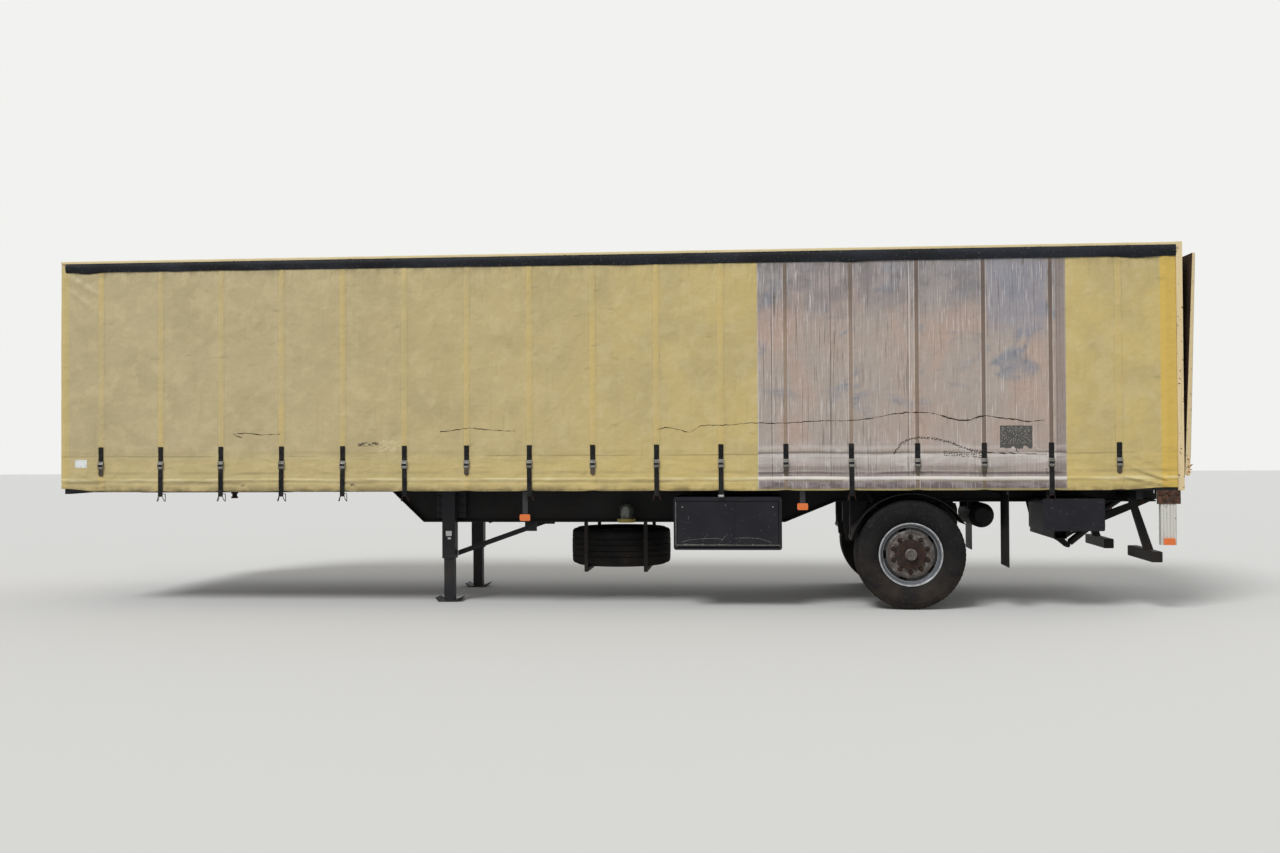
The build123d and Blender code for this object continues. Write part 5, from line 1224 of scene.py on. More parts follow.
@dataclass
class Curtain:
    """One side's curtain: coated cloth with a webbing ridge at every strap, creases, puckers and a wavy hem."""

    side: Side
    finishes: Finishes
    thickness: float = 0.0016
    slack: float = 0.0042
    mesh_pitch: float = 0.037
    fine_pitch: float = 0.0135
    web_half: float = 0.026
    fold: float = 1.233
    fold_half: float = 0.011
    groove: float = 1.206
    lap: float = 1.464

    def __post_init__(self) -> None:
        """Reads the cloth's place from the frame."""
        self.node = f"curtain_{self.side.name.lower()}"
        low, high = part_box(self.node)
        self.front = low.x - FRONT
        self.rear = high.x - FRONT
        self.bottom = low.z + 0.001
        self.top = high.z - 0.001
        self.seat = min(abs(low.y), abs(high.y)) + 0.0004

    def relief(self, station: float, height: float) -> float:
        """How far the cloth stands off its seat.

        Args:
            station: the place along the trailer.
            height: the place above the ground.

        Returns:
            The distance in metres.
        """
        offset = self.to_strap(station)
        bay = math.sin(math.pi * min(offset, STRAP_PITCH / 2) / STRAP_PITCH) ** 2
        hung = 0.2 + 0.8 * ramp(height, self.top, self.top - 0.16)
        taut = 0.45 + 0.55 * bay
        out = self.slack
        out += 0.003 * bay * math.sin(math.pi * (height - self.bottom) / (self.top - self.bottom))
        out += 0.0042 * taut * wobble(station, height * 0.7, 0.55, 1)
        out += 0.0026 * taut * wobble(station, height, 0.16, 2)
        out += 0.0011 * wobble(station + height, height - station, 0.11, 3)
        # Puckers fan out at every webbing below the flap
        out += 0.0034 * ramp(height, 3.02, 3.27) * hump(offset, 0.11) * math.cos(offset * 78)
        if self.side is Side.LEFT or station < 1.0 or station > 9.6:
            out += 1.3 * sum(crease.relief(station, height) for crease in CREASES)
        out *= hung
        wander = 0.006 * wobble(station, 0.0, 0.7, 6)
        broken = 0.35 + 0.65 * ramp(wobble(station, 0.0, 0.42, 14), -0.35, 0.35)
        out += 0.0048 * broken * hump(height - self.fold - wander, self.fold_half)
        out -= 0.0034 * hump(height - self.groove - wander, self.fold_half)
        out -= 0.0024 * (1 - broken) * hump(height - self.lap - 2 * wander, 0.01)
        out += 0.0022 * broken * hump(height - self.lap - 0.042 - wander, 0.016)
        out += 0.0011 * ramp(offset, self.web_half + 0.004, self.web_half)
        out += 0.006 * hump(station - 0.045, 0.024)
        out += 0.0075 * hump(station - (REAR_POCKET + 0.055), 0.034)
        out -= 0.003 * hump(offset, 0.05) * ramp(height, 1.6, 1.52) * ramp(height, 1.36, 1.44)
        return max(0.0002, out)

    def face(self, station: float, height: float) -> float:
        """How far its face is from the trailer's middle plane."""
        return self.seat + self.thickness + self.relief(station, height)

    def place(self, station: float, height: float, lift: float = 0.0) -> Point:
        """A place on its face, or a lift in front of it."""
        return (along(station), self.side.value * (self.face(station, height) + lift), height)

    def hem(self, station: float) -> float:
        """How far the hem rises above its lowest line."""
        rise = 0.003 + 0.003 * wobble(station, 0.0, 0.5, 7) + 0.007 * hump(self.to_strap(station), 0.055)
        return rise + 0.03 * ramp(station, 0.42, 0.05) + 0.026 * ramp(station, 10.15, 10.62)

    def to_strap(self, station: float) -> float:
        """The distance to the nearest strap."""
        return min(abs(station - strap) for strap in STATIONS)

    def lines(self, marks: set[float], low: float, high: float) -> list[float]:
        """Mesh lines through marked places, filled in between.

        Args:
            marks: the places that get a line.
            low: the first line.
            high: the last line.

        Returns:
            The places in order.
        """
        fixed = sorted({low, high} | {mark for mark in marks if low < mark < high})
        result = [low]
        for start, end in zip(fixed, fixed[1:]):
            count = max(1, math.ceil((end - start) / self.mesh_pitch - 0.01))
            result += [start + (end - start) * (step + 1) / count for step in range(count)]
        return result

    def pair(self, height: float, station: float) -> Pair:
        """The cloth's face and back at a point of its mesh, above the hem."""
        x, y, z = self.place(station, height + self.hem(station) * ramp(height, 1.3, self.bottom))
        return (x, y, z), (x, y - self.side.value * self.thickness, z)

    def build(self) -> None:
        edge = self.web_half + 0.004
        marks = {station + shift for station in STATIONS for shift in (-edge, -self.web_half, self.web_half, edge)}
        marks |= {0.02, 0.045, 0.07, REAR_POCKET + 0.02, REAR_POCKET + 0.055, REAR_POCKET + 0.09}
        marks |= set(np.arange(0.08, 0.44, self.fine_pitch)) | set(np.arange(10.14, 10.62, self.fine_pitch))
        stations = self.lines(marks, self.front, self.rear)
        fine = {self.fold + step * 0.006 for step in range(-8, 5)} | {self.bottom + 0.012}
        fine |= set(np.arange(1.25, 1.52, self.fine_pitch)) | set(np.arange(2.94, 3.27, 1.5 * self.fine_pitch))
        shape = Shape()
        shape.quilt([[self.pair(height, station) for station in stations]
                     for height in self.lines(fine, self.bottom, self.top)])
        cloth = shape.build(f"curtain_cloth_{self.side.name.lower()}", self.finishes.cloth, 60)
        settle(cloth, replaces=(self.node,))


@dataclass
class CurtainMends:
    """Cracks in the coating, a stitched tear, a darned patch and a blank sticker on the left curtain."""

    curtain: Curtain
    finishes: Finishes
    crack_width: float = 0.01
    stitch_pitch: float = 0.022
    knot_count: int = 230

    # Each crack is a row of places, each a station and a height
    cracks = (
        ((5.912, 1.702), (5.986, 1.722), (6.06, 1.715)),
        ((6.06, 1.715), (6.223, 1.673), (6.328, 1.738), (6.616, 1.742), (6.799, 1.761), (7.006, 1.754)),
        ((7.006, 1.754), (7.165, 1.759), (7.37, 1.771), (7.547, 1.777), (7.733, 1.774), (7.909, 1.793)),
        ((7.909, 1.793), (8.038, 1.818), (8.14, 1.835), (8.241, 1.848), (8.37, 1.849), (8.498, 1.84)),
        ((8.498, 1.84), (8.599, 1.801), (8.726, 1.769), (8.827, 1.773), (8.904, 1.804), (8.979, 1.811)),
        ((8.979, 1.811), (9.082, 1.793), (9.232, 1.776), (9.354, 1.755), (9.508, 1.768)),
        ((3.814, 1.691), (3.961, 1.71), (4.108, 1.728), (4.303, 1.708), (4.546, 1.697)),
        ((1.776, 1.684), (1.877, 1.693), (2.048, 1.673), (2.229, 1.681)),
        ((1.756, 1.684), (1.8, 1.655), (1.85, 1.65)),
        ((9.262, 1.52), (9.24, 1.492), (9.262, 1.47)),
        ((8.95, 1.47), (9.52, 1.452)),
    )
    tear = ((8.126, 1.468), (8.178, 1.545), (8.242, 1.591), (8.357, 1.614), (8.496, 1.6), (8.624, 1.573),
            (8.724, 1.529), (8.838, 1.49), (8.952, 1.471))
    seam = ((8.585, 1.47), (8.924, 1.451))
    patch = ((9.098, 1.508), (9.392, 1.72))

    def steps(self, path: tuple[tuple[float, float], ...], pitch: float) -> list[tuple[float, float]]:
        """Even steps along a row of places.

        Args:
            path: the places.
            pitch: the distance between steps.

        Returns:
            The steps, each a station and a height.
        """
        result = []
        for start, end in zip(path, path[1:]):
            run = Vector(end) - Vector(start)
            count = max(1, round(run.length / pitch))
            result += [tuple(Vector(start) + run * step / count) for step in range(count)]
        return [*result, path[-1]]

    def crack_lines(self) -> None:
        """Makes the cracks as thin ragged ribbons on the cloth."""
        shape = Shape()
        depth = Vector((0, self.curtain.side.value, 0)) * 0.0009
        for path in self.cracks:
            places, widths = [], []
            for station, height in self.steps(path, 0.014):
                ragged = height + 0.007 * wobble(station, height, 0.035, 8)
                places.append(Vector(self.curtain.place(station, ragged, -0.0002)))
                worst = 0.75 + 0.75 * hump(station - 8.65, 0.6)
                width = self.crack_width * worst * (0.7 + 0.9 * wobble(station, height, 0.04, 9))
                widths.append(max(0.0015, width))
            shape.ribbon(places, [Vector(UP)] * len(places), widths, depth)
        settle(shape.build("curtain_cracks", self.finishes.dark_line))

    def stitches(self) -> None:
        """Sets the stitches of the tear and of the seam below it."""
        thread = Shape()
        thread.prism([(-0.007, -0.003), (0.006, -0.0034), (0.007, 0.003), (-0.005, 0.0026)], 0.0, 0.0016, Axis.Z)
        stitch = thread.build("stitch", self.finishes.dark_line)
        made = Copies("curtain_stitches", stitch, self.finishes.dark_line, spin=0.8, seed=4)
        turn = facing((0, self.curtain.side.value, 0))
        draw = np.random.default_rng(4)
        for path, shift in ((self.tear, 0.006), (self.tear, -0.005), (self.seam, 0.01), (self.seam, -0.006),
                            (self.seam, -0.022)):
            for station, height in self.steps(path, self.stitch_pitch):
                across, rise, length = draw.random(3)
                place = self.curtain.place(station + 0.01 * across, height + shift + 0.006 * (rise - 0.5), 0.0002)
                made.at(place, turn, (0.6 + 1.0 * length, 1.0, 1.0))
        settle(made.build())

    def darned(self, row: float, column: float) -> Pair:
        """A point of the patch, whose foot and head are ragged.

        Args:
            row: its share of the patch's height.
            column: its share of the patch's width.

        Returns:
            The place on its face and the place behind it.
        """
        (first, foot), (last, head) = self.patch
        station = first + (last - first) * column
        ragged = foot + 0.055 * max(0.0, wobble(station, 0.0, 0.06, 11)) + 0.02 * wobble(station, 0, 0.02, 12)
        crown = head - 0.012 * max(0.0, wobble(station, 1.0, 0.05, 13))
        x, y, z = self.curtain.place(station, ragged + (crown - ragged) * row, 0.0011)
        return (x, y, z), (x, y - self.curtain.side.value * 0.0012, z)

    def darning(self) -> None:
        shape = Shape()
        shape.quilt([[self.darned(row / 18, column / 26) for column in range(27)] for row in range(19)])
        piece = settle(shape.build("curtain_patch", self.finishes.darning))

    def knots(self) -> None:
        """Scatters the darning's knots over the patch."""
        made = Copies("darning_knots", dome_head(0.003, 0.0016), self.finishes.thread)
        (first, foot), (last, head) = self.patch
        draw = np.random.default_rng(12)
        turn = facing((0, self.curtain.side.value, 0))
        for _ in range(self.knot_count):
            share = draw.random(2)
            station = first + 0.01 + (last - first - 0.02) * share[0]
            height = foot + 0.04 + (head - foot - 0.05) * share[1]
            stretch = (0.7 + 1.1 * draw.random(), 0.7 + 0.9 * draw.random(), 1.0)
            made.at(self.curtain.place(station, height, 0.001), turn, stretch)
        settle(made.build())

    def sticker(self) -> None:
        """Makes the small blank sticker."""
        shape = Shape()
        shape.quilt([[tuple(self.curtain.place(station, height, lift) for lift in (0.001, 0.0002))
                      for station in (0.146, 0.207, 0.268)] for height in (1.358, 1.437)])
        settle(shape.build("blank_sticker", self.finishes.white))

    def build(self) -> None:
        """Makes all of them."""
        self.crack_lines()
        self.stitches()
        self.darning()
        self.knots()
        self.sticker()


@dataclass
class Straps:
    """The curtains' webbing straps: a sewn tab, a buckle, and a strap down to a wire hook or a loose tail."""

    curtains: dict[Side, Curtain]
    finishes: Finishes
    head: float = 1.56
    buckle: float = 1.412
    foot: float = 1.072
    width: float = 0.048
    web: float = 0.0024
    buckle_length: float = 0.066
    short: tuple[tuple[Side, tuple[int, ...]], ...] = (
        (Side.LEFT, (0, 6, 8, 11, 13, 14, 16)),
        (Side.RIGHT, (4, 12)),
    )
    over_box: int = 10

    def standoff(self, side: Side, station: float, low: float, high: float) -> float:
        """How far out the cloth reaches behind a strap between two heights."""
        heights = np.linspace(max(low, self.curtains[side].bottom), high, 9)
        return max(self.curtains[side].face(station + shift, z) for z in heights for shift in (-0.02, 0.0, 0.02))

    def tab(self) -> Object:
        """A doubled and box-stitched tab, its head at the origin.

        Returns:
            The shape.
        """
        half = self.width / 2
        run = self.buckle - self.head
        shape = Shape()
        shape.block((-half, run, 0.0), (half, -0.004, self.web))
        shape.block((-half, -0.058, self.web), (half, 0.0, 2 * self.web))
        shape.block((-half, run - 0.004, self.web), (half, -0.11, 1.8 * self.web))
        for low in (-0.052, -0.006):
            seam = 2 * self.web
            shape.block((-half + 0.005, low, seam), (half - 0.005, low + 0.002, seam + 0.0006))
        return shape.build("strap_tab", self.finishes.webbing, 30, 0.0006)

    def frame(self) -> Object:
        """The buckle's pressed frame: two cheeks, a top bar, a roller and a folded lever.

        Returns:
            The shape.
        """
        half = self.width / 2 + 0.003
        shape = Shape()
        cheek = [(0.004, 0.002), (0.004, 0.012), (-0.03, 0.02), (-0.064, 0.018), (-0.074, 0.008), (-0.074, 0.002)]
        for low in (-half, half - 0.002):
            shape.prism(cheek, low, low + 0.002, Axis.X)
        shape.block((-half, -0.006, 0.006), (half, 0.006, 0.0105))
        lever = [(-0.016, 0.017), (-0.02, 0.0205), (-0.06, 0.0195), (-0.072, 0.01), (-0.069, 0.0095),
                 (-0.058, 0.017)]
        shape.prism(lever, -half + 0.003, half - 0.003, Axis.X)
        shape.lathe([(-half, 0.0), (-half, 0.004), (half, 0.004), (half, 0.0)], 10, (0, -0.012, 0.014), Axis.X)
        return shape.build("buckle_frame", self.finishes.zinc, 30, 0.0005)

    def lever_web(self) -> Object:
        """The webbing that doubles back through the buckle.

        Returns:
            The shape.
        """
        half = self.width / 2 - 0.001
        shape = Shape()
        shape.prism([(-0.01, 0.003), (-0.014, 0.015), (-0.026, 0.0215), (-0.046, 0.0212), (-0.046, 0.019),
                     (-0.027, 0.019), (-0.017, 0.0135), (-0.014, 0.003)], -half, half, Axis.X)
        return shape.build("buckle_web", self.finishes.webbing, 30)

    def lower(self, length: float, rounded: bool) -> Object:
        """The webbing below the buckle, its head at the origin.

        Args:
            length: how far it hangs.
            rounded: whether it ends loose in a rounded tail, or in a loop round a hook.

        Returns:
            The shape.
        """
        half = self.width / 2 - 0.001
        shape = Shape()
        places, widths = [], []
        for drop in np.linspace(0, length, 23):
            wave = 0.0022 * math.sin(drop * 17) * ramp(drop, 0.0, 0.1)
            end = (length - drop) / half
            widths.append(2 * half * math.sqrt(max(0.02, 1 - max(0.0, 1 - end) ** 2)) if rounded else 2 * half)
            places.append(Vector((0, -drop, 0.004 + wave)))
        shape.ribbon(places, [Vector((1, 0, 0))] * len(places), widths, Vector((0, 0, self.web)))
        if not rounded:
            shape.block((-half, -length, 0.0035), (half, -length + 0.055, 0.0035 + 2.2 * self.web))
        return shape.build("strap_lower", self.finishes.webbing, 30)

    def hook(self) -> Object:
        """A bent wire claw that grips the side rail from below, its bar in the strap's loop at the origin.

        Returns:
            The shape.
        """
        half = self.width / 2 - 0.002
        bends = ((1.0, 0.004, 0.006), (1.25, -0.02, 0.005), (1.75, -0.043, -0.004), (1.7, -0.046, -0.022),
                 (1.5, -0.012, -0.034), (1.4, 0.026, -0.038))
        path = [Vector((half * x, y, z)) for x, y, z in bends[::-1]]
        path += [Vector((-half * x, y, z)) for x, y, z in bends]
        shape = Shape()
        shape.tube([*path, path[0]], 0.0036, 6)
        return shape.build("strap_hook", self.finishes.iron)

    def crimp(self) -> Object:
        """The bright crimp on the strap's end in front of the storage box, its middle at the origin.

        Returns:
            The shape.
        """
        half = self.width / 2 + 0.001
        shape = Shape()
        shape.block((-half, -0.011, 0.002), (half, 0.011, 0.011))
        shape.block((-half + 0.006, -0.006, 0.011), (half - 0.006, 0.006, 0.0125))
        return shape.build("strap_crimp", self.finishes.alloy, 30, 0.0015)

    def build(self) -> None:
        """Sets all straps out on both sides."""
        webbing = self.finishes.webbing
        start = self.buckle - self.buckle_length
        reach = start - self.foot
        tabs = Copies("strap_tabs", self.tab(), webbing)
        frames = Copies("strap_buckles", self.frame(), self.finishes.zinc)
        loops = Copies("strap_loops", self.lever_web(), webbing)
        long_ends = Copies("strap_ends", self.lower(reach, False), webbing)
        tails = Copies("strap_tails", self.lower(0.074, True), self.finishes.faded)
        hooks = Copies("strap_hooks", self.hook(), self.finishes.iron)
        crimps = Copies("strap_crimp_end", self.crimp(), self.finishes.alloy)
        for side, short in self.short:
            out = (0, side.value, 0)
            for index, station in enumerate(STATIONS):
                back = side.value * self.standoff(side, station, self.buckle - 0.08, self.head)
                tilt = 0.01 * wobble(station, side.value, 0.4, 20)
                x = along(station) + tilt * (self.buckle - self.head)
                tabs.at((along(station), back, self.head), facing(out, (tilt, 0, 1)))
                for copies in (frames, loops):
                    copies.at((x, back, self.buckle), facing(out, (tilt, 0, 1)))
                if index in short:
                    swing = 0.05 * wobble(station, side.value, 0.3, 21)
                    tails.at((x, back, start), facing(out, (swing, 0, 1)))
                    continue
                lean = 0.045 * wobble(station, side.value, 0.5, 22)
                depth = side.value * (self.standoff(side, station, 1.12, start) - 0.002)
                long_ends.at((x, depth, start), facing(out, (lean, 0, 1)))
                end = (x - lean * reach, depth, self.foot)
                hooks.at(end, facing(out, (lean, 0, 1)))
                if index == self.over_box and side is Side.LEFT:
                    crimps.at(end, facing(out, (lean, 0, 1)))
        settle(tabs.build(), replaces=("straps",))
        for copies, slot in ((frames, "bare_steel"), (loops, "webbing"), (long_ends, "webbing"), (tails, "webbing"),
                             (hooks, "bare_steel"), (crimps, "bare_steel")):
            settle(copies.build())


@dataclass
class RainFlap:
    """One side's rubber flap over the curtain's top: two strips that lap, with moss on their upper edge."""

    side: Side
    finishes: Finishes
    seat: float = 1.2702
    thickness: float = 0.003
    bulge: float = 0.0115
    joint: float = 7.77
    overlap: float = 0.05
    rows: int = 10
    clump_count: int = 260

    # Where the lower edge dips: the station, the half length and the depth
    dips = ((0.28, 0.11, 0.015), (1.2, 0.1, 0.005), (5.6, 0.2, 0.006), (7.75, 0.12, 0.01), (10.35, 0.15, 0.017))

    def __post_init__(self) -> None:
        """Reads the flap's place from the frame."""
        low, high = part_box("rain_flaps")
        self.front = low.x - FRONT
        self.rear = high.x - FRONT
        self.top = high.z

    def height(self, station: float) -> float:
        """How deep the flap hangs at a station."""
        deep = 0.086 + 0.016 * ramp(station, 0.0, 8.0) + 0.003 * wobble(station, 0.0, 0.35, 30)
        return deep + sum(depth * hump(station - middle, half) for middle, half, depth in self.dips)

    def pair(self, share: float, station: float, lift: float) -> Pair:
        """A point of a strip.

        Args:
            share: how far down the strip, from 0 to 1.
            station: the place along the trailer.
            lift: how far the strip stands in front of the other one.

        Returns:
            The place on its face and the place behind it.
        """
        out = self.seat + self.thickness + lift + self.bulge * math.sin(math.pi * share ** 0.8)
        out += 0.003 * share * wobble(station, 0.0, 0.3, 31) + 0.0008 * wobble(station, share, 0.12, 32)
        ragged = 0.0016 * wobble(station, 0.0, 0.03, 33) * (share < 0.01)
        x, z = along(station), self.top - 0.002 + ragged - share * self.height(station)
        return (x, self.side.value * out, z), (x, self.side.value * (out - self.thickness), z)

    def strip(self, name: str, start: float, end: float, lift: float) -> None:
        """Args:
            name: the piece's name.
            start: the station where it starts.
            end: the station where it ends.
            lift: how far it stands in front of the other strip.
        """
        stations = np.linspace(start, end, round((end - start) / 0.045) + 1)
        shape = Shape()
        shape.quilt([[self.pair(row / self.rows, station, lift) for station in stations]
                     for row in range(self.rows + 1)])
        strip = shape.build(name, self.finishes.flap, 60)
        settle(strip, replaces=("rain_flaps",) if self.side is Side.LEFT and lift else ())
        deep = sum(self.height(start + (end - start) * step / 20) for step in range(21)) / 21

    def moss(self) -> None:
        """Scatters clumps of moss along the upper edge, more of them towards the rear."""
        clump = Shape()
        clump.lathe([(0, 0), (0, 0.9), (0.35, 1), (0.75, 0.7), (0.95, 0.3), (1, 0)], 7)
        made = Copies(f"flap_moss_{self.side.name.lower()}", clump.build("clump", self.finishes.moss),
                      self.finishes.moss, size=0.0075, spin=math.pi, seed=6)
        draw = np.random.default_rng(31 + self.side.value)
        for _ in range(self.clump_count):
            station = self.front + 0.05 + (self.rear - self.front - 0.1) * draw.random() ** 0.62
            stretch = (0.6 + 1.8 * draw.random(), 0.4 + 0.5 * draw.random(), 0.25 + 0.55 * draw.random() ** 2)
            made.at((along(station), self.side.value * (self.seat + 0.003), self.top - 0.0035), stretch=stretch)
        settle(made.build())

    def build(self) -> None:
        """Makes both strips and the moss."""
        name = self.side.name.lower()
        self.strip(f"rain_flap_{name}_front", self.front, self.joint + self.overlap / 2, 0.0)
        self.strip(f"rain_flap_{name}_rear", self.joint - self.overlap / 2, self.rear, 0.0036)
        self.moss()


@dataclass
class RoofTarp:
    """The roof tarpaulin: stretched over the bows, sagging between them, its skirts turned down at both edges."""

    finishes: Finishes
    thickness: float = 0.0018
    sag: float = 0.0075
    fold_radius: float = 0.01
    columns: int = 240

    def __post_init__(self) -> None:
        """Reads the tarpaulin's place from the frame."""
        low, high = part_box("roof_tarp")
        self.front, self.rear = low.x - FRONT, high.x - FRONT
        self.half, self.skirt, self.top = high.y, low.z, high.z
        bow_low, bow_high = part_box("roof_rails")
        self.bow_front = bow_low.x - FRONT
        self.bow_pitch = (bow_high.x - bow_low.x) / ROOF_BAYS

    def section(self) -> list[tuple[float, float]]:
        """Half of its section, from the middle outwards.

        Returns:
            Its points, each a distance from the middle plane and a drop below the top.
        """
        flat = self.half - self.fold_radius
        across = [(flat * step / 16, 0.0) for step in range(17)]
        turn = [(flat + self.fold_radius * math.sin(angle), self.fold_radius * (1 - math.cos(angle)))
                for angle in (0.5, 1.1, math.pi / 2)]
        drop = self.top - 0.015 - self.skirt
        return across + turn + [(self.half, (self.fold_radius + drop) / 2), (self.half, drop)]

    def pair(self, y: float, drop: float, station: float) -> Pair:
        """A point of the tarpaulin.

        Args:
            y: the distance from the middle plane.
            drop: how far its skirt hangs there.
            station: the place along the trailer.

        Returns:
            The place on its face and the place behind it.
        """
        share = min(1.0, abs(y) / self.half)
        between = math.sin(math.pi * (station - self.bow_front) / self.bow_pitch + math.pi / 2) ** 2
        low = self.sag * between * (1 - share ** 6) + 0.0012 * (1 + wobble(station, y, 0.18, 41))
        edge = 0.0025 * wobble(station, 0.0, 0.16, 42) * ramp(drop, 0.004, 0.02)
        z = self.top - 0.0155 + 0.015 * (1 - share ** 2) - low - drop + (0.0015 if drop else 0.0)
        side = math.copysign(1.0, y)
        inward = 0.0 if drop < 0.004 else self.thickness
        down = self.thickness * (1 - ramp(drop, 0.0, self.fold_radius))
        return (along(station), y + side * edge, z), (along(station), y + side * (edge - inward), z - down)

    def build(self) -> None:
        half = self.section()
        section = [(-y, drop) for y, drop in half[:0:-1]] + half
        stations = np.linspace(self.front, self.rear, self.columns + 1)
        shape = Shape()
        shape.quilt([[self.pair(y, drop, station) for station in stations] for y, drop in section])
        tarp = shape.build("roof_tarpaulin", self.finishes.roof, 60)
        settle(tarp, replaces=("roof_tarp",))


@dataclass
class Wheel:
    """A wide single wheel: a grooved tyre with shoulder blocks, and on a running wheel its nuts, valve and cap."""

    name: str
    body: str
    axis: Axis
    outward: int
    finishes: Finishes
    nut_circle: float = 0.1675
    nut_count: int = 10
    disc_face: float = 0.12
    groove_half: float = 0.0055
    groove_depth: float = 0.012
    tread_half: float = 0.1445
    block_count: int = 66

    # The side's outline: how far in from its widest point and how far below the tread
    flank = ((0.0745, 0.2287), (0.0475, 0.2287), (0.0475, 0.212), (0.03, 0.2), (0.012, 0.165), (0.003, 0.135),
             (0.0, 0.1085), (0.001, 0.082), (0.0042, 0.066), (0.0022, 0.063), (0.0034, 0.058), (0.0078, 0.056),
             (0.013, 0.039), (0.02, 0.025), (0.027, 0.015), (0.034, 0.012), (0.04, 0.0068))
    lining = ((0.072, 0.027), (0.024, 0.1085), (0.0745, 0.202))

    def __post_init__(self) -> None:
        """Reads the wheel's place from the frame."""
        low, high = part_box(f"{self.name}_tyre")
        self.centre = (low + high) / 2
        self.half = (high - low)[self.axis.value] / 2
        self.radius = max(high - low) / 2

    def crown(self, offset: float) -> float:
        """The tread's radius at a distance from its middle."""
        return self.radius - 0.0045 * (offset / self.tread_half) ** 2

    def tread(self) -> list[tuple[float, float]]:
        """The tread's section between its shoulders, with four grooves.

        Returns:
            Its points, each a place along the axis and a radius.
        """
        points = [(-self.tread_half, self.crown(self.tread_half))]
        for middle in (-0.088, -0.03, 0.03, 0.088):
            for share, deep in ((-1, 0), (-0.6, self.groove_depth), (0.6, self.groove_depth), (1, 0)):
                points.append((middle + share * self.groove_half, self.crown(middle) - deep))
        return [*points, (self.tread_half, self.crown(self.tread_half))]

    def tyre(self) -> None:
        """Turns the tyre, which replaces the plain one."""
        side, lining = ([(self.half - inset, self.radius - drop) for inset, drop in rows]
                        for rows in (self.flank, self.lining))
        profile = [(-y, r) for y, r in side] + self.tread() + side[::-1]
        profile += lining[::-1] + [(-y, r) for y, r in lining]
        shape = Shape()
        shape.lathe(profile, 96, self.centre, self.axis, True)
        tyre = shape.build(f"{self.name}_tread_tyre", self.finishes.tyre, 38)
        settle(tyre, self.body, (f"{self.name}_tyre",))

    def spoke(self, angle: float) -> Vector:
        """The direction from the axle at an angle."""
        rise = Vector(UP if self.axis is Axis.Y else (0, 1, 0))
        return Vector((math.cos(angle), 0, 0)) + rise * math.sin(angle)

    def shaft(self) -> Vector:
        """The direction out of the wheel's outer side."""
        return Vector([self.outward * (axis == self.axis.value) for axis in range(3)])

    def shoulder(self) -> None:
        """Sets the small blocks round both shoulders."""
        lug = Shape()
        lug.prism([(-0.009, -0.013), (0.009, -0.013), (0.007, 0.013), (-0.007, 0.013)], -0.006, 0.0022, Axis.Z)
        made = Copies(f"{self.name}_shoulder_blocks", lug.build("shoulder_block", self.finishes.tyre),
                      self.finishes.tyre)
        for step in range(self.block_count):
            out = self.spoke(math.tau * step / self.block_count)
            for end in (-self.shaft(), self.shaft()):
                place = self.centre + out * (self.radius - 0.0135) + end * (self.half - 0.0305)
                made.at(place, facing(out + end * 0.75, self.shaft()))
        settle(made.build(), self.body)

    def nut(self) -> Object:
        """A wheel nut on its captive washer, with the stud's end.

        Returns:
            The shape.
        """
        shape = Shape()
        shape.lathe([(0, 0), (0, 0.0235), (0.005, 0.0225), (0.006, 0.018), (0.006, 0)], 16)
        shape.lathe([(0.006, 0), (0.006, 0.0185), (0.024, 0.0185), (0.027, 0.015), (0.027, 0)], 6)
        shape.lathe([(0.027, 0), (0.027, 0.0108), (0.036, 0.0104), (0.038, 0.0088), (0.038, 0)], 12)
        return shape.build("wheel_nut", self.finishes.iron, 25)

    def nuts(self) -> None:
        """Sets the ten nuts on their circle."""
        made = Copies(f"{self.name}_wheel_nuts", self.nut(), self.finishes.iron, spin=math.pi, seed=3)
        face = self.centre + self.shaft() * self.disc_face
        for step in range(self.nut_count):
            spoke = self.spoke(math.radians(18) + math.tau * step / self.nut_count)
            made.at(face + spoke * self.nut_circle, facing(self.shaft(), spoke))
        settle(made.build(), self.body)

    def cap(self) -> None:
        """Makes the hub's pressed cap with its rolled rim."""
        low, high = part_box(f"{self.name}_hub")
        end = high.y if self.outward > 0 else low.y
        profile = [(0.0004, 0), (0.0004, 0.0522), (-0.03, 0.0522), (-0.03, 0.056), (-0.024, 0.056),
                   (-0.022, 0.0535), (0.002, 0.053), (0.0045, 0.049), (0.0045, 0.04), (0.0022, 0.038),
                   (0.0022, 0.01), (0.0052, 0.008), (0.0052, 0)]
        shape = Shape()
        shape.lathe([(self.outward * y, r) for y, r in profile], 40, (self.centre.x, end, self.centre.z), Axis.Y)
        settle(shape.build(f"{self.name}_hub_cap", self.finishes.cap, 25), self.body)

    def valve(self) -> None:
        """Makes the bent valve that comes out of a hand hole."""
        base = self.centre + self.shaft() * (self.disc_face - 0.03)
        path = [base + self.spoke(math.pi / 2) * rise + self.shaft() * out
                for rise, out in ((0.2465, 0), (0.244, 0.018), (0.239, 0.034), (0.233, 0.046))]
        shape = Shape()
        shape.tube(path, 0.0042, 8)
        shape.tube([path[-1], path[-1] + (path[-1] - path[-2]) * 0.9], 0.0058, 8)
        settle(shape.build(f"{self.name}_valve", self.finishes.zinc), self.body)

    def build(self) -> None:
        """Makes the wheel's pieces and dresses its rim and hub."""
        self.tyre()
        self.shoulder()
        dress(self.finishes.rim, f"{self.name}_rim")
        self.valve()
        if self.body == "root":
            return
        dress(self.finishes.iron, f"{self.name}_hub")
        self.nuts()
        self.cap()


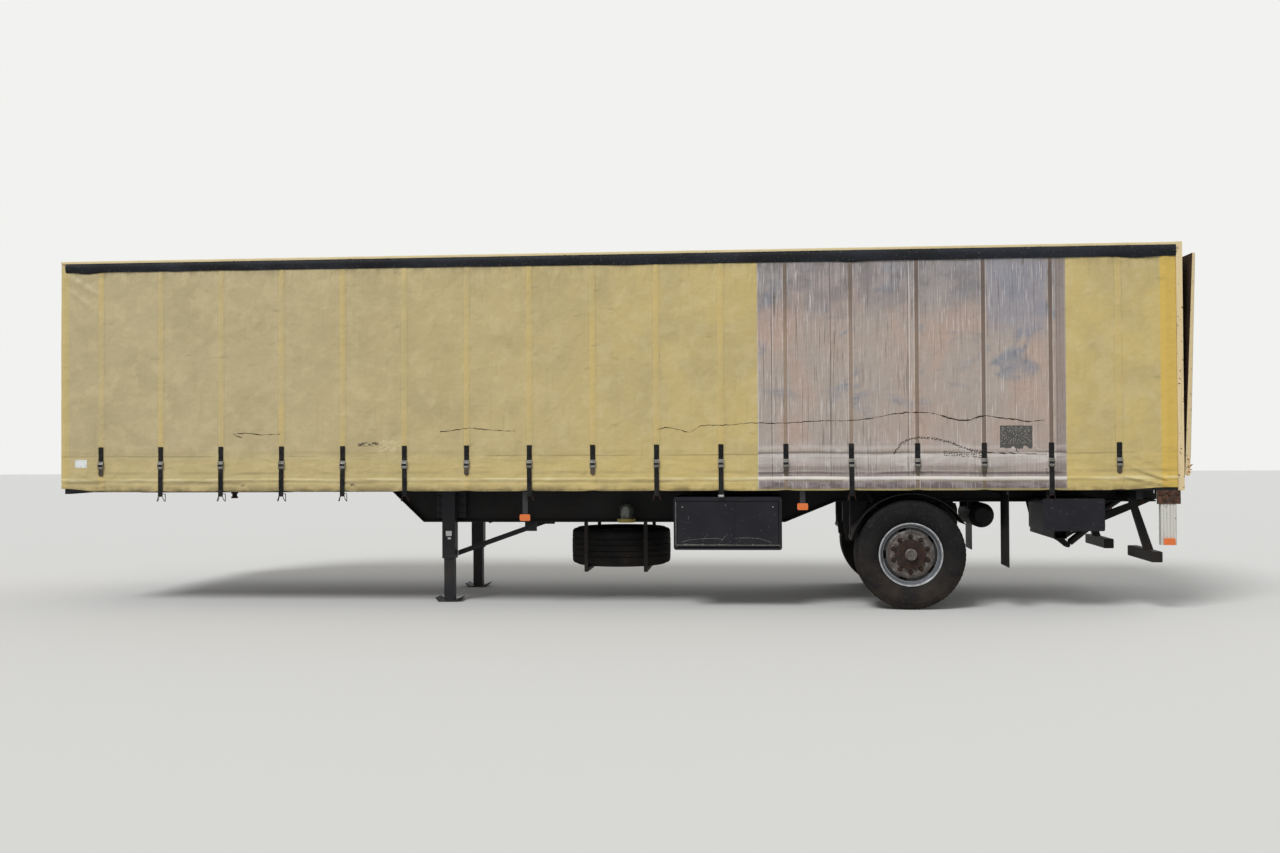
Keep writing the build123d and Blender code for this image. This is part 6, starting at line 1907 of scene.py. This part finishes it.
@dataclass
class StorageBox:
    """The underslung box: its door's folded edges, screws and scuffs."""

    finishes: Finishes
    door_face: float = 1.25
    edge: float = 0.005
    above_hinge: float = 0.014

    # Scuffs on the door: rows of places, each a station and a height
    scuffs = (
        ((6.13, 0.632), (6.189, 0.65), (6.3, 0.664), (6.378, 0.669), (6.46, 0.668), (6.551, 0.66)),
        ((6.64, 0.67), (6.768, 0.676), (6.84, 0.672), (6.897, 0.661), (6.95, 0.645), (6.99, 0.628)),
        ((6.341, 0.643), (6.36, 0.68), (6.392, 0.715)),
        ((6.508, 0.643), (6.545, 0.682), (6.58, 0.722)),
        ((6.15, 0.615), (6.42, 0.606), (6.62, 0.618)),
    )

    def trims(self) -> None:
        """Makes the door's folded edges along its foot and its front, in pale metal that paints their highlight."""
        low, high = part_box("storage_box_door")
        left, foot, face = low.x + 0.003, low.z + self.above_hinge, -self.door_face
        shape = Shape()
        for right, top in ((high.x - 0.003, foot + self.edge), (left + self.edge, high.z - 0.004)):
            shape.block((left, face - 0.0016, foot), (right, face + 0.0005, top))
        settle(shape.build("box_door_edges", self.finishes.worn, 30, 0.0006), "box_door")

    def marks(self) -> None:
        """Makes the pale scuffs on the door."""
        shape = Shape()
        for path in self.scuffs:
            places, widths = [], []
            for start, end in zip(path, path[1:]):
                for step in range(6):
                    x, z = Vector(start).lerp(Vector(end), step / 6)
                    places.append(Vector((along(x), 0.0001 - self.door_face, z + 0.002 * wobble(x, z, 0.05, 51))))
                    widths.append(0.0026 * (0.7 + 0.8 * abs(wobble(x, z, 0.03, 52))))
            shape.ribbon(places, [Vector((0.05, 0, 1))] * len(places), widths, Vector((0, -0.0005, 0)))
        settle(shape.build("box_door_scuffs", self.finishes.worn), "box_door")

    def screws(self) -> None:
        """Sets the door's screws in its upper corners and along its foot."""
        low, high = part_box("storage_box_door")
        made = Copies("box_door_screws", dome_head(0.0075, 0.0035), self.finishes.zinc)
        turn = facing((0, -1, 0))
        for x in (low.x + 0.068, high.x - 0.068):
            made.at((x, -self.door_face, high.z - 0.052), turn)
        for step in range(6):
            x = low.x + 0.1 + (high.x - low.x - 0.2) * step / 5
            made.at((x, -self.door_face, low.z + 0.024), turn, (0.6, 0.6, 0.7))
        settle(made.build(), "box_door")

    def build(self) -> None:
        """Makes all of them and dresses the box."""
        dress(self.finishes.box, "storage_box", "storage_box_door", "rear_cabinet")
        self.trims()
        self.marks()
        self.screws()


@dataclass
class Platform:
    """The tail lift's platform: ribs across its back, side channels and a splintered corner."""

    finishes: Finishes
    length: float = 2.045
    half_width: float = 1.27
    heel: float = 0.045
    tip: float = 0.023
    rib_count: int = 13
    shard_count: int = 16

    def __post_init__(self) -> None:
        """Finds the deck's foot."""
        self.foot = Vector((HEEL, 0, HEEL_HEIGHT))
        self.up = Vector((math.sin(LEAN), 0, math.cos(LEAN)))
        self.back = Vector((math.cos(LEAN), 0, -math.sin(LEAN)))

    def place(self, y: float, height: float, depth: float) -> Vector:
        """A place up from the heel and back from the deck."""
        return self.foot + self.up * height + self.back * depth + Vector((0, y, 0))

    def thickness(self, height: float) -> float:
        """How thick the platform is at a height."""
        return self.heel + (self.tip - self.heel) * height / self.length

    def ribs(self) -> None:
        """Sets the beads of the extruded planks across the back."""
        bead = Shape()
        end = self.half_width - 0.012
        bead.prism([(-0.006, -0.0005), (0.006, -0.0005), (0.004, 0.0035), (-0.004, 0.0035)], -end, end, Axis.X)
        made = Copies("platform_ribs", bead.build("rib", self.finishes.platform), self.finishes.platform)
        tilt = math.atan((self.heel - self.tip) / self.length)
        turn = facing(self.back * math.cos(tilt) + self.up * math.sin(tilt), self.up)
        for step in range(self.rib_count):
            height = 0.24 + 1.72 * step / (self.rib_count - 1)
            made.at(self.place(0, height, self.thickness(height)), turn)
        settle(made.build(), "platform_body")

    def rails(self) -> None:
        """Makes the welded channels up both sides."""
        shape = Shape()
        for side in Side:
            inner, outer = side.value * (self.half_width - 0.055), side.value * (self.half_width - 0.002)
            section = ((inner, -0.001), (outer, -0.001), (outer, 0.004), (inner, 0.004))
            points = [self.place(y, height, self.thickness(height) + depth)
                      for height in (0.16, self.length - 0.01) for y, depth in section]
            walls = [(i, (i + 1) % 4, 4 + (i + 1) % 4, 4 + i) for i in range(4)]
            shape.add(points, [(3, 2, 1, 0), (4, 5, 6, 7), *walls])
        rails = shape.build("platform_rails", self.finishes.platform, 30, 0.001)
        settle(rails, "platform_body")

    def splinters(self) -> None:
        """Makes the broken foot of the left edge: rusty, splintered shards."""
        shape = Shape()
        draw = np.random.default_rng(8)
        for _ in range(self.shard_count):
            height = 0.012 + 0.15 * draw.random()
            depth = 0.004 + 0.036 * draw.random()
            size = 0.012 + 0.03 * draw.random()
            root = self.place(-self.half_width + 0.006, height, depth)
            lean = Vector((draw.random() - 0.15, -0.55 * draw.random(), draw.random() - 0.65)).normalized()
            end = root + lean * size * 1.4
            end.y = max(end.y, -self.half_width - 0.014)
            wide = self.up * size * 0.45
            thick = Vector((0, 0.006, 0)) + self.back * 0.004
            points = [root - wide, root + wide, root + wide * 0.5 + thick, root - wide * 0.5 + thick, end]
            shape.add(points, [(0, 1, 2, 3), (0, 4, 1), (1, 4, 2), (2, 4, 3), (3, 4, 0)])
        splinters = shape.build("platform_splinters", self.finishes.splinter, 20)
        settle(splinters, "platform_body")

    def pins(self) -> None:
        """The heads of the lift's pins, each on the body whose lugs hold it."""
        places = (
            ("lift_pin_heads", "root", (self.foot.x - 0.815, 0.7), 0.022, (0.417, -0.417, 0.323, -0.323)),
            ("pivot_shaft_heads", "pivot_shaft_body", (self.foot.x + 0.027, 1.23), 0.017, (0.43, -0.43)),
        )
        for name, body, (x, z), radius, offsets in places:
            made = Copies(name, dome_head(radius, 0.006), self.finishes.zinc)
            for y in offsets:
                outward = math.copysign(1.0, y) if abs(y) > 0.4 else -math.copysign(1.0, y)
                made.at((x, y, z), facing((0, outward, 0)))
            settle(made.build(), body)

    def build(self) -> None:
        """Makes all of them and dresses the lift."""
        dress(self.finishes.platform, "platform")
        dress(self.finishes.chassis, "lift_frame", "lift_arms", "lift_barrel", "tilt_barrel")
        dress(self.finishes.polished, "lift_rod", "tilt_rod")
        dress(self.finishes.zinc, "pivot_shaft")
        self.ribs()
        self.rails()
        self.splinters()
        self.pins()


@dataclass
class FrontWall:
    """The front wall: rivets down both edges of its ribs."""

    finishes: Finishes
    rib_pitch: float = 0.25
    rib_count: int = 9
    rivet_pitch: float = 0.15
    row: float = 0.022
    margin: float = 0.14

    def build(self) -> None:
        """Dresses the wall and sets its rivets."""
        dress(self.finishes.body, "front_wall", "rear_frame")
        low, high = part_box("front_wall")
        made = Copies("front_wall_rivets", dome_head(0.006, 0.0022), self.finishes.body)
        count = int((high.z - low.z - 2 * self.margin) / self.rivet_pitch) + 1
        for rib in range(self.rib_count):
            middle = (rib - (self.rib_count - 1) / 2) * self.rib_pitch
            for shift in (-self.row, self.row):
                for step in range(count):
                    place = (low.x, middle + shift, low.z + self.margin + step * self.rivet_pitch)
                    made.at(place, facing((-1, 0, 0)))
        settle(made.build())


@dataclass
class LandingGear:
    """The parking legs: bolts through their plates, and two blank labels on the left leg."""

    finishes: Finishes
    station: float = 3.77
    plate_face: float = 0.613
    label_face: float = 0.743

    # Blank labels on the left leg's outer face: first and last station, foot and head
    labels = ((3.743, 3.802, 0.654, 0.704), (3.762, 3.794, 0.621, 0.64))

    def build(self) -> None:
        """Makes them and dresses the legs."""
        dress(self.finishes.leg, "landing_leg_left", "landing_leg_right", "leg_shaft")
        made = Copies("leg_bolts", hexagon_head(0.024, 0.014), self.finishes.leg, spin=math.pi, seed=5)
        for side in Side:
            for shift in (-0.128, -0.092, 0.092, 0.128):
                for height in (0.87, 0.955, 1.04, 1.125):
                    place = (along(self.station + shift), side.value * self.plate_face, height)
                    made.at(place, facing((0, side.value, 0)))
        settle(made.build())
        face = -self.label_face
        shape = Shape()
        for first, last, foot, head in self.labels:
            shape.block((along(first), face - 0.001, foot), (along(last), face + 0.0006, head))
        settle(shape.build("leg_labels", self.finishes.white, 30))


@dataclass
class Lamps:
    """The side markers' lens ribs and screws, and the rear lamps' three lenses."""

    finishes: Finishes
    depth: float = 0.02

    # Side markers: station, height, and the distance of their back from the middle plane
    markers = ((4.632, 0.865, 1.215), (7.279, 0.968, 1.215), (10.6135, 0.646, 1.256))

    def build(self) -> None:
        """Makes them and dresses the lamps."""
        dress(self.finishes.orange, "marker_lamps")
        dress(self.finishes.red, "rear_lamps")
        dress(self.finishes.corner, "lamp_brackets")
        bar = Shape()
        bar.block((-0.044, -0.0014, -0.001), (0.044, 0.0014, 0.0012))
        ribs = Copies("marker_ribs", bar.build("marker_rib", self.finishes.orange), self.finishes.orange)
        screws = Copies("marker_screws", dome_head(0.0042, 0.002), self.finishes.zinc)
        for side in Side:
            out = facing((0, side.value, 0))
            for station, height, back in self.markers:
                face = side.value * (back + self.depth)
                for step in range(-3, 4):
                    ribs.at((along(station), face, height + step * 0.0075), out)
                for end in (-1, 1):
                    screws.at((along(station) + end * 0.043, face, height + end * 0.024), out)
        settle(ribs.build())
        settle(screws.build())
        low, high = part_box("rear_lamps")
        lenses = (("rear_indicator_lenses", 1.095, 1.18, self.finishes.orange, "lens_orange"),
                  ("rear_clear_lenses", 0.915, 0.985, self.finishes.white, "bracket_white"))
        for name, inner, outer, material, slot in lenses:
            shape = Shape()
            for side in Side:
                near, far = sorted((side.value * inner, side.value * outer))
                shape.block((high.x - 0.002, near, low.z + 0.012), (high.x + 0.0035, far, high.z - 0.012))
            settle(shape.build(name, material, 30, 0.001))


@dataclass
class Lubricator:
    """The chassis lubricator: a moulded ring, a clear reservoir with its grease and a white follower whose colour
    paints the reservoir's highlight, and a bracket arm.
    """

    finishes: Finishes
    station: float = 5.559
    offset: float = -0.7

    def __post_init__(self) -> None:
        """Reads its height from the frame."""
        low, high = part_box("lubricator")
        self.foot, self.head = low.z, high.z
        self.centre = (along(self.station), self.offset, 0.0)

    def turned(self, name: str, start: float, rows: list[tuple[float, float]], material: Material,
               replaces: tuple[str, ...] = ()) -> None:
        """Turns a piece on the reservoir's axis.

        Args:
            name: the piece's name.
            start: the height that its rows count from, and a negative one counts down from the head.
            rows: its heights, each with a radius, from axis to axis.
            material: its finish.
            replaces: the CAD nodes that it stands for.
        """
        shape = Shape()
        shape.lathe([((self.head if height < 0 else start) + height, radius) for height, radius in rows], 48,
                    self.centre)
        settle(shape.build(name, material, 30), replaces=replaces)

    def build(self) -> None:
        """Makes all of them."""
        foot, head, base = self.foot, self.head, self.foot + 0.037
        ring, white = self.finishes.ring, self.finishes.white
        self.turned("lubricator_ring", foot, [
            (0, 0), (0, 0.088), (0.004, 0.094), (0.013, 0.094), (0.015, 0.091), (0.02, 0.091), (0.022, 0.094),
            (0.032, 0.094), (0.036, 0.088), (0.036, 0)], ring, replaces=("lubricator",))
        self.turned("lubricator_shell", base, [
            (0, 0), (0, 0.079), (0.01, 0.079), (0.013, 0.0745), (-0.036, 0.0745), (-0.018, 0.068), (-0.008, 0.055),
            (-0.006, 0), (-0.009, 0), (-0.011, 0.053), (-0.02, 0.0655), (-0.037, 0.0715), (0.004, 0.0715),
            (0.004, 0)], self.finishes.clear)
        grease = [(0.005, 0), (0.005, 0.07), (0.024, 0.07), (0.028, 0.066), (0.028, 0)]
        self.turned("lubricator_grease", base, grease, ring)
        # The follower and its rod, in white that paints the bright highlight inside the reservoir
        self.turned("lubricator_column", base, [
            (0.029, 0), (0.029, 0.034), (0.04, 0.034), (0.044, 0.028), (-0.044, 0.028), (-0.04, 0.02),
            (-0.012, 0.02), (-0.012, 0)], white)
        cap = [(-0.006, 0), (-0.006, 0.026), (-0.002, 0.026), (0, 0.022), (0, 0)]
        self.turned("lubricator_cap", head, cap, self.finishes.black)
        arm = Shape()
        x = self.centre[0]
        arm.block((x - 0.03, -0.627, foot + 0.01), (x + 0.03, -0.534, foot + 0.026))
        arm.block((x - 0.03, -0.548, foot + 0.026), (x + 0.03, -0.534, foot + 0.08))
        settle(arm.build("lubricator_arm", self.finishes.chassis, 30, 0.0015))


@dataclass
class Underbody:
    """The running gear and everything below the floor: finishes, bolts and the corners' fastenings."""

    finishes: Finishes

    # What wears each finish
    dressing = (
        ("chassis", ("air_tank", "axle", "brake_chambers", "coupling_plate", "crossmembers", "dampers", "main_beams",
                     "service_panel", "side_rails", "spare_cradle", "suspension_arms", "underrun")),
        ("bellows", ("air_springs",)),
        ("iron", ("kingpin",)),
        ("deck", ("floor",)),
        ("guard", ("mud_flaps", "mudguards")),
        ("alloy", ("pillars", "roof_bows", "roof_rails")),
        ("black", ("left_electric_socket", "right_electric_socket")),
    )
    # Bolts on the corners' gussets and brackets: station, height, distance from the middle plane, width
    corner_bolts = (
        (10.54, 1.085, 1.262, 0.024), (10.612, 1.085, 1.262, 0.024), (10.685, 1.085, 1.262, 0.024),
        (10.572, 1.025, 1.262, 0.02), (10.655, 1.025, 1.262, 0.02),
    )

    def corners(self) -> None:
        """Sets the bolts of the rear corners."""
        for across in (0.024, 0.02):
            made = Copies(f"corner_bolts_{round(across * 1000)}", hexagon_head(across, across * 0.55),
                          self.finishes.scale, spin=math.pi, seed=7)
            for side in Side:
                for station, height, face, width in self.corner_bolts:
                    if width == across:
                        made.at((along(station), side.value * face, height), facing((0, side.value, 0)))
            settle(made.build())

    def build(self) -> None:
        """Dresses the nodes and adds the bolts."""
        for name, nodes in self.dressing:
            dress(getattr(self.finishes, name), *nodes)
        self.corners()


@dataclass
class Studio:
    """The pale floor, the soft light and the camera."""

    floor_colour: str = "#CDCDCB"
    backdrop_colour: str = "#F2F2F0"
    sky_strength: float = 0.565
    key_strength: float = 2.05
    fill_strength: float = 0.45
    half: float = 60.0
    position: Point = (1.3624, -13.5353, 1.5547)
    yaw: float = -0.0879
    pitch: float = 0.0144
    roll: float = -0.0051
    lens: float = 36.46

    def floor(self) -> None:
        """Makes the floor."""
        shape = Shape()
        shape.block((-self.half, -self.half, -0.05), (self.half, self.half, 0.0))
        paint = Coat("studio_floor", self.floor_colour, 0.9).finish(0.0, {"Specular IOR Level": 0.1})
        shape.build("studio_floor", paint)

    def world(self) -> None:
        """Makes the even sky, which is paler to the camera than its light is strong."""
        sky = bpy.data.worlds.new("studio_sky")
        sky.use_nodes = True
        tree = sky.node_tree
        tree.nodes.clear()
        path = add_node(tree, "ShaderNodeLightPath").outputs
        seen = path["Is Camera Ray"]
        for name in ("Is Glossy Ray", "Is Transmission Ray"):
            seen = add_node(tree, "ShaderNodeMath", {0: seen, 1: path[name]}, operation="MAXIMUM").outputs[0]
        plain = {"Color": (1, 1, 1, 1), "Strength": self.sky_strength}
        light = add_node(tree, "ShaderNodeBackground", plain).outputs[0]
        shown = {"Color": linear(self.backdrop_colour), "Strength": 1.0}
        backdrop = add_node(tree, "ShaderNodeBackground", shown).outputs[0]
        mixed = add_node(tree, "ShaderNodeMixShader", {0: seen, 1: light, 2: backdrop}).outputs[0]
        add_node(tree, "ShaderNodeOutputWorld", {"Surface": mixed})
        bpy.context.scene.world = sky

    def lamp(self, name: str, strength: float, spread: float, aim: Point) -> None:
        """Adds a broad lamp far away.

        Args:
            name: its name.
            strength: its irradiance.
            spread: how wide it looks, in degrees.
            aim: the direction in which its light travels.
        """
        data = bpy.data.lights.new(name, "SUN")
        data.energy = strength
        data.angle = math.radians(spread)
        made = bpy.data.objects.new(name, data)
        made.rotation_euler = Vector(aim).to_track_quat("-Z", "Y").to_euler()
        bpy.context.scene.collection.objects.link(made)

    def camera(self) -> None:
        """Adds the camera at the photograph's place."""
        data = bpy.data.cameras.new("camera")
        data.lens = self.lens
        data.sensor_width = 36.0
        data.clip_end = 500.0
        made = bpy.data.objects.new("camera", data)
        level = Vector((math.sin(self.yaw), math.cos(self.yaw), 0)) * math.cos(self.pitch)
        forward = level + Vector((0, 0, math.sin(self.pitch)))
        right = Vector((math.cos(self.yaw), -math.sin(self.yaw), 0.0))
        up = right.cross(forward)
        across = right * math.cos(self.roll) + up * math.sin(self.roll)
        above = up * math.cos(self.roll) - right * math.sin(self.roll)
        turn = Matrix((across, above, -forward)).transposed().to_4x4()
        made.matrix_world = Matrix.Translation(self.position) @ turn
        bpy.context.scene.collection.objects.link(made)
        bpy.context.scene.camera = made

    def build(self) -> None:
        """Makes the studio, its camera first."""
        self.camera()
        self.floor()
        self.world()
        self.lamp("key_light", self.key_strength, 22.0, (0.32, 0.57, -0.757))
        self.lamp("fill_light", self.fill_strength, 60.0, (-0.75, -0.45, -0.45))
        bpy.context.scene.view_settings.view_transform = "Standard"


def main() -> None:
    """Builds the studio and dresses the trailer."""
    logging.basicConfig(level=logging.INFO, format="%(name)s: %(message)s")
    Studio().build()
    finishes = Finishes()
    curtains = {side: Curtain(side, finishes) for side in Side}
    for side, curtain in curtains.items():
        curtain.build()
        RainFlap(side, finishes).build()
    CurtainMends(curtains[Side.LEFT], finishes).build()
    Straps(curtains, finishes).build()
    RoofTarp(finishes).build()
    FrontWall(finishes).build()
    for name, body, axis, outward in (("left", "left_wheel", Axis.Y, -1), ("right", "right_wheel", Axis.Y, 1),
                                      ("spare", "root", Axis.Z, -1)):
        Wheel(name, body, axis, outward, finishes).build()
    for part in (StorageBox, Platform, LandingGear, Lamps, Lubricator, Underbody):
        part(finishes).build()


if __name__ == "__main__":
    main()
